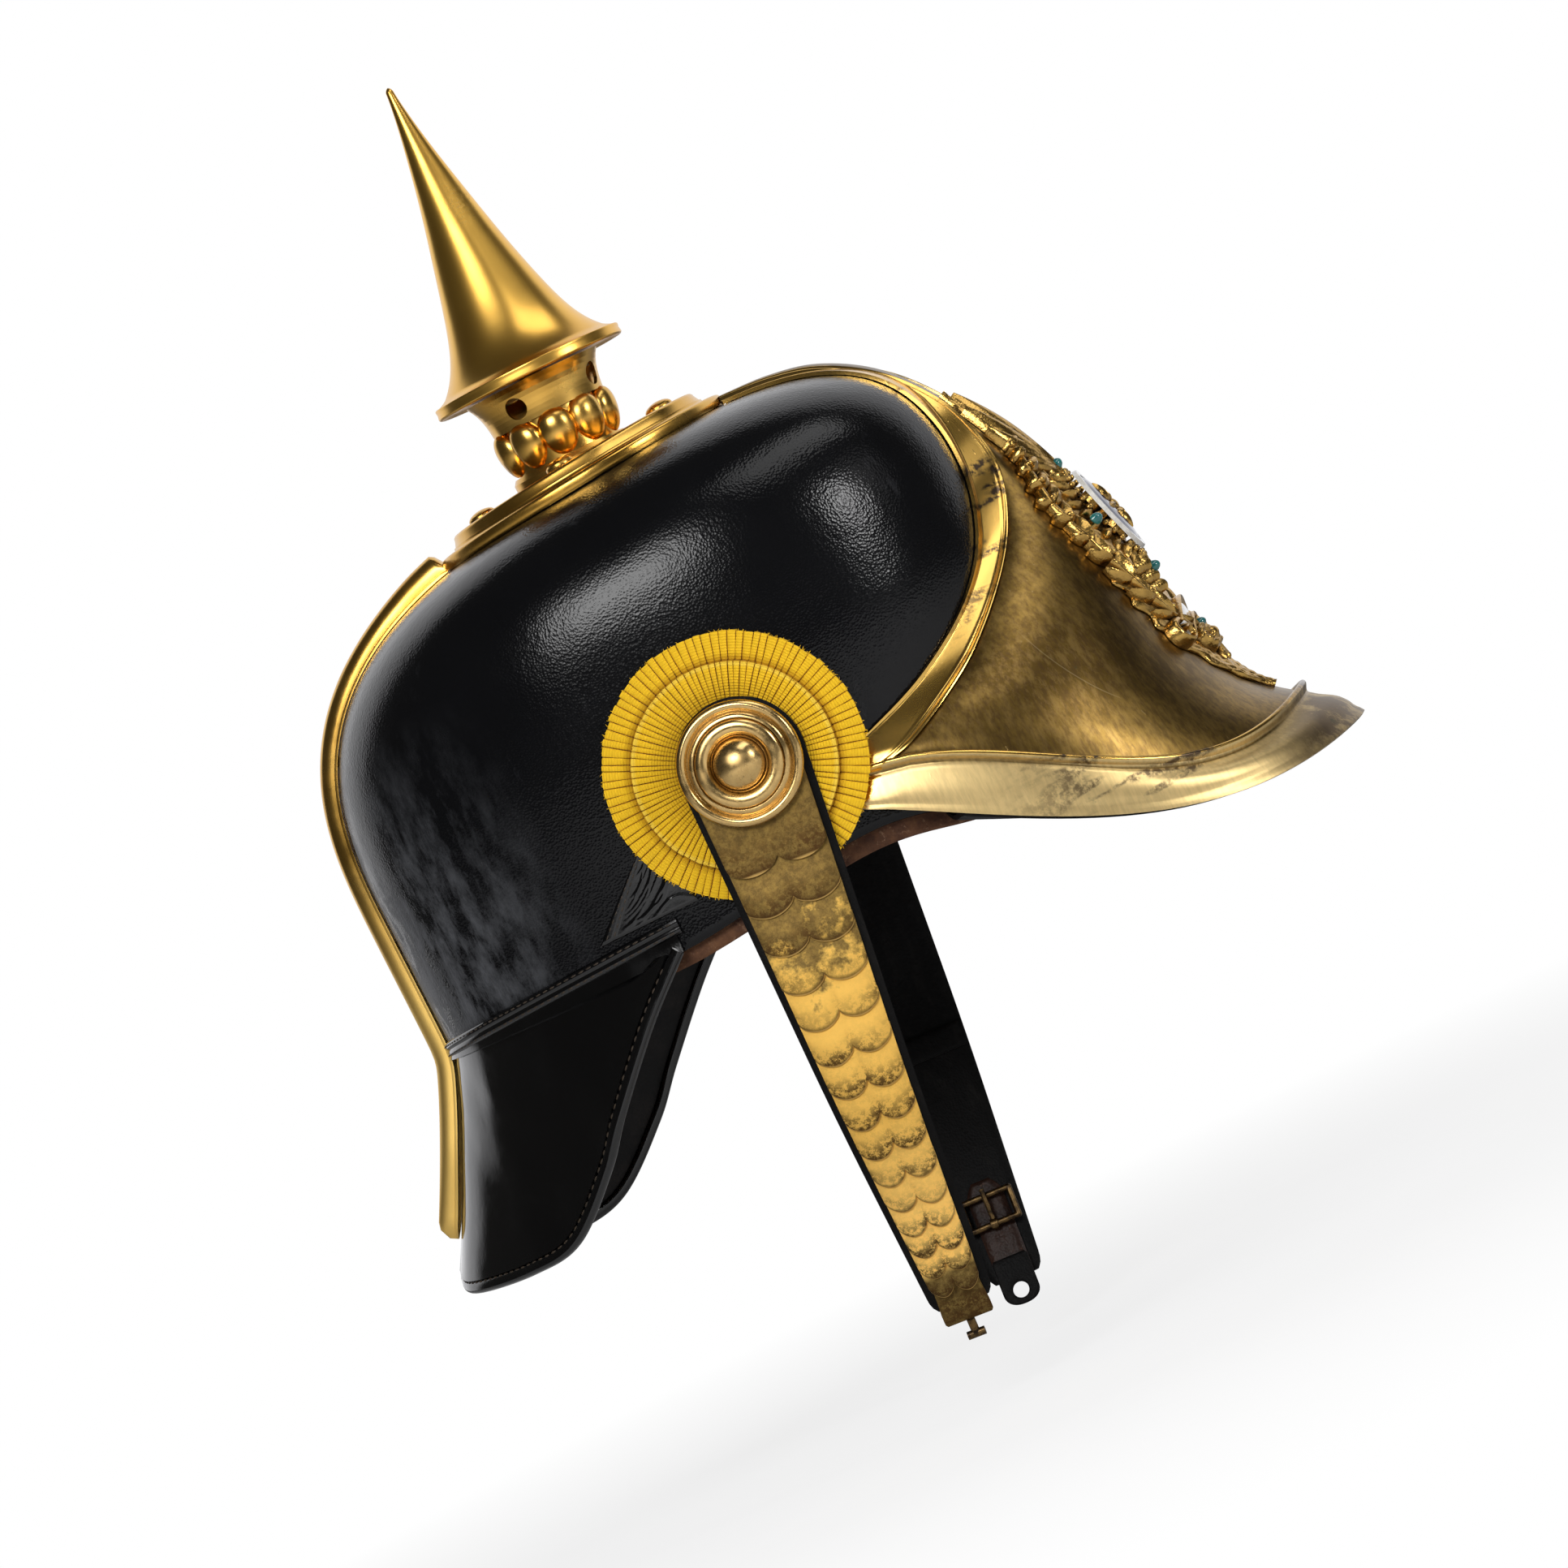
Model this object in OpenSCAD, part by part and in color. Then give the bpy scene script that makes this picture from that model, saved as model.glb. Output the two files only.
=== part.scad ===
// Military spiked helmet: blocked leather skull, brass front plate with peak,
// brass rear spine, crown plate with a turned spike, cockades and scaled chin straps.
// Worn upright: +X is forward, +Y is the wearer's left, +Z is up.
// The origin is the centre of the head opening, on the rim plane.

/* [Leather skull] */
// Spike axis, forward of the opening's centre
crown_x = 14; // [10:1:18]
// Spike axis to the front of the dome
dome_front = 112; // [108:1:115]
// Spike axis to the back of the dome
dome_rear = 114.5; // [112:0.5:118]
// Half of the dome's width
dome_half_w = 88; // [86:0.5:91]
// Spike axis to the front of the rim
rim_front = 92; // [88:1:96]
// Spike axis to the back of the rim
rim_rear = 114; // [111:1:116]
// Half of the rim's width
rim_half_w = 84; // [82:0.5:87]
// Height of the widest part of the dome over the rim
widest_z = 70; // [66:1:74]
// Height of the dome over its widest part
dome_h = 70; // [67:1:73]
// Rise of the crown per millimetre forward
crown_slope = 0.08; // [0.06:0.005:0.1]
// Height where the back of the dome starts to turn in
rear_turn_z = 47; // [42:1:55]
// Rise of the skull's edge over the ears
rim_arch = 7.4; // [5:0.1:8]
// Thickness of the skull leather
leather_t = 2.4; // [1.8:0.1:3]
// Radius of the air hole in the crown
air_hole_r = 9; // [6:0.5:12]

/* [Front plate and peak] */
// Thickness of the brass sheet
brass_t = 1.2; // [0.8:0.1:1.6]
// Gap between the leather and the brass on it
leather_gap = 0.35; // [0.25:0.05:0.5]
// Reach of the peak's tip from the opening's centre
peak_reach = 198; // [192:1:204]
// Height of the peak's tip
peak_tip_z = -28.5; // [-32:0.5:-24]
// Half of the peak's width at its rear corners
peak_half_w = 87; // [86:0.5:90]
// Height of the raised moulding round the leather window
moulding_h = 2.6; // [1.5:0.1:3.5]
// Height of the bead along the peak
bead_h = 2.4; // [1.5:0.1:3.5]
// Thickness of the peak's leather lining
lining_t = 1.6; // [1.2:0.1:2]

/* [Neck guard] */
// Thickness of the neck guard's leather
guard_t = 2.2; // [1.8:0.1:2.6]
// How far the guard hangs under the rim at the back
guard_drop = 64; // [58:1:70]
// How far the guard flares backwards
guard_flare = 28; // [24:1:32]
// Width of the bound edge
binding_w = 4; // [3:0.5:5]
// Thickness of the bound edge
binding_t = 3.4; // [3:0.1:4]
// Half of the height of the strip over the neck seam
seam_strip_h = 2.6; // [2:0.1:3.5]
// Thickness of the sewn leather strips
strip_t = 1.4; // [1:0.1:1.8]

/* [Rear spine] */
// Width of the spine over its flanges
spine_w = 17; // [14:1:20]
// Height of the spine's rib over the leather
spine_h = 6.5; // [5:0.5:8]
// Radius of the spine's screw heads
spine_screw_r = 2.6; // [2:0.1:3]

/* [Crown plate] */
// Outer radius of the crown plate
plate_r = 50; // [47:0.5:51]
// Radius of the raised middle of the crown plate
plateau_r = 43; // [40:0.5:44]
// Height of the flange's rim
plate_rim_h = 4; // [3.5:0.1:4.5]
// Height of the raised middle
plateau_h = 8.6; // [8:0.1:9.5]
// Distance of the four domed studs from the axis
stud_ring_r = 32; // [30:0.5:35]
// Radius of a domed stud
stud_r = 4.6; // [4:0.1:5.2]
// Height of a domed stud
stud_h = 2.6; // [2:0.1:3.5]
// Radius of a stud's shank
stud_shank_r = 1.6; // [1.2:0.1:2]

/* [Spike] */
// Rise of the seat's top over the crown plate, at the axis
seat_rise = 2.705; // [2.5:0.1:5]
// Radius of the seat
seat_r = 19.5; // [18:0.5:20]
// Height of the petal ring
petal_h = 14; // [12:0.5:15]
// Number of petals
petal_n = 10; // [8:1:10]
// Radius of a petal
petal_r = 5; // [4.6:0.1:5.1]
// Height of the vented neck over the petal ring
neck_h = 12; // [11:0.5:15]
// Radius of a vent hole
vent_r = 3.5; // [2.5:0.1:3.8]
// Radius of the spike's flange
spike_flange_r = 31.3; // [29:0.1:33]
// Thickness of the spike's flange
spike_flange_t = 5.2; // [4.5:0.1:6]
// Height of the cone over its flange
spike_cone_h = 94; // [85:1:105]
// Wall of the turned and spun brass of the spike
spike_wall = 1.2; // [1:0.1:1.6]
// Radius of the spike's screw
screw_r = 4; // [3:0.1:5]
// Running clearance round the screw and round the boss shanks
running_gap = 0.06; // [0.03:0.01:0.1]

/* [Cockades and bosses] */
// Boss axis, forward of the opening's centre
boss_x = 29; // [26:0.5:32]
// Height of the boss axis over the rim
boss_z = 43; // [40:1:48]
// How far the cockades sit behind the boss axis
cockade_back = 2.5; // [0:0.5:4]
// Radius of the cockade
cockade_r = 40; // [37:0.5:42]
// Radius of the cockade's inner tier
cockade_inner_r = 31; // [28:0.5:33]
// Thickness of one pleated tier
cockade_tier_t = 2.5; // [2:0.1:3]
// Radius of the boss
boss_r = 19; // [17:0.5:21]
// Radius of the boss's middle dome
boss_dome_r = 7.5; // [6:0.5:9]
// Radius of the boss's shank
boss_shank_r = 5; // [4:0.1:6]

/* [Chin straps] */
// Length of the right strap under the boss axis
strap_l = 175; // [170:1:185]
// How much longer the left strap is
left_extra_l = 12; // [6:0.5:14]
// Width of the brass at the boss axis
strap_w = 35; // [32:0.5:37]
// Width of the brass at the strap's end
strap_end_w = 15; // [14:0.5:18]
// Leather showing beside the brass
strap_edge = 2.2; // [2:0.1:3]
// Thickness of the strap leather
strap_t = 1.8; // [1.4:0.1:2.2]
// How far the strap's end curves in towards the chin
strap_curve = 20; // [14:1:24]
// Where the strap starts to curve in, from the boss axis
strap_bend_s = 84; // [80:1:96]
// Lean of the right strap to the rear, in degrees
right_lean = 4.7; // [2:0.1:6]
// Lean of the left strap to the rear, in degrees
left_lean = 3.4; // [1:0.1:6]
// Number of scales on a strap
scale_n = 14; // [10:1:15]
// Thickness of a scale
scale_t = 0.8; // [0.6:0.1:1]

/* [Buckle and hook] */
// Width of the adjusting strap
tail_w = 12; // [10:0.5:13]
// Thickness of the adjusting strap
tail_t = 1.4; // [1.2:0.1:1.8]
// Radius of the buckle's wire
wire_r = 1; // [0.8:0.1:1.2]
// Length of the hook stud's stem
hook_l = 5; // [4:0.5:6]
// Radius of the eye's hole
eye_r = 2.6; // [2.4:0.1:3]

/* [Ornament] */
// Height of the cast relief
relief_t = 7; // [6:0.5:9]
// Half of the relief's width at its widest
relief_half_w = 36; // [30:1:38]
// Radius of the middle medallion
medallion_r = 13; // [11:0.5:14]

/* [Liner] */
// Height of the sweatband
sweatband_h = 34; // [28:1:40]
// How far the sweatband's edge shows under the rim
sweatband_drop = 5; // [4:0.5:7]
// Thickness of the sweatband
sweatband_t = 1.4; // [1.2:0.1:1.8]
// Number of liner tongues
tongue_n = 9; // [7:1:10]
// Radius of the drawstring's ring
drawstring_r = 26; // [22:1:30]

/* [Hidden] */
$fn = 64;
brass = "#c79a3b";
black_leather = "#16161a";
brown_leather = "#4a2c1c";

// Curves of the dome: how square each outline is
plan_front_n = 2.4;
plan_rear_n = 2.15;
side_front_n = 3.2;
side_rear_n = 3.05;
side_width_n = 3.8;
dome_centre = [crown_x, 0, widest_z * 0.85];

// A value from 0 to 1 with a soft start and a soft end
function soft(v) = let (c = min(1, max(0, v))) c * c * (3 - 2 * c);
// The other half of a superellipse
function fall(h, n) = pow(max(0, 1 - pow(h, n)), 1 / n);
function mix(a, b, f) = a * (1 - f) + b * f;
function unit(v) = v / norm(v);
function flat(rows) = [for (row = rows) for (p = row) p];

// A smooth curve through the points p, at u from 0 to 1
function along(p, u) =
    let (n = len(p) - 1, f = min(max(u, 0), 1) * n, i = min(floor(f), n - 1), t = f - i,
        a = p[max(i - 1, 0)], b = p[i], c = p[i + 1], d = p[min(i + 2, n)])
    0.5 * (2 * b + (c - a) * t + (2 * a - 5 * b + 4 * c - d) * t * t
        + (3 * b - a - 3 * c + d) * t * t * t);

// Radii of the skull at height zeta over the rim: to the front, to the back, to the side
function radii(zeta, off) =
    let (h = min(1, max(0, (zeta - widest_z) / dome_h)), low = soft(zeta / widest_z),
        h_rear = min(1, max(0, (zeta - rear_turn_z) / (widest_z + dome_h - rear_turn_z))),
        grow = off * (1 - pow(h, 8)))
    [mix(rim_front, dome_front, low) * fall(h, side_front_n) + grow,
        mix(rim_rear, dome_rear, low) * fall(h_rear, side_rear_n) + grow,
        mix(rim_half_w, dome_half_w, low) * fall(h, side_width_n) + grow];

function shear(x, zeta) =
    crown_slope * (x - crown_x) * soft(zeta / (widest_z + dome_h));

// The skull's surface at angle phi, 0 in front and positive to the left, moved out by off
function skull_at(phi, zeta, off) =
    let (r = radii(zeta, off), c = cos(phi), s = sin(phi),
        m = c >= 0 ? plan_front_n : plan_rear_n,
        h = min(1, max(0, (zeta - widest_z) / dome_h)),
        x = crown_x + (c >= 0 ? r[0] : r[1]) * sign(c) * pow(abs(c), 2 / m))
    [x, r[2] * sign(s) * pow(abs(s), 2 / m), zeta + shear(x, zeta) + off * pow(h, 3)];

// Height over the rim of a point at x, z on the surface moved out by off
function zeta_of(x, z, off, n = 5, guess = undef) =
    let (g = is_undef(guess) ? z : guess, h = min(1, max(0, (g - widest_z) / dome_h)))
    n == 0 ? g : zeta_of(x, z, off, n - 1, z - shear(x, g) - off * pow(h, 3));

// Under zero inside the surface moved out by off, over zero outside it
function outside(p, off) =
    let (zeta = zeta_of(p[0], p[2], off), r = radii(zeta, off),
        a = p[0] > crown_x ? r[0] : r[1], m = p[0] > crown_x ? plan_front_n : plan_rear_n)
    zeta >= widest_z + dome_h ? 1
        : pow(abs(p[0] - crown_x) / max(a, 0.01), m) + pow(abs(p[1]) / max(r[2], 0.01), m) - 1;

// The point p moved along its ray from the dome's centre onto the surface
function seat_at(p, off, lo = 0.6, hi = 1.6, n = 18) =
    let (mid = (lo + hi) / 2, q = dome_centre + (p - dome_centre) * mid)
    n == 0 ? q : outside(q, off) < 0 ? seat_at(p, off, mid, hi, n - 1)
        : seat_at(p, off, lo, mid, n - 1);
function clear_of(p, off) = outside(p, off) < 0 ? seat_at(p, off) : p;

// Half of the skull's width at x, z
function half_w_at(x, z, off) =
    let (zeta = zeta_of(x, z, off), r = radii(zeta, off),
        a = x > crown_x ? r[0] : r[1], m = x > crown_x ? plan_front_n : plan_rear_n)
    r[2] * pow(1 - pow(min(1, abs(x - crown_x) / a), m), 1 / m);

// A sheet between two grids of points with the same rows and columns
module sheet(top, under, loop = false, flip = false) {
    rows = len(top);
    cols = len(top[0]);
    last = loop ? cols : cols - 1;
    n = rows * cols;
    function at(i, j, s) = s * n + i * cols + (j % cols);
    function quad(a, b, c, d) = [[a, b, c], [a, c, d]];
    faces = [
        for (i = [0:rows - 2]) for (j = [0:last - 1])
            each quad(at(i, j, 0), at(i + 1, j, 0), at(i + 1, j + 1, 0), at(i, j + 1, 0)),
        for (i = [0:rows - 2]) for (j = [0:last - 1])
            each quad(at(i, j, 1), at(i, j + 1, 1), at(i + 1, j + 1, 1), at(i + 1, j, 1)),
        for (j = [0:last - 1])
            each quad(at(0, j, 0), at(0, j + 1, 0), at(0, j + 1, 1), at(0, j, 1)),
        for (j = [0:last - 1])
            each quad(at(rows - 1, j, 0), at(rows - 1, j, 1), at(rows - 1, j + 1, 1),
                at(rows - 1, j + 1, 0)),
        if (!loop) for (i = [0:rows - 2])
            each quad(at(i, 0, 0), at(i, 0, 1), at(i + 1, 0, 1), at(i + 1, 0, 0)),
        if (!loop) for (i = [0:rows - 2])
            each quad(at(i, cols - 1, 0), at(i + 1, cols - 1, 0), at(i + 1, cols - 1, 1),
                at(i, cols - 1, 1))];
    polyhedron(concat(flat(top), flat(under)),
        flip ? [for (f = faces) [f[2], f[1], f[0]]] : faces, convexity = 10);
}

// The grid moved by d along its own normals
function thicken(g, d) =
    let (rows = len(g), cols = len(g[0]))
    [for (i = [0:rows - 1]) [for (j = [0:cols - 1])
        let (du = g[min(i + 1, rows - 1)][j] - g[max(i - 1, 0)][j],
            dv = g[i][min(j + 1, cols - 1)] - g[i][max(j - 1, 0)])
        g[i][j] + d * unit(cross(du, dv))]];

// Leather skull
skull_cols = 44;
skull_low_rows = 4;
skull_top_rows = 13;
top_ring_h = pow(1 - pow(air_hole_r / 2 / dome_half_w, side_width_n), 1 / side_width_n);
skull_zetas = [
    for (i = [0:skull_low_rows - 1]) widest_z * i / skull_low_rows,
    for (i = [0:skull_top_rows])
        widest_z + dome_h * pow(sin(asin(pow(top_ring_h, 1.5)) * i / skull_top_rows), 2 / 3)];
// Rise of the skull's edge at angle phi
arch_at = 70;
arch_half = 34.6;
function rim_lift(phi) =
    let (d = abs(abs(phi > 180 ? phi - 360 : phi) - arch_at))
    d < arch_half ? rim_arch * pow(cos(90 * d / arch_half), 2) : 0;
function skull_grid(off) =
    [for (z = skull_zetas) [for (j = [0:skull_cols - 1])
        let (phi = 360 * j / skull_cols) skull_at(phi, max(z, rim_lift(phi)), off)]];

module skull_shell() {
    color(black_leather)
    difference() {
        sheet(skull_grid(0), skull_grid(-leather_t), loop = true);
        for (side = [-1, 1])
            translate([boss_x, 0, boss_z])
            rotate([side * 90, 0, 0])
            cylinder(r = boss_shank_r + 0.4, h = dome_half_w + 10);
        translate([crown_x, 0, widest_z]) cylinder(r = air_hole_r, h = dome_h + 10);
        studs_at() translate([0, 0, -12]) cylinder(r = stud_shank_r + 0.3, h = 20);
        spine_pin_holes();
    }
}

// Crown plate: its plane passes through the skull at its front and rear edges
plate_rear = skull_top(crown_x - plate_r);
plate_front = skull_top(crown_x + plate_r);
plate_tilt = atan((plate_front - plate_rear) / (2 * plate_r));
plate_z = (plate_front + plate_rear) / 2 + leather_gap;
// Height of the skull at x, y
function skull_top(x, y = 0, lo = 100, hi = 160, n = 18) =
    let (mid = (lo + hi) / 2)
    n == 0 ? mid : outside([x, y, mid], 0) < 0 ? skull_top(x, y, mid, hi, n - 1)
        : skull_top(x, y, lo, mid, n - 1);

module on_crown_plate() {
    translate([crown_x, 0, plate_z]) rotate([0, -plate_tilt, 0]) children();
}
// Foot of each stud on the leather, measured from the crown plate's plane
stud_turns = [0, 90, 180, 270];
stud_feet = [for (a = stud_turns) let (x = stud_ring_r * cos(a))
    (skull_top(crown_x + x, stud_ring_r * sin(a)) - plate_z - x * sin(plate_tilt)) / cos(plate_tilt)];
module studs_at() {
    for (k = [0:len(stud_turns) - 1])
        on_crown_plate() rotate([0, 0, stud_turns[k]]) translate([stud_ring_r, 0, 0])
        let ($foot = stud_feet[k]) children();
}
module crown_plate() {
    edge = 1.4;
    under = plateau_h - spike_wall;
    rim_under = plate_rim_h - spike_wall;
    color(brass)
    on_crown_plate()
    difference() {
        rotate_extrude()
        polygon([[air_hole_r, under + 0.4], [plateau_r - spike_wall - 1, under],
            [plateau_r - spike_wall, rim_under], [plate_r - spike_wall, rim_under],
            [plate_r - spike_wall, 0], [plate_r - 0.3, 0], [plate_r, 0.8],
            [plate_r, plate_rim_h - edge], [plate_r - 0.5, plate_rim_h - 0.4],
            [plate_r - edge, plate_rim_h], [plateau_r + 2.2, plate_rim_h],
            [plateau_r + 0.6, plate_rim_h + 0.6], [plateau_r, plate_rim_h + 1.6],
            [plateau_r, plateau_h - edge], [plateau_r - 0.5, plateau_h - 0.4],
            [plateau_r - edge, plateau_h], [air_hole_r, plateau_h + 0.4]]);
        for (a = stud_turns)
            rotate([0, 0, a]) translate([stud_ring_r, 0, -1])
            cylinder(r = stud_shank_r + 0.2, h = plateau_h + 3);
    }
}
stud_nut_h = 2;
stud_nut_gap = 0.5;
module crown_studs() {
    edge_h = 0.4;
    color(brass)
    studs_at()
    union() {
        translate([0, 0, plate_seat_h])
        rotate_extrude()
        polygon([[0, 0], [stud_r, 0],
            for (a = [0:15:90]) [stud_r * cos(a), edge_h + (stud_h - edge_h) * sin(a)]]);
        translate([0, 0, $foot - leather_t - stud_nut_gap - stud_nut_h - 1])
        cylinder(r = stud_shank_r, h = plateau_h + 2 - $foot + leather_t + stud_nut_gap + stud_nut_h);
    }
}
module crown_nuts() {
    color(brass)
    studs_at()
    translate([0, 0, $foot - leather_t - stud_nut_gap - stud_nut_h])
    difference() {
        cylinder(r = stud_shank_r + 1.8, h = stud_nut_h, $fn = 6);
        translate([0, 0, -1]) cylinder(r = stud_shank_r + 0.05, h = stud_nut_h + 2);
    }
}

// Spike seat, cut to the crown plate
plate_seat_h = plateau_h + 0.45;
seat_z = plate_z + plate_seat_h + seat_rise;
module spike_seat() {
    seat_h = seat_rise + 7.3;
    cut_h = 3 * seat_h;
    color(brass)
    difference() {
        translate([crown_x, 0, seat_z - seat_h])
        rotate_extrude()
        polygon([[air_hole_r, 0], [seat_r, 0], [seat_r, seat_h - 1.5], [seat_r - 1, seat_h],
            [air_hole_r, seat_h]]);
        on_crown_plate()
        translate([-plate_r, -plate_r, plate_seat_h - cut_h]) cube([2 * plate_r, 2 * plate_r, cut_h]);
    }
}
// Petal ring
petal_foot_z = seat_z + 0.1;
petal_ring_r = 16.6;
module petal_ring() {
    core_r = 17;
    color(brass)
    translate([crown_x, 0, petal_foot_z])
    union() {
        difference() {
            cylinder(r = core_r, h = petal_h);
            translate([0, 0, -1]) cylinder(r = core_r - 3, h = petal_h + 2);
        }
        for (i = [0:petal_n - 1])
            rotate([0, 0, 360 * i / petal_n - 90 + 7])
            translate([petal_ring_r, 0, 0])
            rotate_extrude($fn = 40)
            polygon([for (a = [-90:10:90])
                [petal_r * cos(a) * (1 - 0.16 * sin(a)), petal_h / 2 * (1 + sin(a)) * 0.999]]);
    }
}
// Vented neck
neck_foot_z = petal_foot_z + petal_h + 0.1;
neck_top_z = neck_foot_z + neck_h;
vent_z = neck_foot_z + neck_h * 0.42;
module spike_neck() {
    wall = 1.2;
    color(brass)
    difference() {
        translate([crown_x, 0, neck_foot_z])
        rotate_extrude()
        polygon(concat(
            [for (i = [0:8]) [neck_r(i / 8), neck_h * i / 8]],
            [for (i = [8:-1:0]) [neck_r(i / 8) - wall, neck_h * i / 8]]));
        for (i = [0:3])
            translate([crown_x, 0, vent_z])
            rotate([90, 0, 90 * i - 20])
            cylinder(r = vent_r, h = 40);
    }
}
function neck_r(f) = 18.6 + 1.2 * f + 2.4 * pow(f, 3);
// Bridge across the neck's mouth, which takes the spike's screw
bridge_t = 3;
bridge_z = neck_top_z - bridge_t - 1;
module neck_bridge() {
    bar_w = 13;
    reach = neck_r(0.65) - 1.6;
    color(brass)
    difference() {
        intersection() {
            translate([crown_x, 0, bridge_z]) cylinder(r = reach, h = bridge_t);
            translate([crown_x - 40, -bar_w / 2, bridge_z]) cube([80, bar_w, bridge_t]);
        }
        translate([crown_x, 0, bridge_z - 1]) cylinder(r = screw_r + running_gap, h = bridge_t + 2);
    }
}
// Spike
spike_z = neck_top_z + 0.3;
module spike_cone() {
    w = spike_wall;
    t = spike_flange_t;
    tip = t + spike_cone_h;
    color(brass)
    translate([crown_x, 0, spike_z])
    rotate_extrude()
    polygon(concat(
        [[screw_r, 0.6], [spike_flange_r - 3, 0.6], [spike_flange_r - 1, -0.1], [spike_flange_r - 0.2, 0.3],
            [spike_flange_r, 1.2], [spike_flange_r - 0.3, t - 1.6], [spike_flange_r - 1.6, t - 0.4]],
        [for (i = [0:10]) cone_point(i / 10)],
        [[0, tip], [0, tip - 14]],
        [for (i = [8:-1:0]) cone_point(i / 10) - [w + 0.2, 0]],
        [[screw_r, t - 1.2]]));
}
// Outline of the cone from its foot to its tip
function cone_point(f) =
    [mix(1.2, 22, pow(1 - f, 1.25)) + 5 * pow(1 - f, 14), spike_flange_t + spike_cone_h * f * 0.985];
module spike_screw() {
    top = spike_z + spike_flange_t + 6;
    foot = bridge_z - 6;
    color(brass)
    union() {
        translate([crown_x, 0, foot]) cylinder(r = screw_r, h = top - foot);
    }
}

// Front plate and peak, one pressed sheet. Each row runs from the middle line over the
// moulding to the sheet's edge. Points are given for the right side as x, y, z.
plate_head_x = crown_x + plate_r + 0.6;
drawn_dome_h = 70;
// The rows are drawn for one height of the dome and rise with it
function lifted(list) =
    [for (p = list) [p[0], p[1], p[2] + max(0, p[2] - widest_z) * (dome_h / drawn_dome_h - 1)]];
plate_middle = lifted([[plate_head_x, 0, 145.6], [80, 0, 144.6], [95, 0, 141], [110, 0, 132], [121.5, 0, 119],
    [129, 0, 105], [137.5, 0, 89], [146.5, 0, 72], [153, 0, 52], [157, 0, 33],
    [162, 0, 13], [171, 0, -4], [181.5, 0, -13.5],
    [peak_reach - 13.5, 0, peak_tip_z + 15.5 + bead_h - 2.4], [peak_reach - 11.5, 0, peak_tip_z + 11.5],
    [peak_reach - 5, 0, peak_tip_z + 7], [peak_reach, 0, peak_tip_z]]);
moulding_foot = lifted([[plate_head_x, -4.5, 145.2], [80, -6, 143.8], [95, -9, 139.6], [110, -13, 129.5],
    [121, -16.5, 116], [127.5, -19, 103.5], [130.5, -22, 88.5], [127, -33, 73.5], [118.5, -47.5, 59],
    [104.5, -62, 44], [89.5, -74, 33.5], [77, -80.5, 26.5], [69, -83, 23.5],
    [67, -peak_half_w + 1, 23.5], [65, -peak_half_w + 1, 20], [59, -peak_half_w, 16],
    [53, -peak_half_w, 15]]);
window_edge = lifted([[plate_head_x, -8, 142.6], [80, -12, 140], [94, -17, 134.5],
    [108, -22, 124.5], [117, -26, 111.5],
    [121.5, -29, 98.5], [121, -34, 84.5], [115, -46, 67.5], [103.5, -57.5, 54.5], [85.5, -70, 42.5],
    [67, -78.5, 35], [56, -82.5, 31], [49, -84.5, 29], [48, -85, 26.5], [47.5, -85, 24.5],
    [46, -85.5, 22], [45, -85.5, 19.5]]);
// How far each row dips towards the tip, and how late
row_dip = [50, 50, 50, 50, 50, 50, 50, 50, 52, 60, 75, 95, 118, 118, 118, 115, 113];
row_late = [1, 1, 1, 1, 1, 1, 1, 1, 1, 1, 1.05, 1.15, 1.3, 1.3, 1.3, 1.15, 1];
row_moulding = [0.15, 0.25, 0.4, 0.7, 1, 1, 1, 1, 1, 1, 1, 0.8, 0.35, 0.1, 0, 0, 0];
field_cols = 9;
plan_peak_n = 2.2;
plate_off = leather_gap + brass_t;
bead_row = 12;
plate_rows = concat([for (i = [0:0.5:bead_row]) i], [for (i = [bead_row + 1:len(row_dip) - 1]) i]);
function at_row(list, i) = along(list, i / (len(list) - 1));

// The plate's field at row i, turned a degrees from the middle line to the moulding
function field_at(i, a) =
    let (m = at_row(plate_middle, i), r = at_row(moulding_foot, i), c = cos(a),
        k = at_row(row_dip, i), dip = sin(k * pow(c, at_row(row_late, i))) / sin(k))
    [mix(r[0], m[0], pow(c, 2 / plan_peak_n)), r[1] * pow(sin(a), 2 / plan_peak_n),
        mix(r[2], m[2], dip)];
function plate_half_row(i) =
    let (r = at_row(moulding_foot, i), w = at_row(window_edge, i), out = unit(r - dome_centre),
        h = moulding_h * at_row(row_moulding, i))
    concat([for (k = [0:field_cols]) clear_of(field_at(i, 90 * k / field_cols), plate_off)],
        [clear_of(mix(r, w, 0.17) + out * h, plate_off),
            clear_of(mix(r, w, 0.38) + out * h * 0.3, plate_off),
            clear_of(mix(r, w, 0.7), plate_off), seat_at(w, plate_off)]);
function both_sides(half) =
    concat([for (k = [len(half) - 1:-1:1]) half[k]], [half[0]],
        [for (k = [1:len(half) - 1]) [half[k][0], -half[k][1], half[k][2]]]);
front_grid = [for (i = plate_rows) both_sides(plate_half_row(i))];

module front_plate() {
    color(brass)
    sheet(front_grid, thicken(front_grid, -brass_t), flip = true);
}

// Leather lining under the peak
lining_turn = 80;
lining_cols = 16;
lining_reach = 0.65;
function lining_edge(a) =
    let (s = abs(a), p = field_at(15.75, s))
    [p[0] - 3, sign(a) * (abs(p[1]) - 3), p[2] + 0.4];
function lining_at(a, v) =
    let (phi = a * lining_reach, q = lining_edge(a), r = skull_at(phi, 0, -leather_t / 2))
    [mix(r[0], q[0], v), mix(r[1], q[1], v),
        mix(rim_lift(phi) - leather_gap, q[2], v) - 3 * sin(180 * v) * (1 - v)];
lining_grid = [for (i = [0:6]) [for (j = [0:lining_cols])
    lining_at(mix(-lining_turn, lining_turn, j / lining_cols), i / 6)]];
module peak_lining() {
    color(black_leather)
    sheet([for (row = lining_grid) [for (p = row) p - [0, 0, lining_t]]], lining_grid);
}

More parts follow.
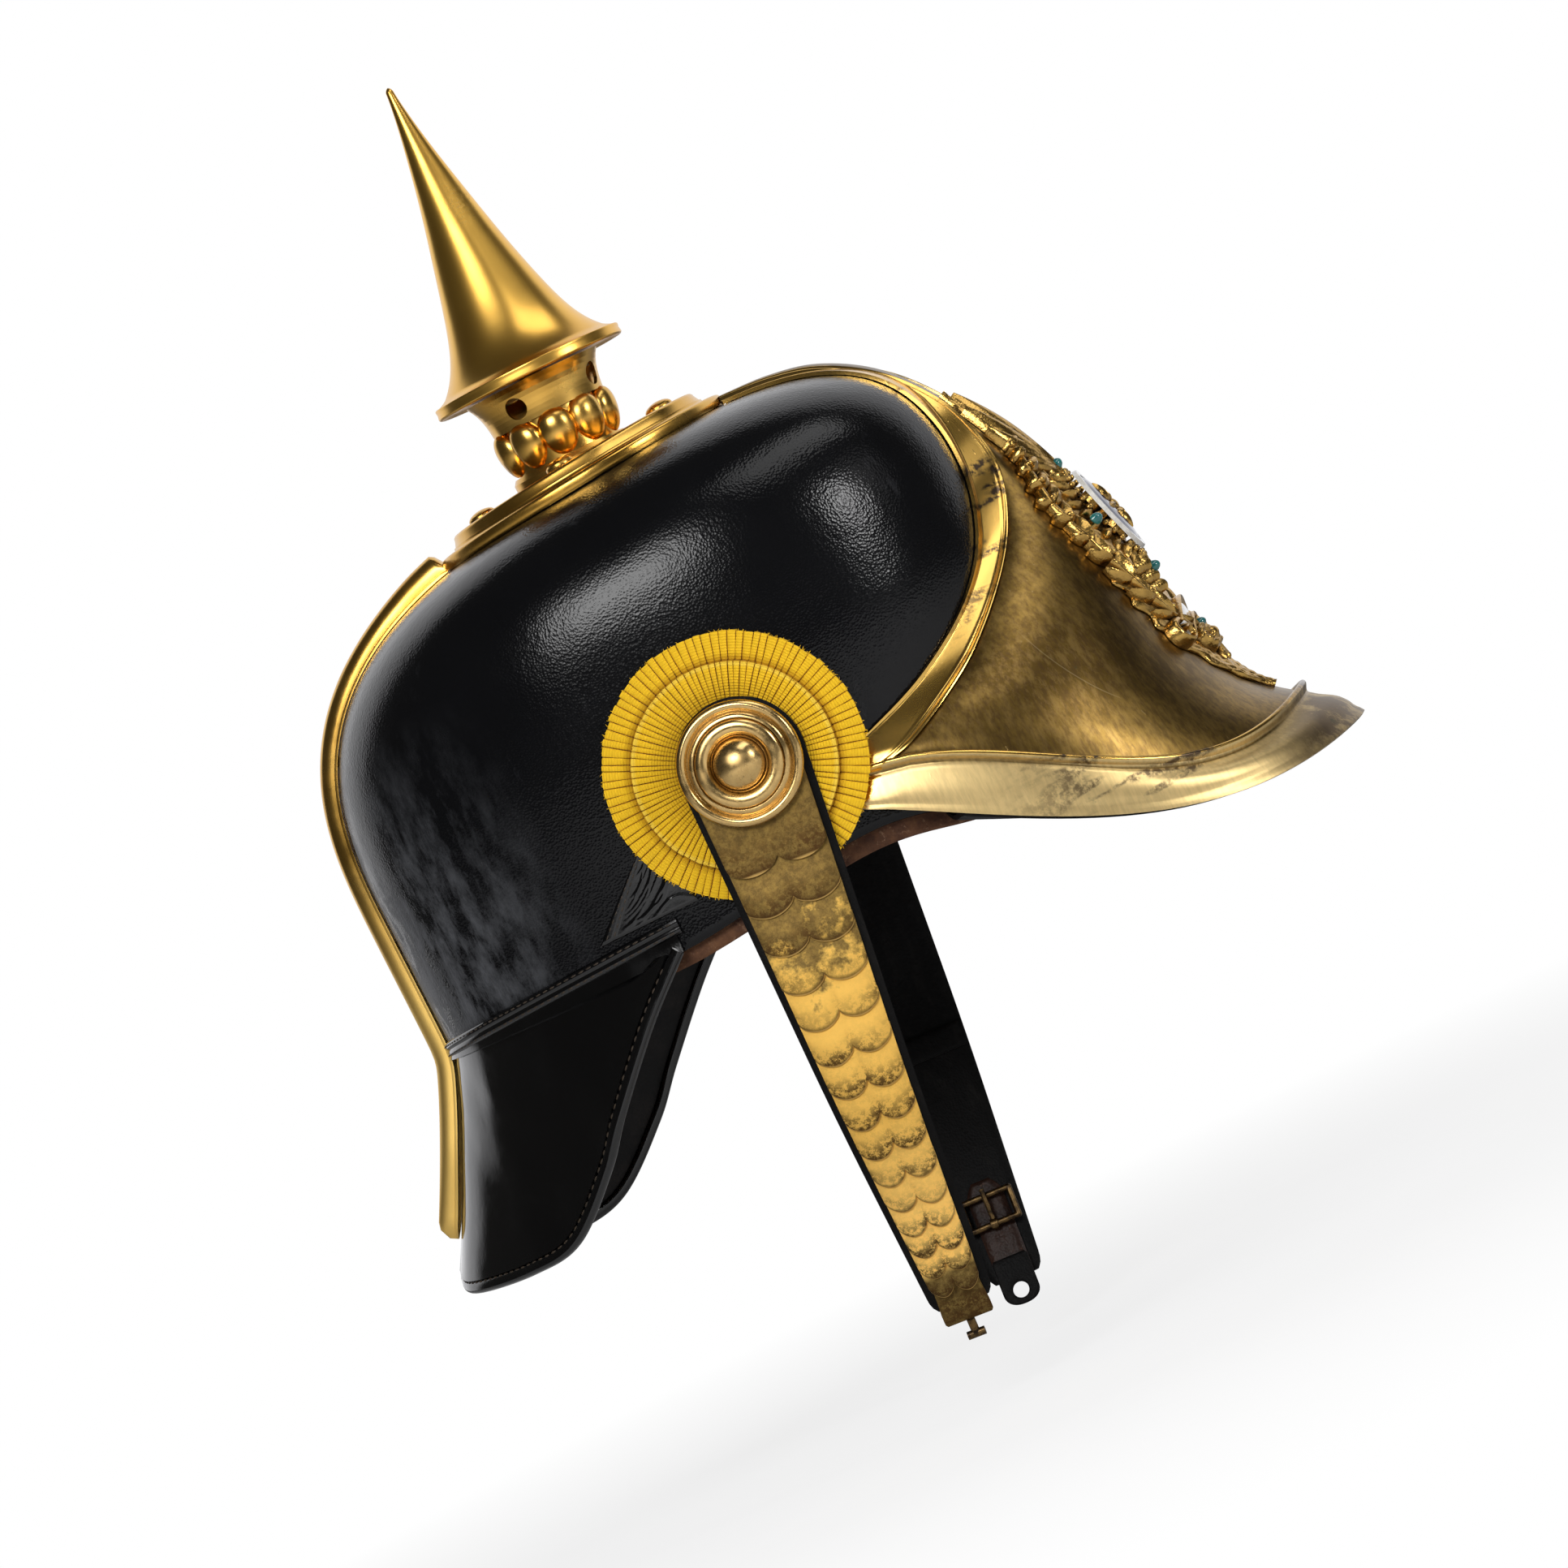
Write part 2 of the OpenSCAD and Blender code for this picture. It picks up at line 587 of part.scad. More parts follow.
// Neck guard
guard_rear = crown_x - rim_rear - guard_flare;
guard_edge = [[guard_rear - 0.5, 0, 1 - guard_drop], [guard_rear + 5.5, -28, -2 - guard_drop],
    [guard_rear + 27.5, -54, -3 - guard_drop], [-83, -66, -guard_drop], [-64, -76, -48.5],
    [-52, -82, -35], [-32, -85, -14.5], [-14, -86, 1]];
guard_turn = 72;
guard_cols = 14;
guard_rows = 6;
function guard_foot(f) = let (p = along(guard_edge, abs(f))) [p[0], sign(f) * -p[1], p[2]];
function guard_head(f, off = -guard_t) = skull_at(180 - f * guard_turn, 0, off) - [0, 0, 0.15];
function guard_at(f, v) =
    let (a = guard_head(f), b = guard_foot(f), g = pow(v, 1.15))
    [mix(a[0], b[0], g), mix(a[1], b[1], g), mix(a[2], b[2], v)];
function guard_reach(f) = 1 - (binding_w / 2 + 0.15) / norm(guard_foot(f) - guard_head(f));
guard_grid = [for (i = [0:guard_rows]) [for (j = [-guard_cols:guard_cols])
    guard_at(0.93 * j / guard_cols, guard_reach(0.93 * j / guard_cols) * i / guard_rows)]];
guard_outer = let (g = thicken(guard_grid, -guard_t)) concat(
    [[for (j = [-guard_cols:guard_cols]) guard_head(0.93 * j / guard_cols, 0)]],
    [for (i = [1:guard_rows]) g[i]]);
module neck_guard() {
    color(black_leather)
    sheet(guard_outer, guard_grid);
}

// A bar through rings of points, closed at both ends
module bar(rings) {
    n = len(rings[0]);
    last = len(rings) - 1;
    polyhedron(flat(rings), concat(
        [for (i = [0:last - 1]) for (j = [0:n - 1]) let (k = (j + 1) % n)
            each [[i * n + j, (i + 1) * n + k, i * n + k], [i * n + j, (i + 1) * n + j, (i + 1) * n + k]]],
        [[for (j = [0:n - 1]) j], [for (j = [n - 1:-1:0]) last * n + j]]), convexity = 10);
}
binding_steps = 30;
module neck_guard_binding() {
    path = [for (j = [-binding_steps:binding_steps]) guard_foot(j / binding_steps)];
    color(black_leather)
    bar([for (j = [0:len(path) - 1])
        let (f = (j - binding_steps) / binding_steps,
            along_edge = unit(path[min(j + 1, len(path) - 1)] - path[max(j - 1, 0)]),
            down = unit(guard_foot(f) - guard_head(f)), out = unit(cross(down, along_edge)),
            in_sheet = cross(along_edge, out))
        [for (a = [0:45:315])
            path[j] + out * binding_t / 2 * cos(a) + in_sheet * binding_w / 2 * sin(a)]]);
}

// Strip over the seam between skull and guard, in two halves beside the spine
seam_from = 108;
seam_to = 174.8;
seam_cols = 16;
seam_rise = 4.2;
function seam_grid(side, off) = [for (z = [0.2, 0.2 + 2 * seam_strip_h])
    [for (j = [0:seam_cols]) let (f = j / seam_cols, phi = mix(seam_from, seam_to, f))
        skull_at(side * phi, z + seam_rise * (1 - f), off)]];
module neck_seam_strip() {
    color(black_leather)
    for (side = [-1, 1])
        sheet(seam_grid(side, 0.35), seam_grid(side, 0.35 + strip_t), flip = side > 0);
}

// Leather patches sewn over the skull's sides in front of the guard
patch_rows = 6;
patch_cols = 5;
patch_low = 2 * seam_strip_h + seam_rise + 1;
patch_high = 38;
function patch_grid(side, off) = [for (i = [0:patch_rows]) [for (j = [0:patch_cols])
    let (v = i / patch_rows, rear = mix(114, 98.5, v), phi = mix(rear, 97, j / patch_cols))
    skull_at(side * phi, mix(patch_low, patch_high, v), off)]];
module side_patches() {
    color(black_leather)
    for (side = [-1, 1])
        sheet(patch_grid(side, 0.3), patch_grid(side, 1.1), flip = side < 0);
}

// Rear spine
spine_gap = 0.5;
spine_top_h = pow(1 - pow((plate_r + 2) / dome_rear, side_rear_n), 1 / side_rear_n);
// The middle line of the guard's outer face, moved out by off
function guard_back(v, off) =
    let (way = unit(guard_at(0, v + 0.02) - guard_at(0, v - 0.02)))
    guard_at(0, v) + (guard_t + off) * [way[2], 0, -way[0]];
spine_path = concat(
    [for (i = [14:-1:0]) skull_at(180, rear_turn_z + (widest_z + dome_h - rear_turn_z)
        * pow(sin(asin(pow(spine_top_h, 1.5)) * i / 14), 2 / 3), spine_gap)],
    [for (f = [0.67, 0.33, 0]) skull_at(180, rear_turn_z * f, spine_gap)],
    [for (v = [0.17, 0.34, 0.51, 0.68, 0.84]) guard_back(v, spine_gap)]);
function mirrored(half) = concat(half, [for (k = [len(half) - 2:-1:0]) [-half[k][0], half[k][1]]]);
spine_outer = let (w = spine_w / 2, t = brass_t, r = spine_w * 0.33)
    mirrored([[-w, t * 0.8], [-r, t], [-r * 0.92, t + (spine_h - t) * 0.45],
        [-r * 0.6, t + (spine_h - t) * 0.85], [0, spine_h]]);
spine_inner = let (w = spine_w / 2, t = brass_t, r = spine_w * 0.33)
    mirrored([[-w, 0], [-r * 0.72, 0], [-r * 0.66, spine_h * 0.45],
        [-r * 0.42, spine_h - t * 1.6], [0, spine_h - t * 1.2]]);
function spine_grid(profile) = let (n = len(spine_path) - 1)
    [for (i = [0:n])
        let (way = unit(spine_path[min(i + 1, n)] - spine_path[max(i - 1, 0)]), out = [way[2], 0, -way[0]])
        [for (p = profile) spine_path[i] + [0, p[0], 0] + out * p[1]]];
module rear_spine() {
    color(brass)
    sheet(spine_grid(spine_outer), spine_grid(spine_inner));
}
// Pins that hold the spine to the skull
spine_pin_z = [40, 104];
module spine_pin_holes() {
    for (z = spine_pin_z)
        translate(skull_at(180, z, -leather_t - 4)) rotate([0, -90, 0])
        cylinder(r = spine_pin_r + 0.2, h = leather_t + 8);
}
spine_pin_r = 1.3;
module spine_pins() {
    color(brass)
    for (z = spine_pin_z)
        translate(skull_at(180, z, -leather_t - 3)) rotate([0, -90, 0])
        union() {
            cylinder(r = spine_pin_r, h = leather_t + 3 + spine_gap + spine_h - 1.6 * brass_t - 0.2);
            cylinder(r = spine_screw_r, h = 1.6);
        }
}

// Bosses, cockades and straps share one axis on each side. Local z is the distance
// from the leather there, local y runs up the strap.
boss_seat_y = half_w_at(boss_x, boss_z, 0);
cockade_z = dome_half_w - boss_seat_y + 0.4;
strap_z = cockade_z + 2 * cockade_tier_t + 0.3;
scale_low = 0.3;
dome = 1.1;
head_z = strap_z + strap_t + scale_low + scale_t + 0.4;
head_t = 1;
boss_under_z = head_z + dome + head_t + 0.3;
module on_boss(side, lean = 0) {
    mirror([0, side > 0 ? 1 : 0, 0])
    translate([boss_x, -boss_seat_y, boss_z])
    rotate([0, lean, 0]) rotate([90, 0, 0])
    children();
}
module cockade() {
    color("#d9b125")
    translate([0, 0, cockade_z])
    difference() {
        translate([-cockade_back, 0, 0])
        rotate_extrude($fn = 96)
        polygon([[0, 0], [cockade_r, 0], [cockade_r, cockade_tier_t - 0.8],
            [cockade_r - 0.8, cockade_tier_t - 0.3], [cockade_inner_r, cockade_tier_t],
            [cockade_inner_r, 2 * cockade_tier_t - 0.9], [cockade_inner_r - 0.8, 2 * cockade_tier_t - 0.3],
            [0, 2 * cockade_tier_t]]);
        translate([0, 0, -1]) cylinder(r = boss_shank_r + 0.4, h = 2 * cockade_tier_t + 2);
    }
}
module right_cockade() { on_boss(-1) cockade(); }
module left_cockade() { on_boss(1) cockade(); }
boss_nut_t = 2.6;
boss_nut_r = boss_shank_r + 2.6;
boss_nut_in = boss_seat_y - half_w_at(boss_x, boss_z - boss_nut_r, 0) + leather_t + 0.3;
module boss() {
    d = boss_dome_r;
    shank_in = boss_nut_in + boss_nut_t + 1;
    color(brass)
    union() {
        translate([0, 0, boss_under_z])
        rotate_extrude()
        polygon(concat([[0, 0], [boss_r - 1, 0], [boss_r, 1]],
            [for (a = [0:30:90]) [boss_r - 2 + 2 * cos(a), 1.6 + 2 * sin(a)]],
            [[boss_r - 3.6, 3], [boss_r - 4.4, 2.6], [boss_r - 5.4, 3.2], [boss_r - 6.4, 4.4],
                [boss_r - 7.6, 4.8], [boss_r - 8.8, 4.4], [d + 1.6, 4], [d, 4.8]],
            [for (a = [15:15:90]) [d * cos(a), 4.8 + 4.6 * sin(a)]]));
        translate([0, 0, -shank_in]) cylinder(r = boss_shank_r, h = boss_under_z + shank_in + 0.5);
    }
}
module right_boss() { on_boss(-1) boss(); }
module left_boss() { on_boss(1) boss(); }
module boss_nuts() {
    color(brass)
    for (side = [-1, 1])
        on_boss(side)
        translate([0, 0, -boss_nut_in - boss_nut_t])
        difference() {
            cylinder(r = boss_nut_r, h = boss_nut_t, $fn = 6);
            translate([0, 0, -1]) cylinder(r = boss_shank_r + 0.05, h = boss_nut_t + 2);
        }
}

// Straps. s is the distance under the boss axis, u the distance forward, n outward.
left_l = strap_l + left_extra_l;
curve_end_s = strap_bend_s + 50;
curve_k = strap_curve / (pow(curve_end_s - strap_bend_s, 2)
    + 2 * (curve_end_s - strap_bend_s) * (strap_l - curve_end_s));
function curved(s) = max(0, min(s, curve_end_s) - strap_bend_s);
function inward(s) = curve_k * (pow(curved(s), 2) + 2 * curved(s) * max(0, s - curve_end_s));
function strap_at(s, u, n) =
    let (g = 2 * curve_k * curved(s), l = sqrt(1 + g * g))
    [u, -s - n * g / l, strap_z - inward(s) + n / l];
end_angle = atan(2 * curve_k * curved(strap_l));
function brass_w(s) = mix(strap_w, strap_end_w, s / strap_l);
function leather_w(s) = brass_w(s) + 2 * strap_edge;

module strap_leather() {
    top_r = leather_w(0) / 2;
    low_r = leather_w(strap_bend_s) / 2;
    color(black_leather)
    translate([0, 0, strap_z])
    linear_extrude(strap_t)
    difference() {
        polygon(concat([for (a = [0:7.5:180]) top_r * [cos(a), sin(a)]],
            [[-low_r, -strap_bend_s], [low_r, -strap_bend_s]]));
        circle(r = boss_shank_r + running_gap);
    }
}
module strap_leather_end(l) {
    steps = 10;
    rows = [for (i = [0:steps]) mix(strap_bend_s + 0.3, l, i / steps)];
    color(black_leather)
    sheet([for (s = rows) [for (u = [-1, 1]) strap_at(s, u * leather_w(s) / 2, strap_t)]],
        [for (s = rows) [for (u = [-1, 1]) strap_at(s, u * leather_w(s) / 2, 0)]], flip = true);
}
// Lower edge of scale i, and the scales' overlap
function scale_s(i) = head_l + (strap_l - 5 - head_l) * (i / scale_n) * (1.38 - 0.38 * i / scale_n);
head_l = 33;
overlap = 6.5;
lobe = 3.6;
scale_rows = 3;
scale_cols = 8;
function lobed(u) = lobe * (1 - pow(abs(sin(180 * u)), 0.6));
function scale_high(l) =
    let (r = overlap / l) max(1.7, (scale_low + scale_t + 0.2 - r * scale_low) / (1 - r));
function scale_grid(i, lift) =
    let (top = scale_s(i - 1) - overlap, foot = scale_s(i), l = foot - top)
    [for (a = [0:scale_rows]) [for (b = [0:scale_cols])
        let (v = a / scale_rows, u = 2 * b / scale_cols - 1,
            s = mix(top, foot - lobed(u), v), w = brass_w(s) / 2)
        strap_at(s, u * w, strap_t + mix(scale_low, scale_high(l), (s - top) / l)
            + dome * (1 - u * u) + lift)]];
function first_low_scale() =
    min([for (i = [1:scale_n]) if (scale_s(i - 1) - overlap > strap_bend_s + 0.3) i]);
module scales(from, to) {
    color("#c9a050")
    for (i = [from:to])
        sheet(scale_grid(i, scale_t), scale_grid(i, 0), flip = true);
}
module strap_head() {
    lobes = [for (b = [-12:12]) let (u = b / 12) [u * brass_w(head_l) / 2, -head_l + lobed(u)]];
    color("#c9a050")
    translate([0, 0, head_z + dome])
    linear_extrude(head_t)
    difference() {
        union() {
            circle(r = strap_w / 2);
            polygon(concat([[strap_w / 2 - 0.3, 0], [0.3 - strap_w / 2, 0]], lobes));
        }
        circle(r = boss_shank_r + running_gap);
    }
}
// Frame at distance s on the straight end of a strap: x forward, y up the strap, z outward
module on_strap_end(s) {
    translate(strap_at(s, 0, 0)) rotate([end_angle, 0, 0]) children();
}
end_plate_s = strap_l - 9;
module end_plate(l) {
    w = brass_w(strap_l - 3);
    color("#c9a050")
    on_strap_end(end_plate_s)
    translate([-w / 2, -l, strap_t + 0.3])
    cube([w, l, 0.9]);
}
end_plate_l = 13.7;
module hook_stud() {
    r = 1.3;
    color(brass)
    on_strap_end(end_plate_s + end_plate_l + 0.1)
    translate([0, 0, strap_t + 0.75])
    union() {
        rotate([90, 0, 0]) cylinder(r = r, h = hook_l);
        translate([-2.8, -hook_l, 0]) rotate([0, 90, 0]) cylinder(r = r, h = 5.6);
    }
}
module right_strap_head() { on_boss(-1, right_lean) strap_head(); }
module right_strap_leather() { on_boss(-1, right_lean) strap_leather(); }
module right_strap_scales() { on_boss(-1, right_lean) scales(1, first_low_scale() - 1); }
module right_strap_leather_end() { on_boss(-1, right_lean) strap_leather_end(strap_l); }
module right_strap_end_scales() { on_boss(-1, right_lean) scales(first_low_scale(), scale_n); }
module right_end_plate() { on_boss(-1, right_lean) end_plate(end_plate_l); }
module right_hook_stud() { on_boss(-1, right_lean) hook_stud(); }
module left_strap_head() { on_boss(1, left_lean) strap_head(); }
module left_strap_leather() { on_boss(1, left_lean) strap_leather(); }
module left_strap_scales() { on_boss(1, left_lean) scales(1, first_low_scale() - 1); }
module left_strap_leather_end() { on_boss(1, left_lean) strap_leather_end(left_l); }
module left_strap_end_scales() { on_boss(1, left_lean) scales(first_low_scale(), scale_n); }
module left_end_plate() { on_boss(1, left_lean) end_plate(6); }

// Adjusting strap, eye and buckle inside the left strap's end
tail_gap = 0.3;
tail_top_s = left_l - 33;
tail_foot_s = left_l;
buckle_s = left_l - 17;
buckle_l = 9.5;
prong_ring_r = wire_r + running_gap + 0.7;
buckle_n = -tail_gap - tail_t - 0.25 - prong_ring_r;
eye_t = 1.2;
eye_l = 16;
eye_reach = 9;
eye_tab_w = 12;
eye_up = 4.6;
module left_tail_strap() {
    color(brown_leather)
    on_boss(1, left_lean) on_strap_end(tail_foot_s)
    translate([0, 0, -tail_gap - tail_t])
    linear_extrude(tail_t)
    polygon([[-tail_w / 2, 0], [tail_w / 2, 0], [tail_w / 2, tail_foot_s - tail_top_s - 5],
        [tail_w / 4, tail_foot_s - tail_top_s], [-tail_w / 4, tail_foot_s - tail_top_s],
        [-tail_w / 2, tail_foot_s - tail_top_s - 5]]);
}
module left_eye_tab() {
    foot = tail_foot_s + eye_reach;
    color("#5a5348")
    on_boss(1, left_lean) on_strap_end(foot)
    translate([0, 0, -tail_gap - tail_t - 0.1 - eye_t])
    linear_extrude(eye_t)
    difference() {
        union() {
            translate([-eye_tab_w / 2, 4]) square([eye_tab_w, eye_l - 4]);
            translate([-eye_tab_w / 2 + 4, 0]) square([eye_tab_w - 8, 6]);
            for (x = [-1, 1]) translate([x * (eye_tab_w / 2 - 4), 4]) circle(r = 4);
        }
        translate([0, eye_up]) circle(r = eye_r);
    }
}
module left_buckle_frame() {
    half = tail_w / 2 + 2.2;
    color("#6b5a35")
    on_boss(1, left_lean) on_strap_end(buckle_s)
    translate([0, 0, buckle_n])
    union() {
        for (y = [0, buckle_l])
            translate([-half, y, 0]) rotate([0, 90, 0]) cylinder(r = wire_r, h = 2 * half);
        for (x = [-half, half])
            translate([x, 0, 0]) rotate([-90, 0, 0]) cylinder(r = wire_r, h = buckle_l);
        for (x = [-half, half]) for (y = [0, buckle_l])
            translate([x, y, 0]) sphere(r = wire_r);
    }
}
module left_buckle_prong() {
    r = 0.8;
    rise = asin((wire_r + r + 0.15) / buckle_l);
    color("#6b5a35")
    on_boss(1, left_lean) on_strap_end(buckle_s)
    translate([0, 0, buckle_n])
    difference() {
        union() {
            translate([-1.1, 0, 0]) rotate([0, 90, 0]) cylinder(r = prong_ring_r, h = 2.2);
            rotate([-90 - rise, 0, 0]) cylinder(r = r, h = buckle_l + 2.2);
        }
        translate([-2, 0, 0]) rotate([0, 90, 0]) cylinder(r = wire_r + running_gap, h = 4);
    }
}
keeper_s = strap_bend_s + 22;
keeper_h = 8;
module left_keeper_loop() {
    color(black_leather)
    on_boss(1, left_lean)
    sheet([for (s = [keeper_s, keeper_s + keeper_h]) [for (u = [-1, 1])
            strap_at(s, u * leather_w(s) / 2, -0.3)]],
        [for (s = [keeper_s, keeper_s + keeper_h]) [for (u = [-1, 1])
            strap_at(s, u * leather_w(s) / 2, -1.5)]], flip = true);
}

// Cast relief on the front plate: a mirrored leaf scroll round a plain medallion
relief_rows = 26;
relief_cols = 10;
relief_top = 4.2;
relief_foot = 11.6;
medallion_row = 7.6;
medallion_h = 4;
relief_edge_h = 1;
relief_shape = [0.08, 0.24, 0.42, 0.74, 0.92, 1, 0.9, 0.58, 0.14];
function relief_w(f) = relief_half_w * along(relief_shape, f) * (0.95 + 0.05 * cos(360 * f * 7));
function field_out(i, a) =
    let (du = field_at(i + 0.1, a) - field_at(i - 0.1, a),
        dv = field_at(i, min(90, a + 3)) - field_at(i, max(0, a - 3)))
    a < 3 ? unit([-du[2], 0, du[0]]) : unit(cross(dv, du));
medallion_out = field_out(medallion_row, 0);
medallion_foot = field_at(medallion_row, 0);
function relief_pair(f, g) =
    let (i = mix(relief_top, relief_foot, f), y = abs(g) * relief_w(f),
        a = asin(pow(min(1, y / abs(at_row(moulding_foot, i)[1])), plan_peak_n / 2)),
        aa = min(a, 84), p = field_at(i, aa), out = field_out(i, aa),
        lump = 0.62 + 0.25 * cos(1440 * f + 300 * g * g) + 0.13 * cos(900 * g),
        ends = soft(3.5 * f) * soft(7 * (1 - f)),
        h = mix(relief_edge_h, relief_t * lump, ends * (1 - 0.75 * pow(abs(g), 4))),
        top = p + out * (0.3 + h), near = norm(p - medallion_foot) < medallion_r + 5,
        flat_top = p + medallion_out * (medallion_h - medallion_out * (p - medallion_foot)),
        q = near ? flat_top : top, side = sign(g))
    [[p[0] + out[0] * 0.3, side * abs(p[1] + out[1] * 0.3), p[2] + out[2] * 0.3],
        [q[0], side * abs(q[1]), q[2]]];
function relief_side(k) = [for (a = [0:relief_rows]) [for (b = [-relief_cols:relief_cols])
    relief_pair(a / relief_rows, b / relief_cols)[k]]];
module front_ornament() {
    color("#a9803a")
    sheet(relief_side(1), relief_side(0), flip = true);
}
module on_medallion() {
    translate(medallion_foot + medallion_out * (medallion_h + 0.1))
    rotate([0, acos(medallion_out[2]), 0])
    children();
}
module ornament_medallion() {
    color("#1b2440")
    on_medallion()
    rotate_extrude()
    polygon(concat([[0, 0], [medallion_r, 0]],
        [for (a = [0:15:90]) [medallion_r * cos(a), 0.8 + 2 * sin(a)]]));
}
module ornament_enamel_ring() {
    color("#e8e6e0")
    on_medallion()
    rotate_extrude()
    polygon([[medallion_r + 0.2, 0], [medallion_r + 3, 0], [medallion_r + 2.6, 1.4],
        [medallion_r + 0.6, 1.4]]);
}

// Liner
band_off = -leather_t - 0.7;
band_cols = 40;
band_arch = 0.85;
function band_grid(off) = [for (v = [0, 0.35, 1]) [for (j = [0:band_cols - 1])
    let (phi = 360 * j / band_cols, low = band_arch * rim_lift(phi) - sweatband_drop)
    skull_at(phi, mix(low, sweatband_h - sweatband_drop, v), off)]];
module sweatband() {
    color(brown_leather)
    sheet(band_grid(band_off), band_grid(band_off - sweatband_t), loop = true);
}
tongue_t = 1.2;
tongue_rows = 7;
tongue_cols = 3;
drawstring_z = 112;
tongue_foot_z = sweatband_h - sweatband_drop - 8;
function tongue_path(phi) = let (in = band_off - sweatband_t - 0.3)
    [skull_at(phi, tongue_foot_z, in), skull_at(phi, widest_z * 0.7, in - 3.5),
        skull_at(phi, widest_z * 1.2, in - 13) * 0.985 + [0.2, 0, 0],
        [crown_x - 4 + (drawstring_r + 18) * cos(phi), (drawstring_r + 16) * sin(phi), drawstring_z - 9],
        [crown_x - 4 + drawstring_r * cos(phi), drawstring_r * sin(phi), drawstring_z - 1.6]];
function tongue_grid(i, drop) =
    let (half = 0.42 * 360 / tongue_n)
    [for (a = [0:tongue_rows]) [for (b = [0:tongue_cols])
        let (v = a / tongue_rows, phi = 360 * i / tongue_n + mix(-half, half, b / tongue_cols),
            p = along(tongue_path(phi), v), c = [crown_x, 0, p[2] < 60 ? p[2] : 60])
        p + drop * unit(c - p)]];
module liner_tongues() {
    color(brown_leather)
    for (i = [0:tongue_n - 1])
        sheet(tongue_grid(i, 0), tongue_grid(i, tongue_t));
}
module liner_drawstring() {
    r = 1.2;
    color("#b9a58a")
    translate([crown_x - 4, 0, drawstring_z])
    rotate_extrude() translate([drawstring_r, 0]) circle(r = r);
}

skull_shell();
front_plate();
peak_lining();
neck_guard();
neck_guard_binding();
neck_seam_strip();
side_patches();
rear_spine();
spine_pins();
crown_plate();
crown_studs();
crown_nuts();
spike_seat();
petal_ring();
spike_neck();
neck_bridge();
spike_cone();
spike_screw();
front_ornament();
ornament_medallion();
ornament_enamel_ring();
right_cockade();
left_cockade();
right_boss();
left_boss();
boss_nuts();
right_strap_head();
right_strap_leather();
right_strap_scales();
right_strap_leather_end();
right_strap_end_scales();
right_end_plate();
right_hook_stud();
left_strap_head();
left_strap_leather();
left_strap_scales();
left_strap_leather_end();
left_strap_end_scales();
left_end_plate();
left_tail_strap();
left_eye_tab();
left_buckle_frame();
left_buckle_prong();
left_keeper_loop();
sweatband();
liner_tongues();
liner_drawstring();
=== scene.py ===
"""Looks of the spiked helmet: leather skull, brass plate and spine, turned spike,
pleated cockades and scaled chin straps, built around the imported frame."""
import math

import bmesh
import bpy
import numpy as np
from mathutils import Matrix, Vector, kdtree


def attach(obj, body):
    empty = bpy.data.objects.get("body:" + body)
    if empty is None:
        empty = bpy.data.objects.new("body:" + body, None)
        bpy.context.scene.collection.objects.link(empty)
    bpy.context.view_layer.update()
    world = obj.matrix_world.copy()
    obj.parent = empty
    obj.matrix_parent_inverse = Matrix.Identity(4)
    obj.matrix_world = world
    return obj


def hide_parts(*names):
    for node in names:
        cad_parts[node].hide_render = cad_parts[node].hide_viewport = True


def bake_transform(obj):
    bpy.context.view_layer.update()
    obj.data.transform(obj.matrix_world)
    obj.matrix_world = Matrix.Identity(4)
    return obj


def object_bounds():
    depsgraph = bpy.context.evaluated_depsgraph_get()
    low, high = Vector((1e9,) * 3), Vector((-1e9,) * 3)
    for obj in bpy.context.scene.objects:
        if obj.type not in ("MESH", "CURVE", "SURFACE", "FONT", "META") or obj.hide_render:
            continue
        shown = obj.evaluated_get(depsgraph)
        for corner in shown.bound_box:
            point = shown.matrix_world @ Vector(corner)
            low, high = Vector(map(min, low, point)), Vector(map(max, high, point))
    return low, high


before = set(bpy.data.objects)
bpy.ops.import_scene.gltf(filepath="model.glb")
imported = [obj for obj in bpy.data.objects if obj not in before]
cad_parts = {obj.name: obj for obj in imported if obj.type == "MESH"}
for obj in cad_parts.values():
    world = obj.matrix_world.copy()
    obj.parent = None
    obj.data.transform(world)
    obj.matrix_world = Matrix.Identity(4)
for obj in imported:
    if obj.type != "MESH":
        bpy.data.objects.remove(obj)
cad_low, cad_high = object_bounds()
MM = 0.001

# Viewpoint
# The helmet stands upright in its frame and is seen tipped forward, so the camera
# is rolled with it. Sizes are millimetres from the middle of the head opening.
HELMET_TIP = math.radians(26.5)
VIEW_TURN = math.radians(4.6)
VIEW_DIP = math.radians(3.4)
VIEW_DISTANCE = 2600
VIEW_RIGHT = 11.75
VIEW_UP = 39.25
FOCAL_PIXELS = 10400
PHOTO_PIXELS = 1932
tip = Matrix.Rotation(HELMET_TIP, 3, "Y")
view_right = Vector((math.cos(VIEW_TURN), math.sin(VIEW_TURN), 0))
view_ahead = Vector((-math.sin(VIEW_TURN) * math.cos(VIEW_DIP),
                     math.cos(VIEW_TURN) * math.cos(VIEW_DIP), -math.sin(VIEW_DIP)))
view_up = view_right.cross(view_ahead)
camera_data = bpy.data.cameras.new("viewpoint")
camera_data.lens = camera_data.sensor_width * FOCAL_PIXELS / PHOTO_PIXELS
camera_data.clip_start = 0.05
camera_data.clip_end = 50
camera = bpy.data.objects.new("viewpoint", camera_data)
bpy.context.scene.collection.objects.link(camera)
camera_turn = Matrix((tip @ view_right, tip @ view_up, tip @ -view_ahead)).transposed()
camera.matrix_world = camera_turn.to_4x4()
camera.location = tip @ (view_right * VIEW_RIGHT + view_up * VIEW_UP
                         - view_ahead * VIEW_DISTANCE) * MM
bpy.context.scene.camera = camera
bpy.context.scene.view_settings.view_transform = "Standard"


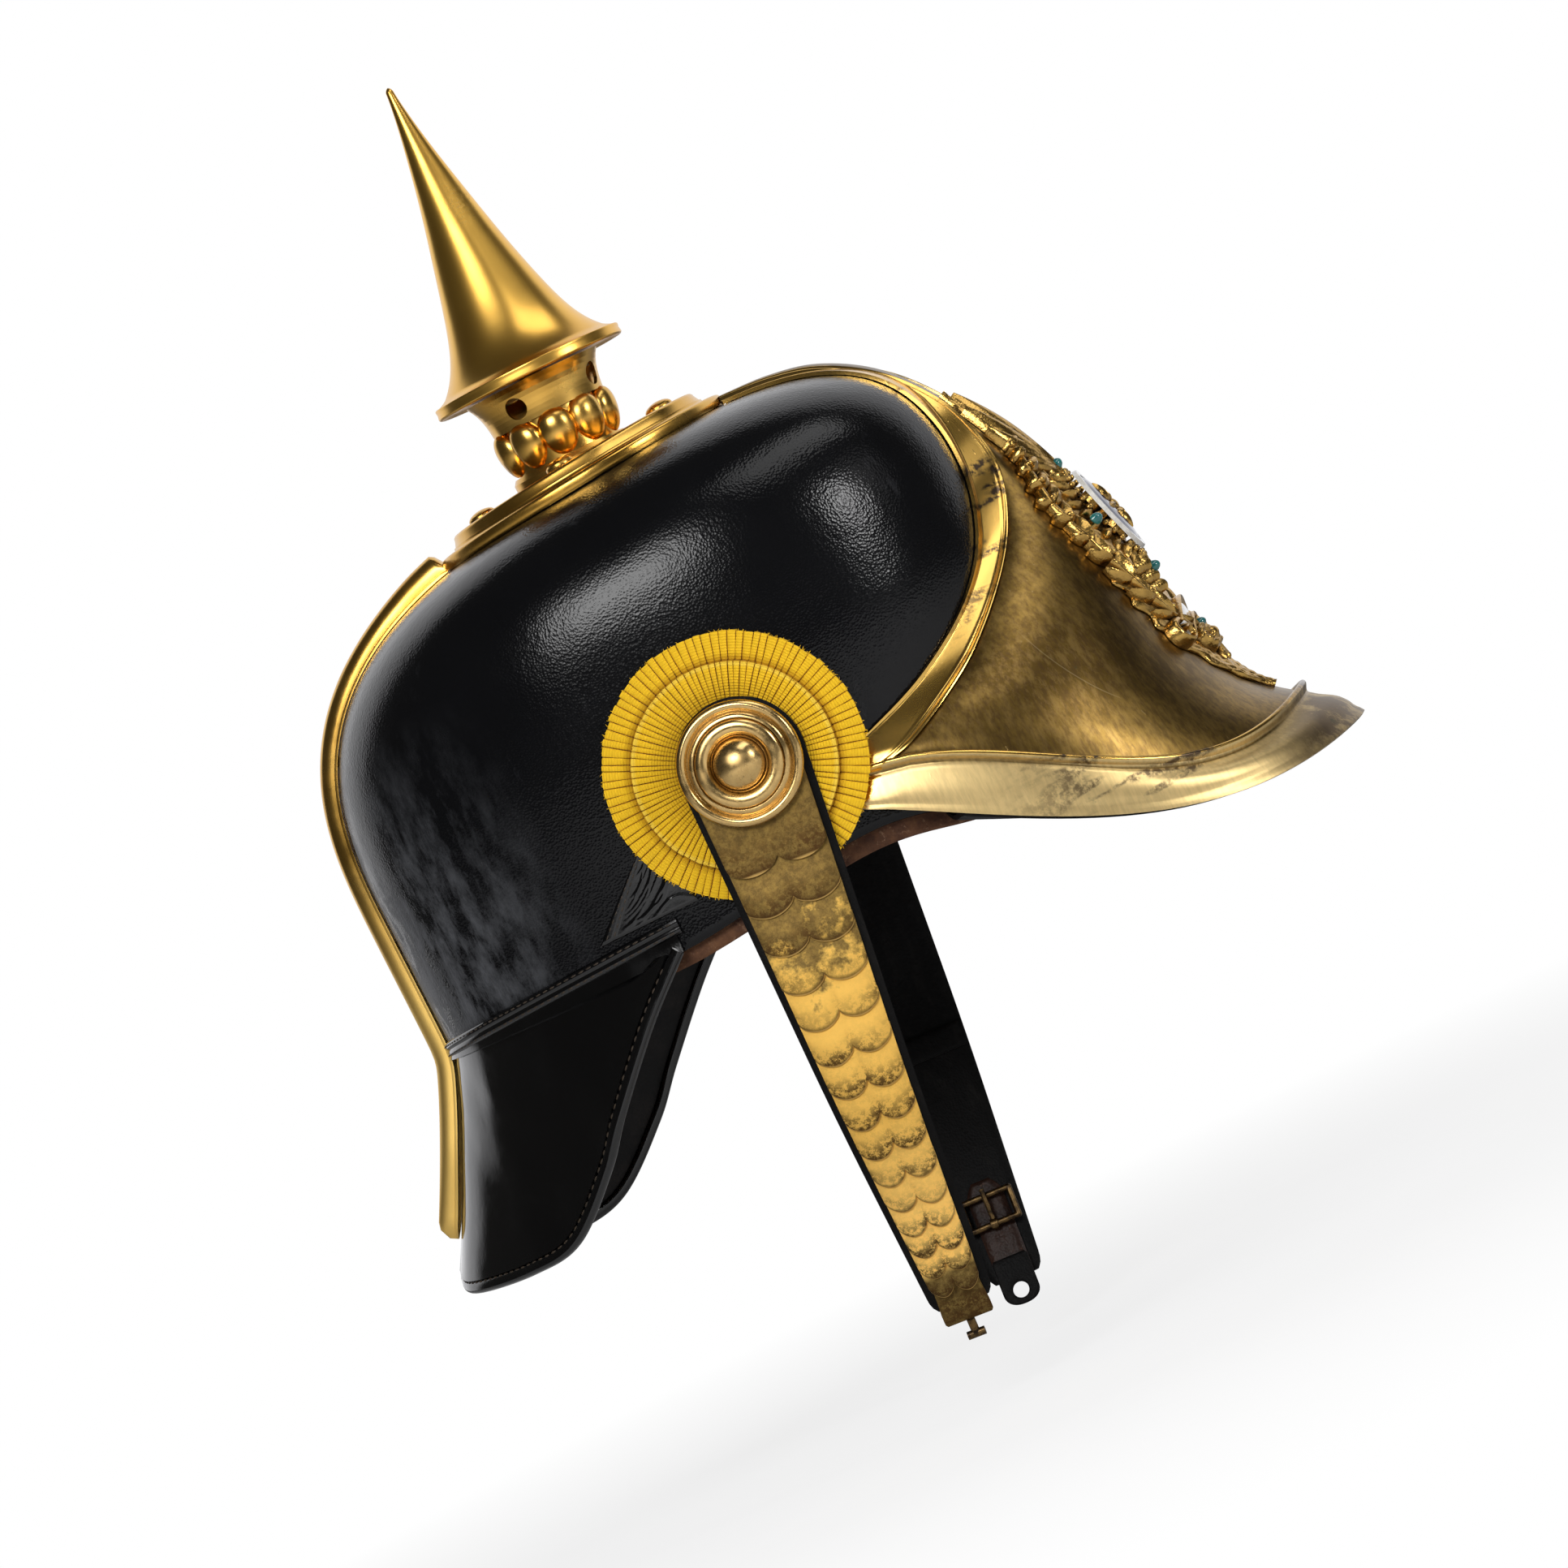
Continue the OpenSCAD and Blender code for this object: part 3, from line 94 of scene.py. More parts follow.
# Studio
# A pale floor under soft boxes. The walls are white behind the helmet and darker
# on the camera's side, which gives brass and patent leather their contrast.
def new_node(tree, kind, inputs=None, **settings):
    made = tree.nodes.new("ShaderNode" + kind)
    for key, value in settings.items():
        setattr(made, key, value)
    for key, value in (inputs or {}).items():
        if isinstance(value, Wire):
            value = value.socket
        if isinstance(value, bpy.types.NodeSocket):
            tree.links.new(value, made.inputs[key])
        else:
            made.inputs[key].default_value = value
    return made


class Wire:
    """A node's output. Sums, products and mixes of wires are new nodes in the same tree."""

    def __init__(self, made, output=0):
        self.tree = made.id_data
        self.socket = made.outputs[output]

    def node(self, kind, inputs, output=0, **settings):
        return Wire(new_node(self.tree, kind, inputs, **settings), output)

    def reckoned(self, operation, a, b=0.0, **settings):
        return self.node("Math", {0: a, 1: b}, operation=operation, **settings)

    def __add__(self, other):
        return self.reckoned("ADD", self, other)

    def __mul__(self, other):
        return self.reckoned("MULTIPLY", self, other)

    def __sub__(self, other):
        return self.reckoned("SUBTRACT", self, other)

    def __rsub__(self, other):
        return self.reckoned("SUBTRACT", other, self)

    def plus_held(self, other):
        """The sum, held between 0 and 1."""
        return self.reckoned("ADD", self, other, use_clamp=True)

    def higher(self, other):
        return self.reckoned("MAXIMUM", self, other)

    def sine(self):
        return self.reckoned("SINE", self)

    def ranged(self, low, high, to_low=0.0, to_high=1.0):
        """This value, with low to high spread over to_low to to_high and held there."""
        return self.node("MapRange", {0: self, 1: low, 2: high, 3: to_low, 4: to_high}, clamp=True)

    def blend(self, a, b):
        """The value a where this one is 0 and b where it is 1."""
        return self.node("Mix", {0: self, 2: a, 3: b})

    def mix(self, a, b):
        """The colour a where this value is 0 and b where it is 1."""
        a, b = (colour if isinstance(colour, Wire) else (*colour, 1) for colour in (a, b))
        return self.node("Mix", {0: self, 6: a, 7: b}, 2, data_type="RGBA")

    def vector(self, operation, other=(0, 0, 0), output=0):
        return self.node("VectorMath", {0: self, 1: other}, output, operation=operation)

    def axis(self, letter):
        return self.node("SeparateXYZ", {0: self}, letter)

    def stretched(self, scale, turn=(0, 0, 0)):
        return self.node("Mapping", {"Vector": self, "Scale": scale, "Rotation": turn})

    def noise(self, scale, detail, rough=0.55, bend=0.0):
        return self.node("TexNoise", {"Vector": self, "Scale": scale, "Detail": detail,
                                      "Roughness": rough, "Distortion": bend})

    def cells(self, scale, feature="F1"):
        return self.node("TexVoronoi", {"Vector": self, "Scale": scale}, feature=feature)

    def into(self, shader, name):
        self.tree.links.new(self.socket, shader.inputs[name])


WALL_BEHIND = (0.93, 0.93, 0.95)
WALL_IN_FRONT = (0.05, 0.048, 0.045)
world = bpy.data.worlds.new("studio_walls")
bpy.context.scene.world = world
world.use_nodes = True
walls = world.node_tree
walls.nodes.clear()
way_out = Wire(new_node(walls, "TexCoord"), "Generated")
wall_colour = way_out.axis("Y").ranged(0.45, 0.57).mix(WALL_IN_FRONT, WALL_BEHIND)
ray = new_node(walls, "LightPath")
dim_walls = new_node(walls, "Background", {"Color": wall_colour, "Strength": 0.5})
bright_walls = new_node(walls, "Background", {"Color": wall_colour, "Strength": 1.0})
white_walls = new_node(walls, "Background", {"Color": (1, 1, 1, 1), "Strength": 1.0})
for_metal = new_node(walls, "MixShader", {0: ray.outputs["Is Glossy Ray"], 1: dim_walls.outputs[0],
                                          2: bright_walls.outputs[0]})
for_camera = new_node(walls, "MixShader", {0: ray.outputs["Is Camera Ray"], 1: for_metal.outputs[0],
                                           2: white_walls.outputs[0]})
new_node(walls, "OutputWorld", {"Surface": for_camera.outputs[0]})

# Soft boxes: place in the picture's own axes (right, ahead, up), size, watts
SOFT_BOXES = {
    "key_box": ((-430, -1358, 510), (700, 420), 9.6),
    "key_glow": ((-460, -1400, 530), (900, 820), 3.4),
    "fill_box": ((969, -772, 895), (290, 330), 5.0),
    "fill_glow": ((1000, -400, 1060), (460, 420), 0.32),
    "top_box": ((200, -330, 1300), (1140, 440), 3.3),
}
BOX_AIM = Vector((0, 0, 50))
for box_name, (box_place, box_size, watts) in SOFT_BOXES.items():
    lamp = bpy.data.lights.new(box_name, "AREA")
    lamp.shape = "RECTANGLE"
    lamp.size = box_size[0] * MM
    lamp.size_y = box_size[1] * MM
    lamp.energy = watts
    lamp_object = bpy.data.objects.new(box_name, lamp)
    bpy.context.scene.collection.objects.link(lamp_object)
    place = tip @ Vector(box_place)
    facing = (tip @ BOX_AIM - place).to_track_quat("-Z", "Y")
    lamp_object.matrix_world = Matrix.LocRotScale(place * MM, facing, None)

FLOOR_UNDER = 0.012
FLOOR_HALF = 2.4
floor_mesh = bpy.data.meshes.new("floor")
floor_z = cad_low.z - FLOOR_UNDER
floor_mesh.from_pydata([(x * FLOOR_HALF, y * FLOOR_HALF, floor_z) for x, y in
                        ((-1, -1), (1, -1), (1, 1), (-1, 1))], [], [(0, 1, 2, 3)])
floor = bpy.data.objects.new("floor", floor_mesh)
bpy.context.scene.collection.objects.link(floor)
paper = bpy.data.materials.new("floor_paper")
paper.use_nodes = True
paper_tree = paper.node_tree
paper_tree.nodes.clear()
paper_place = Wire(new_node(paper_tree, "TexCoord"), "Object")
paper_grain = paper_place.node("TexNoise", {"Vector": paper_place, "Scale": 40.0})
paper_colour = paper_grain.mix((0.87, 0.87, 0.875), (0.93, 0.93, 0.935))
paper_lit = new_node(paper_tree, "BsdfDiffuse", {"Color": paper_colour})
paper_white = new_node(paper_tree, "Emission", {"Color": (1, 1, 1, 1), "Strength": 1.0})
paper_far = paper_place.vector("LENGTH", output="Value").ranged(0.25, 0.6, 0.8, 1.0)
whiter = Wire(new_node(paper_tree, "LightPath"), "Is Camera Ray") * paper_far
paper_mix = new_node(paper_tree, "MixShader", {0: whiter, 1: paper_lit.outputs[0],
                                               2: paper_white.outputs[0]})
new_node(paper_tree, "OutputMaterial", {"Surface": paper_mix.outputs[0]})
floor_mesh.materials.append(paper)

# Leather skull
# One blocked shell of thick blackened cowhide, harder and glossier at the top, greyed
# where hands and the brass have rubbed it, with a painted grey sheen low at the rear.
# Its edge lifts over the ears.
CROWN_X = 14
DOME_FRONT, DOME_REAR, DOME_HALF_W = 112, 114.5, 88
RIM_FRONT, RIM_REAR, RIM_HALF_W = 92, 114, 84
WIDEST_Z, DOME_H, REAR_TURN_Z = 70, 70, 47
CROWN_SLOPE = 0.08
LEATHER_T = 2.4
AIR_HOLE_R = 9
RIM_ARCH, ARCH_AT, ARCH_HALF = 7.4, 70, 34.6
PLAN_FRONT_N, PLAN_REAR_N = 2.4, 2.15
SIDE_FRONT_N, SIDE_REAR_N, SIDE_WIDTH_N = 3.2, 3.05, 3.8
TOP_Z = WIDEST_Z + DOME_H
dome_centre = np.array([CROWN_X, 0, WIDEST_Z * 0.85])


def blend_of(a, b, f):
    return a * (1 - f) + b * f


def soft(v):
    held = np.clip(v, 0, 1)
    return held * held * (3 - 2 * held)


def hump(v, middle, width):
    return np.exp(-((v - middle) / width) ** 2)


def fall(h, n):
    return np.maximum(0, 1 - h ** n) ** (1 / n)


def powered(v, n):
    """The size of v to the power n, with the sign of v."""
    return np.sign(v) * np.abs(v) ** n


def lengths(v):
    return np.sqrt((v * v).sum(-1, keepdims=True))


def unit(v):
    v = np.asarray(v, float)
    return v / np.maximum(lengths(v), 1e-9)


def skull_radii(zeta, off):
    """Front, rear and side radius of the skull at height zeta, moved out by off."""
    h = np.clip((zeta - WIDEST_Z) / DOME_H, 0, 1)
    h_rear = np.clip((zeta - REAR_TURN_Z) / (TOP_Z - REAR_TURN_Z), 0, 1)
    low = soft(zeta / WIDEST_Z)
    grow = off * (1 - h ** 8)
    return (blend_of(RIM_FRONT, DOME_FRONT, low) * fall(h, SIDE_FRONT_N) + grow,
            blend_of(RIM_REAR, DOME_REAR, low) * fall(h_rear, SIDE_REAR_N) + grow,
            blend_of(RIM_HALF_W, DOME_HALF_W, low) * fall(h, SIDE_WIDTH_N) + grow)


def skull_at(phi, zeta, off):
    """The skull's surface at phi degrees from the front, height zeta, moved out by off."""
    phi, zeta, off = np.broadcast_arrays(np.asarray(phi, float), np.asarray(zeta, float),
                                         np.asarray(off, float))
    front, rear, side = skull_radii(zeta, off)
    c, s = np.cos(np.radians(phi)), np.sin(np.radians(phi))
    m = np.where(c >= 0, PLAN_FRONT_N, PLAN_REAR_N)
    x = CROWN_X + np.where(c >= 0, front, rear) * powered(c, 2 / m)
    y = side * powered(s, 2 / m)
    h = np.clip((zeta - WIDEST_Z) / DOME_H, 0, 1)
    z = zeta + CROWN_SLOPE * (x - CROWN_X) * soft(zeta / TOP_Z) + off * h ** 3
    return np.stack([x, y, z], -1)


def rim_lift(phi):
    away = np.abs(np.abs((np.asarray(phi, float) + 180) % 360 - 180) - ARCH_AT)
    return np.where(away < ARCH_HALF, RIM_ARCH * np.cos(np.radians(90 * away / ARCH_HALF)) ** 2, 0.0)


def outside(p, off):
    """Under zero inside the skull moved out by off, over zero outside it."""
    x, y, z = p[..., 0], p[..., 1], p[..., 2]
    zeta = z
    for _ in range(6):
        h = np.clip((zeta - WIDEST_Z) / DOME_H, 0, 1)
        zeta = z - CROWN_SLOPE * (x - CROWN_X) * soft(zeta / TOP_Z) - off * h ** 3
    front, rear, side = skull_radii(zeta, off)
    a = np.maximum(np.where(x > CROWN_X, front, rear), 0.01)
    m = np.where(x > CROWN_X, PLAN_FRONT_N, PLAN_REAR_N)
    value = (np.abs(x - CROWN_X) / a) ** m + (np.abs(y) / np.maximum(side, 0.01)) ** m - 1
    return np.where(zeta >= TOP_Z, 1.0, value)


def seat_at(p, off):
    """The points p moved along their rays from the dome's centre onto the skull."""
    low, high = np.full(p.shape[:-1], 0.6), np.full(p.shape[:-1], 1.6)
    for _ in range(20):
        mid = (low + high) / 2
        inner = outside(dome_centre + (p - dome_centre) * mid[..., None], off) < 0
        low, high = np.where(inner, mid, low), np.where(inner, high, mid)
    return dome_centre + (p - dome_centre) * mid[..., None]


def clear_of(p, off):
    return np.where((outside(p, off) < 0)[..., None], seat_at(p, off), p)


def grid_faces(rows, cols, loop_rows=False, loop_cols=False):
    faces = []
    for i in range(rows if loop_rows else rows - 1):
        for j in range(cols if loop_cols else cols - 1):
            k, l = (i + 1) % rows, (j + 1) % cols
            faces.append([a * cols + b for a, b in ((i, j), (i, l), (k, l), (k, j))])
    return faces


def bar_shape(rings):
    """A bar through a stack of rings, closed at both ends."""
    rows, cols = rings.shape[:2]
    ends = [list(range(cols))[::-1], list(range((rows - 1) * cols, rows * cols))]
    return rings.reshape(-1, 3), grid_faces(rows, cols, loop_cols=True) + ends


def sheet_shape(top, under, loop_cols=False):
    """A closed sheet between two grids of points."""
    rows, cols = top.shape[:2]
    n = rows * cols
    faces = grid_faces(rows, cols, loop_cols=loop_cols)
    faces += [[v + n for v in face[::-1]] for face in grid_faces(rows, cols, loop_cols=loop_cols)]
    for i in (0, rows - 1):
        for j in range(cols if loop_cols else cols - 1):
            a, b = i * cols + j, i * cols + (j + 1) % cols
            faces.append([a, a + n, b + n, b] if i == 0 else [a, b, b + n, a + n])
    if not loop_cols:
        for j in (0, cols - 1):
            for i in range(rows - 1):
                a, b = i * cols + j, (i + 1) * cols + j
                faces.append([a, b, b + n, a + n] if j == 0 else [a, a + n, b + n, b])
    return np.concatenate([top.reshape(-1, 3), under.reshape(-1, 3)]), faces


def joined(shapes):
    """Several shapes, each points and faces, as one."""
    points, faces, start = [], [], 0
    for part_points, part_faces in shapes:
        points.append(np.asarray(part_points, float).reshape(-1, 3))
        faces += [[v + start for v in face] for face in part_faces]
        start += len(points[-1])
    return np.concatenate(points), faces


def make_piece(name, shape, material, body, slot, stands_for=(), sharp=38):
    """A mesh piece from points in millimetres, shaded smooth but for its sharp edges."""
    points, faces = shape
    mesh = bpy.data.meshes.new(name)
    mesh.from_pydata([tuple(p) for p in np.asarray(points).reshape(-1, 3) * MM], [], faces)
    mesh.validate()
    tidy = bmesh.new()
    tidy.from_mesh(mesh)
    bmesh.ops.remove_doubles(tidy, verts=tidy.verts, dist=1e-6)
    bmesh.ops.recalc_face_normals(tidy, faces=tidy.faces)
    tidy.to_mesh(mesh)
    tidy.free()
    mesh.shade_smooth()
    mesh.set_sharp_from_angle(angle=math.radians(sharp))
    mesh.materials.append(material)
    piece = bpy.data.objects.new(name, mesh)
    bpy.context.scene.collection.objects.link(piece)
    if body:
        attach(piece, body)
    if stands_for:
        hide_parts(*stands_for)
    return piece


def marked(shape, marks, *details, sharp=60):
    """A piece whose points carry a value between 0 and 1 for its material: how polished it is,
    how close to an edge, and painted shade in a groove. The marks of one face of a sheet also serve for
    the other."""
    points = np.asarray(shape[0], float).reshape(-1, 3)
    marks = np.tile(np.ravel(marks), len(points) // np.size(marks))
    piece = make_piece(details[0], shape, *details[1:], sharp=sharp)
    nearest = kdtree.KDTree(len(points))
    for k, point in enumerate(points * MM):
        nearest.insert(point, k)
    nearest.balance()
    values = [float(marks[nearest.find(v.co)[1]]) for v in piece.data.vertices]
    piece.data.attributes.new("wear", "FLOAT", "POINT").data.foreach_set("value", values)
    return piece


def finish_nodes(material, *names):
    """Gives the material to solids that are seen as they are."""
    for name in names:
        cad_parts[name].data.materials.clear()
        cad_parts[name].data.materials.append(material)


def new_finish(name, colour, metal=0.0, rough=0.5, **sockets):
    """A material with one Principled shader; sockets are set on the shader itself."""
    made = bpy.data.materials.new(name)
    made.use_nodes = True
    shader = made.node_tree.nodes["Principled BSDF"]
    shader.inputs["Base Color"].default_value = (*colour, 1)
    shader.inputs["Metallic"].default_value = metal
    shader.inputs["Roughness"].default_value = rough
    for key, value in sockets.items():
        shader.inputs[key.replace("_", " ")].default_value = value
    return made, shader, Wire(new_node(made.node_tree, "TexCoord"), "Object")


def openness(shader, distance, only_local=False):
    """How open a spot is, from 0 in a crevice to 1."""
    return Wire(new_node(shader.id_data, "AmbientOcclusion", {"Distance": distance}, samples=8,
                         only_local=only_local), "AO")


def wear_and_painted_light_of(shader):
    """The value that marked() stores in a piece's points, painted light as well as how polished a spot
    is.
    """
    return Wire(new_node(shader.id_data, "Attribute", attribute_name="wear"), "Fac")


def bumped(shader, *layers):
    """Layers of height, strength and depth in metres, one over the other."""
    under = {}
    for height, strength, depth in layers:
        inputs = {"Height": height, "Strength": strength, "Distance": depth}
        normal = height.node("Bump", {**inputs, **under})
        under = {"Normal": normal}
    normal.into(shader, "Normal")


BLACKED = (0.0024, 0.0025, 0.0031)
RUBBED_AND_SHEEN_GREY = (0.09, 0.093, 0.102)
skull_leather, shader, place = new_finish("skull_leather", BLACKED, rough=0.3, Specular_IOR_Level=0.26)
# Grey streaks low at the rear: rubbed leather and a painted grey sheen.
rear = place.axis("X").ranged(-0.035, -0.088)
low = place.axis("Z").ranged(0.1, 0.035) * place.axis("Z").ranged(-0.002, 0.012)
low = low * 1.3
streaks = place.stretched((1.0, 1.0, 0.45)).noise(120.0, 6.0, 0.7).ranged(0.42, 0.66)
rear_wear_and_sheen = rear * low * streaks
scuffs = place.stretched((1.0, 1.0, 0.3), (0, 0.5, 0)).noise(55.0, 8.0, 0.72).ranged(0.6, 0.72)
scuff_wear = scuffs * 0.18
wear = rear_wear_and_sheen.higher(scuff_wear)
haze = place.noise(24.0, 3.0) * 0.035
all_wear_and_sheen = wear.plus_held(haze)
all_wear_and_sheen.mix(BLACKED, RUBBED_AND_SHEEN_GREY).into(shader, "Base Color")
all_wear_and_sheen.ranged(0.0, 0.6, 0.15, 0.42).into(shader, "Roughness")
bumped(shader, (place.noise(30.0, 3.0), 0.4, 0.001), (place.cells(1250.0), 0.3, 0.0002),
       (place.noise(420.0, 4.0), 0.14, 0.0003))

SKULL_COLS = 176
skull_phi = np.arange(SKULL_COLS) * 360 / SKULL_COLS
low_zetas = np.linspace(0, WIDEST_Z, 27)[:-1]
top_ring_h = (1 - (AIR_HOLE_R / DOME_HALF_W) ** SIDE_WIDTH_N) ** (1 / SIDE_WIDTH_N)
top_turn = math.asin(top_ring_h ** 1.5)
top_zetas = WIDEST_Z + DOME_H * np.sin(top_turn * np.linspace(0, 1, 40)) ** (2 / 3)
skull_zetas = np.concatenate([low_zetas, top_zetas])


def skull_rows(off):
    """Rows of the skull from its edge to the crown; the edge row follows the lift."""
    lift = rim_lift(skull_phi)[None, :]
    z = skull_zetas[:, None]
    zeta = np.where(z < 45, lift * (1 - np.clip(z, 0, 45) / 45) + z, z)
    return skull_at(skull_phi[None, :], zeta, off)


def skull_edge(a):
    """A row of the skull's rounded edge, a degrees round from its outer face."""
    half = LEATHER_T / 2
    edge = skull_at(skull_phi, rim_lift(skull_phi), -half + half * math.cos(math.radians(a)))
    return edge - np.array([0, 0, 0.35 * math.sin(math.radians(a))])


skull_loops = np.concatenate([skull_rows(0.0)[::-1], [skull_edge(a) for a in (45, 90, 135)],
                              skull_rows(-LEATHER_T)])
make_piece("leather_skull", (skull_loops, grid_faces(len(skull_loops), SKULL_COLS, True, True)),
           skull_leather, "helmet", "skull_leather", ["skull_shell"], sharp=60)

# Front plate and peak
# One sheet of pressed brass. A moulding frames the leather windows at the sides, a
# bead runs along the root of the peak's band, and old polishing has left fine scratches.
# A dark line of painted shade runs in the groove below the bead.
BRASS_T = 1.2
LEATHER_GAP = 0.35
PLATE_OFF = LEATHER_GAP + BRASS_T
PEAK_REACH, PEAK_TIP_Z, PEAK_HALF_W = 198, -28.5, 87
MOULDING_H = 3.1
PLATE_MIDDLE = np.array([
    [64.6, 0, 145.6], [80, 0, 144.6], [95, 0, 141], [110, 0, 132], [121.5, 0, 119],
    [129, 0, 105], [137.5, 0, 89], [146.5, 0, 72], [153, 0, 52], [157, 0, 33],
    [162, 0, 13], [171, 0, -4], [181.5, 0, -13.5],
    [PEAK_REACH - 13.5, 0, PEAK_TIP_Z + 15.5], [PEAK_REACH - 11.5, 0, PEAK_TIP_Z + 11.5],
    [PEAK_REACH - 5, 0, PEAK_TIP_Z + 7], [PEAK_REACH, 0, PEAK_TIP_Z]])
MOULDING_FOOT = np.array([
    [64.6, -4.5, 145.2], [80, -6, 143.8], [95, -9, 139.6], [110, -13, 129.5],
    [121, -16.5, 116], [127.5, -19, 103.5], [130.5, -22, 88.5], [127, -33, 73.5],
    [118.5, -47.5, 59], [104.5, -62, 44], [89.5, -74, 33.5], [77, -80.5, 26.5],
    [69, -83, 23.5], [67, 1 - PEAK_HALF_W, 23.5], [65, 1 - PEAK_HALF_W, 20],
    [59, -PEAK_HALF_W, 16], [53, -PEAK_HALF_W, 15]])
WINDOW_EDGE = np.array([
    [64.6, -8, 142.6], [80, -12, 140], [94, -17, 134.5], [108, -22, 124.5],
    [117, -26, 111.5], [121.5, -29, 98.5], [121, -34, 84.5], [115, -46, 67.5],
    [103.5, -57.5, 54.5], [85.5, -70, 42.5], [67, -78.5, 35], [56, -82.5, 31],
    [49, -84.5, 29], [48, -85, 26.5], [47.5, -85, 24.5], [46, -85.5, 22], [45, -85.5, 19.5]])
ROW_DIP = np.array([50] * 8 + [52, 60, 75, 95, 118, 118, 118, 115, 113], float)[:, None]
ROW_LATE = np.array([1] * 10 + [1.05, 1.15, 1.3, 1.3, 1.3, 1.15, 1], float)[:, None]
ROW_MOULDING = np.array([0.15, 0.25, 0.4, 0.7] + [1] * 7 + [0.8, 0.35, 0.1, 0, 0, 0], float)[:, None]
PLAN_PEAK_N = 2.2
LAST_ROW = len(PLATE_MIDDLE) - 1


def along(points, u):
    """A smooth curve through the points, at u from 0 to 1."""
    points = np.asarray(points, float)
    n = len(points) - 1
    f = np.clip(np.atleast_1d(u), 0, 1) * n
    i = np.minimum(f.astype(int), n - 1)
    t = (f - i)[:, None]
    a, b = points[np.maximum(i - 1, 0)], points[i]
    c, d = points[i + 1], points[np.minimum(i + 2, n)]
    return 0.5 * (2 * b + (c - a) * t + (2 * a - 5 * b + 4 * c - d) * t * t
                  + (3 * b - a - 3 * c + d) * t ** 3)


def at_row(points, i):
    return along(points, np.asarray(i, float) / (len(points) - 1))


def field_at(i, a):
    """The plate's field at rows i, turned a degrees from the middle line to the moulding."""
    i, a = np.broadcast_arrays(np.asarray(i, float), np.asarray(a, float))
    shape = i.shape
    i, a = i.ravel(), np.radians(a.ravel())
    middle, foot = at_row(PLATE_MIDDLE, i), at_row(MOULDING_FOOT, i)
    k, late = np.radians(at_row(ROW_DIP, i))[:, 0], at_row(ROW_LATE, i)[:, 0]
    c, s = np.clip(np.cos(a), 0, 1), np.sin(a)
    dip = np.sin(k * c ** late) / np.sin(k)
    out = c ** (2 / PLAN_PEAK_N)
    points = np.stack([blend_of(foot[:, 0], middle[:, 0], out), foot[:, 1] * s ** (2 / PLAN_PEAK_N),
                       blend_of(foot[:, 2], middle[:, 2], dip)], -1)
    return points.reshape(*shape, 3)


def moulding_rise(t):
    """Height of the moulding over its foot, t from the field to the window's edge."""
    ridge = soft(t / 0.1) * (1 - 0.2 * soft((t - 0.12) / 0.07))
    thread = 0.1 * hump(t, 0.235, 0.03)
    band = 1 - 0.92 * np.clip((t - 0.26) / 0.72, 0, 1) ** 1.1 - 0.08 * soft((t - 0.96) / 0.04)
    return ridge * np.maximum(0, band) + thread


def both_sides(half):
    """Rows on the right side with their mirror image on the left, joined in the middle."""
    return np.concatenate([half[:, :0:-1], half * np.array([1, -1, 1])], axis=1)


def normals_of(grid):
    return unit(np.cross(np.gradient(grid, axis=0), np.gradient(grid, axis=1)))


BAND_BEAD = 1.3
plate_rows = np.concatenate([np.arange(0, 11.5, 0.125), np.arange(11.5, 14.2, 0.05),
                             np.arange(14.25, LAST_ROW + 0.1, 0.125)])
field_turns = np.linspace(0, 90, 37)
moulding_t = np.linspace(0, 1, 41)[1:]
plate_field = field_at(plate_rows[:, None], field_turns[None, :])
foot_row, edge_row = at_row(MOULDING_FOOT, plate_rows), at_row(WINDOW_EDGE, plate_rows)
moulding_out = unit(foot_row - dome_centre)
rises = MOULDING_H * at_row(ROW_MOULDING, plate_rows) * moulding_rise(moulding_t)[None, :]
plate_moulding = (blend_of(foot_row[:, None], edge_row[:, None], moulding_t[None, :, None])
                  + moulding_out[:, None] * rises[..., None])
plate_half = clear_of(np.concatenate([plate_field, plate_moulding], axis=1), PLATE_OFF)
plate_half[:, -1] = seat_at(edge_row, PLATE_OFF)
groove = BAND_BEAD * (0.55 * hump(plate_rows, 12.3, 0.22) - hump(plate_rows, 13.0, 0.3)
                      + 0.5 * hump(plate_rows, 13.65, 0.22) + 0.25 * hump(plate_rows, 15.55, 0.13))
plate_half[0, :, 0] -= 1.0
plate_top = both_sides(plate_half)
plate_normals = normals_of(plate_top)
if plate_normals[60, plate_top.shape[1] // 2][0] < 0:
    plate_normals = -plate_normals
plate_top = plate_top - plate_normals * groove[:, None, None]
plate_under = plate_top - plate_normals * BRASS_T
half_polish = np.concatenate([np.zeros(len(field_turns)), soft(moulding_t / 0.12)])
side_polish = np.concatenate([half_polish[:0:-1], half_polish])
peak_polish = np.maximum(0.75 * soft((plate_rows - 12.4) / 0.2), hump(plate_rows, 13.0, 0.3))
plate_polish_and_groove_shade = np.maximum(side_polish, peak_polish[:, None])
# Painted shade: a dark line in the groove below the bead, where the polished value drops.
plate_polish_and_groove_shade *= (1 - 0.9 * hump(plate_rows, 13.65, 0.11))[:, None]
PLATE_TARNISHED = (0.085, 0.05, 0.012)
PLATE_DULL = (0.27, 0.168, 0.044)
PLATE_BRIGHT = (0.84, 0.52, 0.13)
PEAK_BAND = (0.97, 0.73, 0.34)
PLATE_BROWN = (0.09, 0.052, 0.024)
PLATE_GREEN = (0.03, 0.075, 0.045)
plate_brass, shader, place = new_finish("plate_brass", PLATE_BRIGHT, 1.0, 0.3)
clouds = place.noise(22.0, 6.0, 0.62, 0.8)
brushed = place.stretched((1.0, 1.0, 0.16), (0.35, 0.7, 0.2)).noise(900.0, 3.0, 0.6)
fine_spots = place.noise(420.0, 6.0, 0.75).ranged(0.6, 0.74)
brown_spots = clouds.ranged(0.5, 0.64) * fine_spots
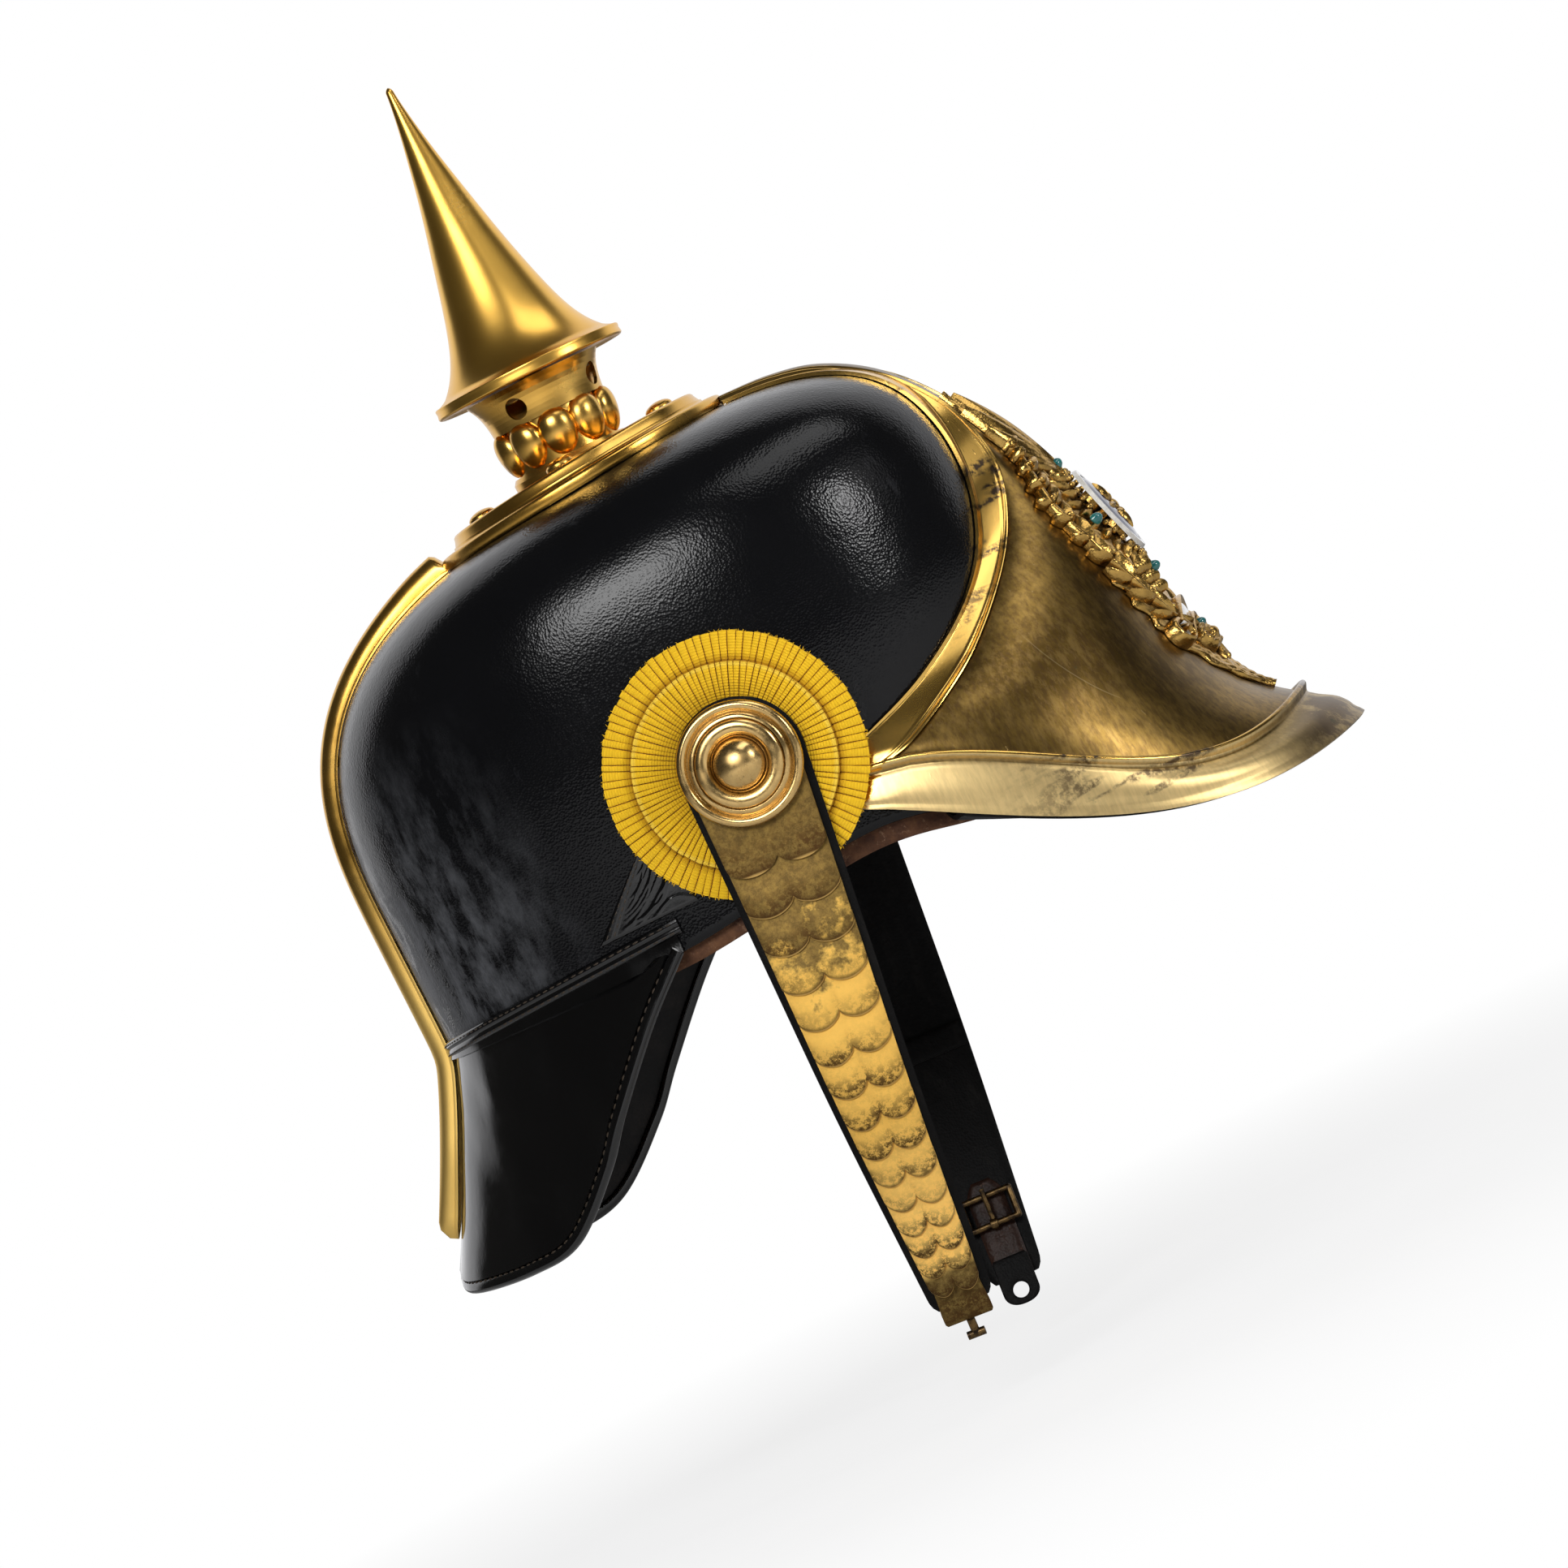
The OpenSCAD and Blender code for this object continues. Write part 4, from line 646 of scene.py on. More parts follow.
# How polished each point is, with the painted shade in the groove below the bead.
polish_and_groove_shade = wear_and_painted_light_of(shader)
dull = 1.0 - polish_and_groove_shade
scratch_place = place.stretched((1.0, 1.0, 0.05), (0.2, 0.9, 0.5))
scratches = scratch_place.noise(1300.0, 2.0, 0.4, 0.3).ranged(0.7, 0.74)
scratches = scratches * place.noise(30.0, 2.0).ranged(0.5, 0.6)
wave_place = place.stretched((1, 0.6, 1), (0.9, 0.3, 0.5))
long_line = place.node("TexWave", {"Vector": wave_place, "Scale": 9.0, "Distortion": 7.0, "Detail": 2.0,
                                   "Detail Scale": 0.5}, 1)
long_line = long_line.ranged(0.99978, 0.99995) * place.noise(22.0, 2.0).ranged(0.5, 0.56)
low_field = place.axis("Z").ranged(0.06, 0.015, 0.0, 0.3)
tone = (clouds.ranged(0.36, 0.58) - low_field).mix(PLATE_DULL, PLATE_TARNISHED)
tone = polish_and_groove_shade.mix(tone, polish_and_groove_shade.ranged(0.78, 0.92).mix(PEAK_BAND, PLATE_BRIGHT))
tip_stain = place.axis("X").ranged(0.163, 0.186) * place.noise(70.0, 6.0, 0.7).ranged(0.3, 0.55)
smudge_place = place.stretched((0.35, 0.35, 2.0))
smudges = smudge_place.noise(60.0, 3.0).ranged(0.51, 0.57)
smudges = smudges * place.noise(420.0, 5.0, 0.7).ranged(0.4, 0.56) * place.axis("X").ranged(0.09, 0.12)
stain = tip_stain.higher(smudges) * 1.25
tone = (stain * polish_and_groove_shade).mix(tone, (0.11, 0.075, 0.048))
tone = (brushed.ranged(0.4, 0.62) * 0.55 * dull).mix(tone, PLATE_BROWN)
rubbed = place.stretched((1.0, 1.0, 0.3), (0.4, 0.5, 0.2))
mottled = rubbed.noise(300.0, 6.0, 0.72).ranged(0.45, 0.62, 0.0, 0.3)
tone = (mottled * dull).mix(tone, (0.45, 0.29, 0.09))
tone = (brown_spots * 0.6).mix(tone, PLATE_BROWN)
green_spots = place.noise(65.0, 5.0, 0.7).ranged(0.68, 0.76) * 0.6
tone = green_spots.mix(tone, PLATE_GREEN)
fine_lines = scratches.higher(long_line) * 0.12
tone = fine_lines.mix(tone, (0.9, 0.72, 0.36))
tone.into(shader, "Base Color")
dulled = (clouds * 0.5).plus_held(brown_spots)
rough_field = dulled.ranged(0.1, 1.0, 0.3, 0.46)
satin = polish_and_groove_shade.ranged(0.78, 0.92, 0.4, 0.2)
is_field = polish_and_groove_shade.ranged(0.3, 0.65)
is_field.blend(rough_field, satin).into(shader, "Roughness")
bumped(shader, (place.noise(26.0, 2.0), 0.45, 0.0012), (brushed, 0.16, 0.00006),
       (brown_spots, 0.35, 0.00006), (scratches, 0.4, 0.00006))
marked(sheet_shape(plate_top, plate_under), plate_polish_and_groove_shade, "front_plate_pressed", plate_brass, "helmet",
       "plate_brass", ["front_plate"], sharp=55)

# Peak lining
# A thin sheet of black leather glued under the peak, from the skull's edge to the
# peak's edge, with a worn matt grain.
LINING_T, LINING_TURN, LINING_REACH = 1.6, 80, 0.65
LINING_ROW, LINING_INSET = 15.75, 3


def lining_at(a, v):
    side = np.abs(a)
    edge = field_at(np.full(a.shape, LINING_ROW), side)
    edge = np.stack([edge[..., 0] - LINING_INSET, np.sign(a) * (np.abs(edge[..., 1]) - LINING_INSET),
                     edge[..., 2] + 0.4], -1)
    foot = skull_at(a * LINING_REACH, 0, -LEATHER_T / 2)
    foot[..., 2] = rim_lift(a * LINING_REACH) - LEATHER_GAP
    points = blend_of(foot, edge, v[..., None])
    points[..., 2] -= 3 * np.sin(np.pi * v) * (1 - v)
    return points


lining_turns, lining_steps = np.meshgrid(np.linspace(-LINING_TURN, LINING_TURN, 81),
                                         np.linspace(0, 1, 25))
lining_top = lining_at(lining_turns, lining_steps)
lining_leather, shader, place = new_finish("lining_leather", (0.012, 0.011, 0.011), rough=0.5,
                                           Specular_IOR_Level=0.2)
grain = place.noise(60.0, 6.0, 0.7).ranged(0.45, 0.7)
grain.mix((0.005, 0.0045, 0.0045), (0.02, 0.016, 0.014)).into(shader, "Base Color")
bumped(shader, (place.cells(900.0), 0.4, 0.0002))
make_piece("peak_lining_leather", sheet_shape(lining_top, lining_top - np.array([0, 0, LINING_T])),
           lining_leather, "helmet", "patent_leather", ["peak_lining"])

# Neck guard
# A piece of patent leather sewn to the skull's edge, flared backwards. Its lacquer is
# glossy, a little orange-peeled, and dusty; its underside is plain dull leather.
GUARD_T, GUARD_DROP, GUARD_FLARE, GUARD_TURN = 2.2, 64, 28, 72
BINDING_W, BINDING_T = 4, 3.4
GUARD_EDGE = np.array([[-100.5 - GUARD_FLARE, 0, 1 - GUARD_DROP],
                       [-94.5 - GUARD_FLARE, -28, -2 - GUARD_DROP],
                       [-72.5 - GUARD_FLARE, -54, -3 - GUARD_DROP], [-83, -66, -GUARD_DROP],
                       [-64, -76, -48.5], [-52, -82, -35], [-32, -85, -14.5], [-14, -86, 1]])
GUARD_END, GUARD_SEAT, GUARD_COLS, GUARD_ROWS = 0.985, 0.15, 121, 41
GUARD_FLAP_TURN = 78


def guard_foot(f):
    p = along(GUARD_EDGE, np.abs(np.ravel(f))).reshape(*np.shape(f), 3)
    p[..., 1] *= -np.sign(f)
    return p


def guard_head(f, off=-GUARD_T):
    return skull_at(180 - np.asarray(f) * GUARD_TURN, 0, off) - np.array([0, 0, GUARD_SEAT])


def guard_at(f, v):
    a, b = guard_head(f), guard_foot(f)
    g = v ** 1.15
    return np.stack([blend_of(a[..., 0], b[..., 0], g), blend_of(a[..., 1], b[..., 1], g),
                     blend_of(a[..., 2], b[..., 2], v)], -1)


guard_f, guard_v = np.meshgrid(np.linspace(-GUARD_END, GUARD_END, GUARD_COLS),
                               np.linspace(0, 1, GUARD_ROWS))
guard_reach = 1 - (BINDING_W / 2 - 0.4) / lengths(guard_foot(guard_f) - guard_head(guard_f))[..., 0]
guard_reach = np.maximum(guard_reach, 0.3)
guard_inner = guard_at(guard_f, guard_reach * guard_v)
guard_out = normals_of(guard_inner)
if guard_out[GUARD_ROWS // 2, GUARD_COLS // 2, 0] > 0:
    guard_out = -guard_out
ripple = 0.12 * np.sin(guard_f * 31 + 5 * guard_v) * np.sin(guard_v * 9 + 2 * guard_f)
guard_outer = guard_inner + guard_out * (GUARD_T + ripple * np.minimum(1, 4 * guard_v))[..., None]
guard_outer[0] = guard_head(guard_f[0], 0.0)
PATENT_BLACK = (0.0016, 0.0016, 0.0018)
patent_leather, shader, place = new_finish("patent_leather", PATENT_BLACK, rough=0.14)
shader.inputs["Coat Weight"].default_value = 0.35
shader.inputs["Coat Roughness"].default_value = 0.05
dust = place.noise(700.0, 6.0, 0.8).ranged(0.7, 0.76)
dull = place.noise(40.0, 5.0, 0.65).ranged(0.42, 0.68)
(dust * 0.2).mix(PATENT_BLACK, (0.13, 0.12, 0.105)).into(shader, "Base Color")
dull.ranged(0.0, 1.0, 0.08, 0.26).into(shader, "Roughness")
bumped(shader, (place.noise(45.0, 2.0), 0.35, 0.0007), (place.noise(380.0, 2.0), 0.16, 0.00018),
       (place.cells(1500.0), 0.1, 0.00008))
flap_phi = 180 - np.linspace(-GUARD_FLAP_TURN, GUARD_FLAP_TURN, GUARD_COLS)[None, :]
flap_z = np.array([-0.1, 0.5, 1.5, 3.0, 4.5])[:, None] * (1 + 0.5 * (np.abs(flap_phi - 180) / 80) ** 2)
flap_off = np.array([2.0, 1.75, 1.3, 1.1, 1.0])[:, None]
flap_foot = rim_lift(flap_phi) - 0.3
guard_flap = sheet_shape(skull_at(flap_phi, flap_foot + flap_z, flap_off),
                         skull_at(flap_phi, flap_foot + flap_z, LEATHER_GAP))
make_piece("neck_guard_patent", joined([sheet_shape(guard_outer, guard_inner), guard_flap]),
           patent_leather, "helmet", "patent_leather", ["neck_guard"], sharp=50)
guard_under = sheet_shape(guard_inner + 0.4 * guard_out, guard_inner - 0.25 * guard_out)
make_piece("neck_guard_underside", guard_under, lining_leather, "helmet", "patent_leather")

# Neck guard's binding
# A folded strip of patent leather sewn over the guard's edge with waxed brown thread.
BINDING_STEPS = 300
STITCH_STEP, STITCH_L, STITCH_R, STITCH_SINK = 3.1, 2.2, 0.38, 0.3


def stitch_row(centres, outs, every=STITCH_STEP, size=STITCH_L, thick=STITCH_R):
    """Short rounded stitches laid along a line of points."""
    steps = lengths(np.diff(centres, axis=0))[:, 0]
    run = np.concatenate([[0], np.cumsum(steps)])
    shapes = []
    turns = np.linspace(0, 2 * np.pi, 7)[:-1]
    for middle in np.arange(every, run[-1] - every / 2, every):
        ends = []
        for t in np.linspace(-0.5, 0.5, 5):
            at = middle + t * size
            point = np.array([np.interp(at, run, centres[:, k]) for k in range(3)])
            out = np.array([np.interp(at, run, outs[:, k]) for k in range(3)])
            ends.append((point, unit(out), math.sqrt(max(0.0, 1 - (2 * t) ** 2 * 0.94))))
        way = unit(ends[-1][0] - ends[0][0])
        rings = []
        for point, out, share in ends:
            side = np.cross(way, out)
            foot = point - out * thick * STITCH_SINK * (2 - share)
            rings.append([foot + thick * share * (math.cos(a) * side + math.sin(a) * out) for a in turns])
        shapes.append(bar_shape(np.array(rings)))
    return joined(shapes)


binding_f = np.linspace(-1, 1, BINDING_STEPS)
binding_line = guard_foot(binding_f)
binding_way = unit(np.gradient(binding_line, axis=0))
binding_down = unit(binding_line - guard_head(binding_f))
binding_out = unit(np.cross(binding_down, binding_way))
if binding_out[BINDING_STEPS // 2][0] > 0:
    binding_out = -binding_out
binding_across = np.cross(binding_out, binding_way)
toward_edge = np.sign((binding_across * binding_down).sum(-1))[BINDING_STEPS // 2]
profile_turns = np.radians(np.arange(0, 360, 15))
squareness = 0.72
binding_profile = np.stack([BINDING_W / 2 * powered(np.cos(profile_turns), squareness),
                            BINDING_T / 2 * powered(np.sin(profile_turns), squareness)], -1)
binding_rings = (binding_line[:, None] + binding_across[:, None] * binding_profile[None, :, :1]
                 + binding_out[:, None] * binding_profile[None, :, 1:2])
make_piece("neck_guard_binding_strip", bar_shape(binding_rings), patent_leather, "helmet",
           "patent_leather", ["neck_guard_binding"], sharp=60)
THREAD_BROWN = (0.075, 0.048, 0.024)
waxed_thread, shader, place = new_finish("waxed_thread", THREAD_BROWN, rough=0.6)
place.noise(500.0, 3.0).mix((0.008, 0.006, 0.005), (0.07, 0.046, 0.026)).into(shader, "Base Color")
bumped(shader, (place.noise(2400.0, 2.0), 0.5, 0.0002))
stitch_inset = 0.62 * BINDING_W / 2
binding_stitch_line = (binding_line - binding_across * toward_edge * stitch_inset
                       + binding_out * (BINDING_T / 2 - 0.12))[6:-6]
make_piece("neck_guard_stitches", stitch_row(binding_stitch_line, binding_out[6:-6]), waxed_thread,
           "helmet", "patent_leather")

# Seam strips and side patches
# The seam between skull and guard is covered by a welt of patent leather on each side,
# and thin patches with stitched edges reach from it up behind the cockades.
SEAM_STRIP_H, STRIP_T, SEAM_FROM, SEAM_TO, SEAM_RISE = 2.6, 1.4, 101, 174.8, 5.6
PATCH_HIGH, PATCH_GAP, PATCH_T = 38, 0.3, 0.55


def welt_points(side, across, off):
    """Points on the welt, from its lower edge at across 0 to its upper edge at 1."""
    run = np.linspace(0, 1, 150)[None, :]
    phi = side * blend_of(SEAM_FROM, SEAM_TO, run)
    z = -0.6 + 2 * SEAM_STRIP_H * np.asarray(across)[:, None] + SEAM_RISE * (1 - run)
    return skull_at(phi, z, np.asarray(off)[:, None])


WELT_RIM = 0.25
welt_across = np.linspace(0, 1, 13)
welt_round = np.sqrt(np.maximum(0, 1 - (2 * welt_across - 1) ** 4))
welt_groove = 0.35 * hump(welt_across, 0.5, 0.08)
welts, welt_stitches = [], []
for side in (-1, 1):
    top = welt_points(side, welt_across, LEATHER_GAP + WELT_RIM + (STRIP_T - WELT_RIM) * welt_round
                      - welt_groove)
    welts.append(sheet_shape(top, welt_points(side, welt_across, np.full(len(welt_across), LEATHER_GAP))))
    for across in (0.22, 0.78):
        line = welt_points(side, [across], [LEATHER_GAP + STRIP_T * 0.98])[0]
        welt_stitches.append(stitch_row(line, unit(line - dome_centre), 2.9, 2.1, 0.3))
make_piece("neck_seam_welts", joined(welts), patent_leather, "helmet", "patent_leather",
           ["neck_seam_strip"])
make_piece("neck_seam_stitches", joined(welt_stitches), waxed_thread, "helmet", "patent_leather")

patches, patch_stitches = [], []
patch_low = 2 * SEAM_STRIP_H + SEAM_RISE + 1
for side in (-1, 1):
    v, u = np.meshgrid(np.linspace(0, 1, 61), np.linspace(0, 1, 49), indexing="ij")
    phi = blend_of(blend_of(114, 98.5, v), 97, u)
    fan = np.arctan2(v + 0.05, u + 0.08)
    folds = np.sin(fan * 13 + 2.6 * np.sin(4.3 * v + 2 * u)) * np.sin(7 * fan + 9 * v + 3 * np.sin(6 * u))
    creases = 0.2 * np.maximum(0, 1 - 4.5 * np.abs(folds))
    creases = creases * np.clip(9 * (u - 0.22), 0, 1) * np.minimum(1, 8 * v)
    edges = np.minimum(np.minimum(u, 1 - u), np.minimum(v, 1 - v))
    rounding = 0.5 * (1 - np.clip(edges / 0.03, 0, 1)) ** 2
    strip = 0.25 * soft((0.16 - u) / 0.03)
    z = blend_of(patch_low, PATCH_HIGH, v)
    top = skull_at(side * phi, z, PATCH_GAP + PATCH_T + creases + strip - rounding)
    patches.append(sheet_shape(top, skull_at(side * phi, z, PATCH_GAP)))
    for at in (3, 7):
        patch_stitches.append(stitch_row(top[:, at], unit(top[:, at] - dome_centre), 2.7, 1.9, 0.28))
make_piece("side_patches_patent", joined(patches), patent_leather, "helmet", "skull_leather",
           ["side_patches"])
make_piece("side_patch_stitches", joined(patch_stitches), waxed_thread, "helmet", "skull_leather")

# Rear spine
# A half-round rib of rolled brass with flat flanges, from the crown plate down the back
# and over the neck guard, held by two pins from inside.
SPINE_W, SPINE_H, SPINE_GAP, PLATE_R = 17, 6.5, 0.5, 50
spine_top_h = (1 - ((PLATE_R + 2) / DOME_REAR) ** SIDE_REAR_N) ** (1 / SIDE_REAR_N)
spine_turn = math.asin(spine_top_h ** 1.5)
spine_zetas = REAR_TURN_Z + (TOP_Z - REAR_TURN_Z) * np.sin(spine_turn * np.linspace(1, 0, 57)) ** (2 / 3)
spine_on_skull = skull_at(180.0, np.concatenate([spine_zetas, REAR_TURN_Z * np.linspace(0.92, 0, 12)]),
                          SPINE_GAP)
spine_v = np.linspace(0.06, 0.84, 24)
mid_f = 0 * spine_v
guard_mid = guard_at(mid_f, spine_v)
guard_way = unit(guard_at(mid_f, spine_v + 0.02) - guard_at(mid_f, spine_v - 0.02))
guard_normal = np.stack([guard_way[:, 2], 0 * spine_v, -guard_way[:, 0]], -1)
guard_back = guard_mid + (GUARD_T + SPINE_GAP) * guard_normal
spine_lead = unit(spine_on_skull[0] - spine_on_skull[1])
spine_head = spine_on_skull[0] + spine_lead * np.array([[3.3], [2.2], [1.1]])
spine_line = np.concatenate([spine_head, spine_on_skull, guard_back])
for _ in range(2):
    spine_line[1:-1] = spine_line[1:-1] * 0.5 + (spine_line[:-2] + spine_line[2:]) * 0.25
spine_way = unit(np.gradient(spine_line, axis=0))
spine_out = np.stack([spine_way[:, 2], 0 * spine_way[:, 0], -spine_way[:, 0]], -1)
spine_r = SPINE_W * 0.33
rib_turns = np.radians(np.linspace(180, 0, 25))
rib_rise = BRASS_T + (SPINE_H - BRASS_T) * np.sin(rib_turns) ** 0.8
rib = np.stack([spine_r * np.cos(rib_turns), rib_rise], -1)
flange = SPINE_W / 2
flange_side = np.array([[flange, BRASS_T * 0.2], [flange - 0.3, BRASS_T * 0.8], [spine_r + 0.6, BRASS_T]])
outer_profile = np.concatenate([flange_side * [-1, 1], rib, flange_side[::-1]])
inner_profile = outer_profile * np.array([0.9, 1]) - np.array([0, BRASS_T])
inner_profile[:, 1] = np.maximum(inner_profile[:, 1], 0.0)
inner_profile[:3, 0], inner_profile[-3:, 0] = outer_profile[:3, 0], outer_profile[-3:, 0]
spine_steps = np.concatenate([[0], np.cumsum(lengths(np.diff(spine_line, axis=0))[:, 0])])
to_foot = spine_steps[-1] - spine_steps
spine_end = 0.55 + 0.45 * soft(to_foot / 30)
spine_end = spine_end * np.sqrt(np.clip((to_foot + 0.15) / 4.0, 0, 1))
spine_swell = (1 + 0.22 * hump(spine_steps, 0, 22)) * np.clip((to_foot + 0.8) / 4, 0, 1) ** 0.5
spine_swell = spine_swell * np.clip((spine_steps + 0.5) / 2.2, 0, 1) ** 0.5
spine_aside = np.array([0, 1.0, 0]) * spine_end[:, None, None]
spine_up = spine_out[:, None]
outer_rise = outer_profile[None, :, 1:2] * spine_swell[:, None, None]
inner_rise = np.maximum(0, outer_rise - BRASS_T)
outer_grid = spine_line[:, None] + spine_aside * outer_profile[None, :, :1] + spine_up * outer_rise
inner_grid = spine_line[:, None] + spine_aside * inner_profile[None, :, :1] + spine_up * inner_rise
BRASS = (0.8, 0.49, 0.12)
BRASS_AMBER = (0.7, 0.36, 0.05)
BRASS_SPOT = (0.2, 0.1, 0.03)
polished_brass, shader, place = new_finish("polished_brass", BRASS, 1.0, 0.24)
tone = place.noise(26.0, 4.0).ranged(0.35, 0.7).mix(BRASS, BRASS_AMBER)
# Painted light: the spine is painted a lighter, yellower gold towards its foot.
low_spine = place.axis("Z").ranged(0.07, 0.015)
tone = low_spine.mix(tone, (1.0, 0.68, 0.2))
pits = place.noise(700.0, 5.0, 0.75).ranged(0.69, 0.74)
pit_zones = place.noise(45.0, 3.0).ranged(0.5, 0.62)
pits = pits * pit_zones
pits.mix(tone, BRASS_SPOT).into(shader, "Base Color")
hairlines = place.stretched((1, 1, 0.05), (0.3, 0, 0)).noise(1300.0, 2.0)
gloss = place.noise(60.0, 5.0).ranged(0.3, 0.75, 0.17, 0.34)
low_spine.blend(gloss, 0.5).into(shader, "Roughness")
bumped(shader, (place.noise(70.0, 2.0), 0.25, 0.0004), (hairlines, 0.07, 0.00004),
       (pits, -0.4, 0.00012))
make_piece("rear_spine_rolled", sheet_shape(outer_grid, inner_grid), polished_brass, "helmet",
           "polished_brass", ["rear_spine"], sharp=45)

# Crown plate and its studs
# A spun brass disc, stepped up in two rings, bolted through the skull by four domed studs.
PLATEAU_R, PLATE_RIM_H, PLATEAU_H = 43, 4, 8.6


def skull_top(x):
    low, high = 100.0, 160.0
    for _ in range(24):
        mid = (low + high) / 2
        if outside(np.array([x, 0.0, mid]), 0.0) < 0:
            low = mid
        else:
            high = mid
    return low


def turned(profile, segments):
    """A closed profile of radius and height turned round the z axis."""
    profile = np.asarray(profile, float)
    turn = np.arange(segments) * 2 * np.pi / segments
    rings = np.stack([profile[:, None, 0] * np.cos(turn), profile[:, None, 0] * np.sin(turn),
                      np.broadcast_to(profile[:, 1:2], (len(profile), segments))], -1)
    return rings.reshape(-1, 3), grid_faces(len(profile), segments, True, True)


def arc(centre, radius, start, end, steps=6):
    turns = np.radians(np.linspace(start, end, steps))
    return [[centre[0] + radius * math.cos(a), centre[1] + radius * math.sin(a)] for a in turns]


plate_rear, plate_front = skull_top(CROWN_X - PLATE_R), skull_top(CROWN_X + PLATE_R)
plate_tilt = math.atan((plate_front - plate_rear) / (2 * PLATE_R))
plate_z = (plate_front + plate_rear) / 2 + LEATHER_GAP
to_crown = Matrix.Translation((CROWN_X, 0, plate_z)) @ Matrix.Rotation(-plate_tilt, 4, "Y")


def moved(shape, matrix):
    points = np.asarray(shape[0], float)
    turn = np.array(matrix.to_3x3())
    return points @ turn.T + np.array(matrix.translation), shape[1]


WALL = 1.2
crown_profile = ([[AIR_HOLE_R, PLATEAU_H - WALL + 0.4], [PLATEAU_R - WALL - 1, PLATEAU_H - WALL],
                  [PLATEAU_R - WALL, PLATE_RIM_H - WALL], [PLATE_R - WALL, PLATE_RIM_H - WALL],
                  [PLATE_R - WALL, 0], [PLATE_R - 0.3, 0], [PLATE_R, 0.8]]
                 + arc((PLATE_R - 1.4, PLATE_RIM_H - 1.4), 1.4, 0, 90)
                 + [[PLATEAU_R + 3.4, PLATE_RIM_H]]
                 + arc((PLATEAU_R + 2.6, PLATE_RIM_H + 1.2), 1.2, 270, 180, 5)
                 + [[PLATEAU_R + 0.9, PLATE_RIM_H + 1.3]]
                 + arc((PLATEAU_R - 1.4, PLATEAU_H - 1.4), 1.4, 0, 90)
                 + [[PLATEAU_R - 4, PLATEAU_H + 0.02], [30, PLATEAU_H + 0.1], [18, PLATEAU_H + 0.25],
                    [AIR_HOLE_R, PLATEAU_H + 0.4]])
make_piece("crown_plate_spun", moved(turned(crown_profile, 160), to_crown), polished_brass, "helmet",
           "polished_brass", ["crown_plate"], sharp=50)

# Seat, petal ring and vented neck
# A turned seat carries a ring of egg-shaped petals cast in brass; over it stands a
# spun neck with round vents, and a bridge in its mouth takes the spike's screw.
SEAT_Z, PETAL_H, PETAL_R, PETAL_RING_R, PETAL_N = 150.0, 14, 5, 16.6, 10
PETAL_SKEW, PETAL_ROWS, PETAL_COLS = 7, 25, 32
PETAL_FOOT_Z = SEAT_Z + 0.1
NECK_FOOT_Z = PETAL_FOOT_Z + PETAL_H + 0.1
NECK_H = 12
finish_nodes(polished_brass, "spike_seat", "spike_neck", "crown_studs")
at_petals = Matrix.Translation((CROWN_X, 0, PETAL_FOOT_Z))
petals = [moved(turned([[13.9, 0], [17, 0], [17.05, PETAL_H * 0.5], [17, PETAL_H], [13.9, PETAL_H]], 96),
                at_petals)]
petal_turns = np.radians(np.linspace(-89.5, 89.5, PETAL_ROWS))
petal_side = np.radians(np.arange(0, 360, 360 / PETAL_COLS))
for i in range(PETAL_N):
    swell = 1.16 * PETAL_R * np.cos(petal_turns) ** 0.86 * (1 + 0.12 * np.sin(petal_turns))
    height = PETAL_H / 2 * (1 + np.sin(petal_turns)) * 1.06
    lean_out = 0.9 * (height / PETAL_H) ** 2 - 0.3
    across = np.stack([0.72 * swell[:, None] * np.cos(petal_side) + lean_out[:, None],
                       swell[:, None] * np.sin(petal_side),
                       np.broadcast_to(height[:, None], (PETAL_ROWS, PETAL_COLS))], -1)
    turn = Matrix.Rotation(math.radians(360 * i / PETAL_N - 90 + PETAL_SKEW), 4, "Z")
    petals.append(moved(bar_shape(across), at_petals @ turn @ Matrix.Translation((PETAL_RING_R, 0, 0))))
make_piece("petal_ring_eggs", joined(petals), polished_brass, "helmet", "polished_brass",
           ["petal_ring"], sharp=60)

# Spike
# A hollow cone of polished sheet brass soldered to a turned flange; it screws into the
# neck's bridge and turns on that screw. It is dented a little and pitted on one side.
SPIKE_Z = NECK_FOOT_Z + NECK_H + 0.3
FLANGE_R, FLANGE_T, CONE_H, SCREW_R, SPIKE_WALL = 31.3, 5.2, 94, 4, 1.2


def cone_at(f):
    return [blend_of(1.2, 22, (1 - f) ** 1.25) + 5 * (1 - f) ** 14, FLANGE_T + CONE_H * f * 0.985]


cone_profile = [[SCREW_R, 0.6], [FLANGE_R - 3, 0.6], [FLANGE_R - 1.4, 0.1], [FLANGE_R - 0.9, 0]]
cone_profile += arc((FLANGE_R - 0.8, 0.8), 0.8, -85, 0, 5)
cone_profile += [[FLANGE_R - 0.25, 2.0], [FLANGE_R - 0.1, 2.9]]
cone_profile += arc((FLANGE_R - 0.5, 3.2), 0.4, 0, 110, 5)
cone_profile += [[FLANGE_R - 1.4, 3.75], [FLANGE_R - 2.4, 4.15], [FLANGE_R - 3.4, 4.65]]
cone_profile += [cone_at(f) for f in np.linspace(0.0, 1, 71) ** 1.3]
cone_tip = FLANGE_T + CONE_H
cone_profile += [[0.95, cone_tip - 0.8], [0.5, cone_tip - 0.25], [0.03, cone_tip], [0.03, cone_tip - 14]]
cone_profile += [[cone_at(f)[0] - SPIKE_WALL - 0.2, cone_at(f)[1]] for f in np.linspace(0.8, 0, 12)]
cone_profile += [[SCREW_R, FLANGE_T - 1.2]]
cone_points, cone_faces = turned(cone_profile, 144)
cone_turn = np.arctan2(cone_points[:, 1], cone_points[:, 0])
dents = 0.1 * np.sin(3 * cone_turn + cone_points[:, 2] / 9) * hump(cone_points[:, 2], 45, 25)
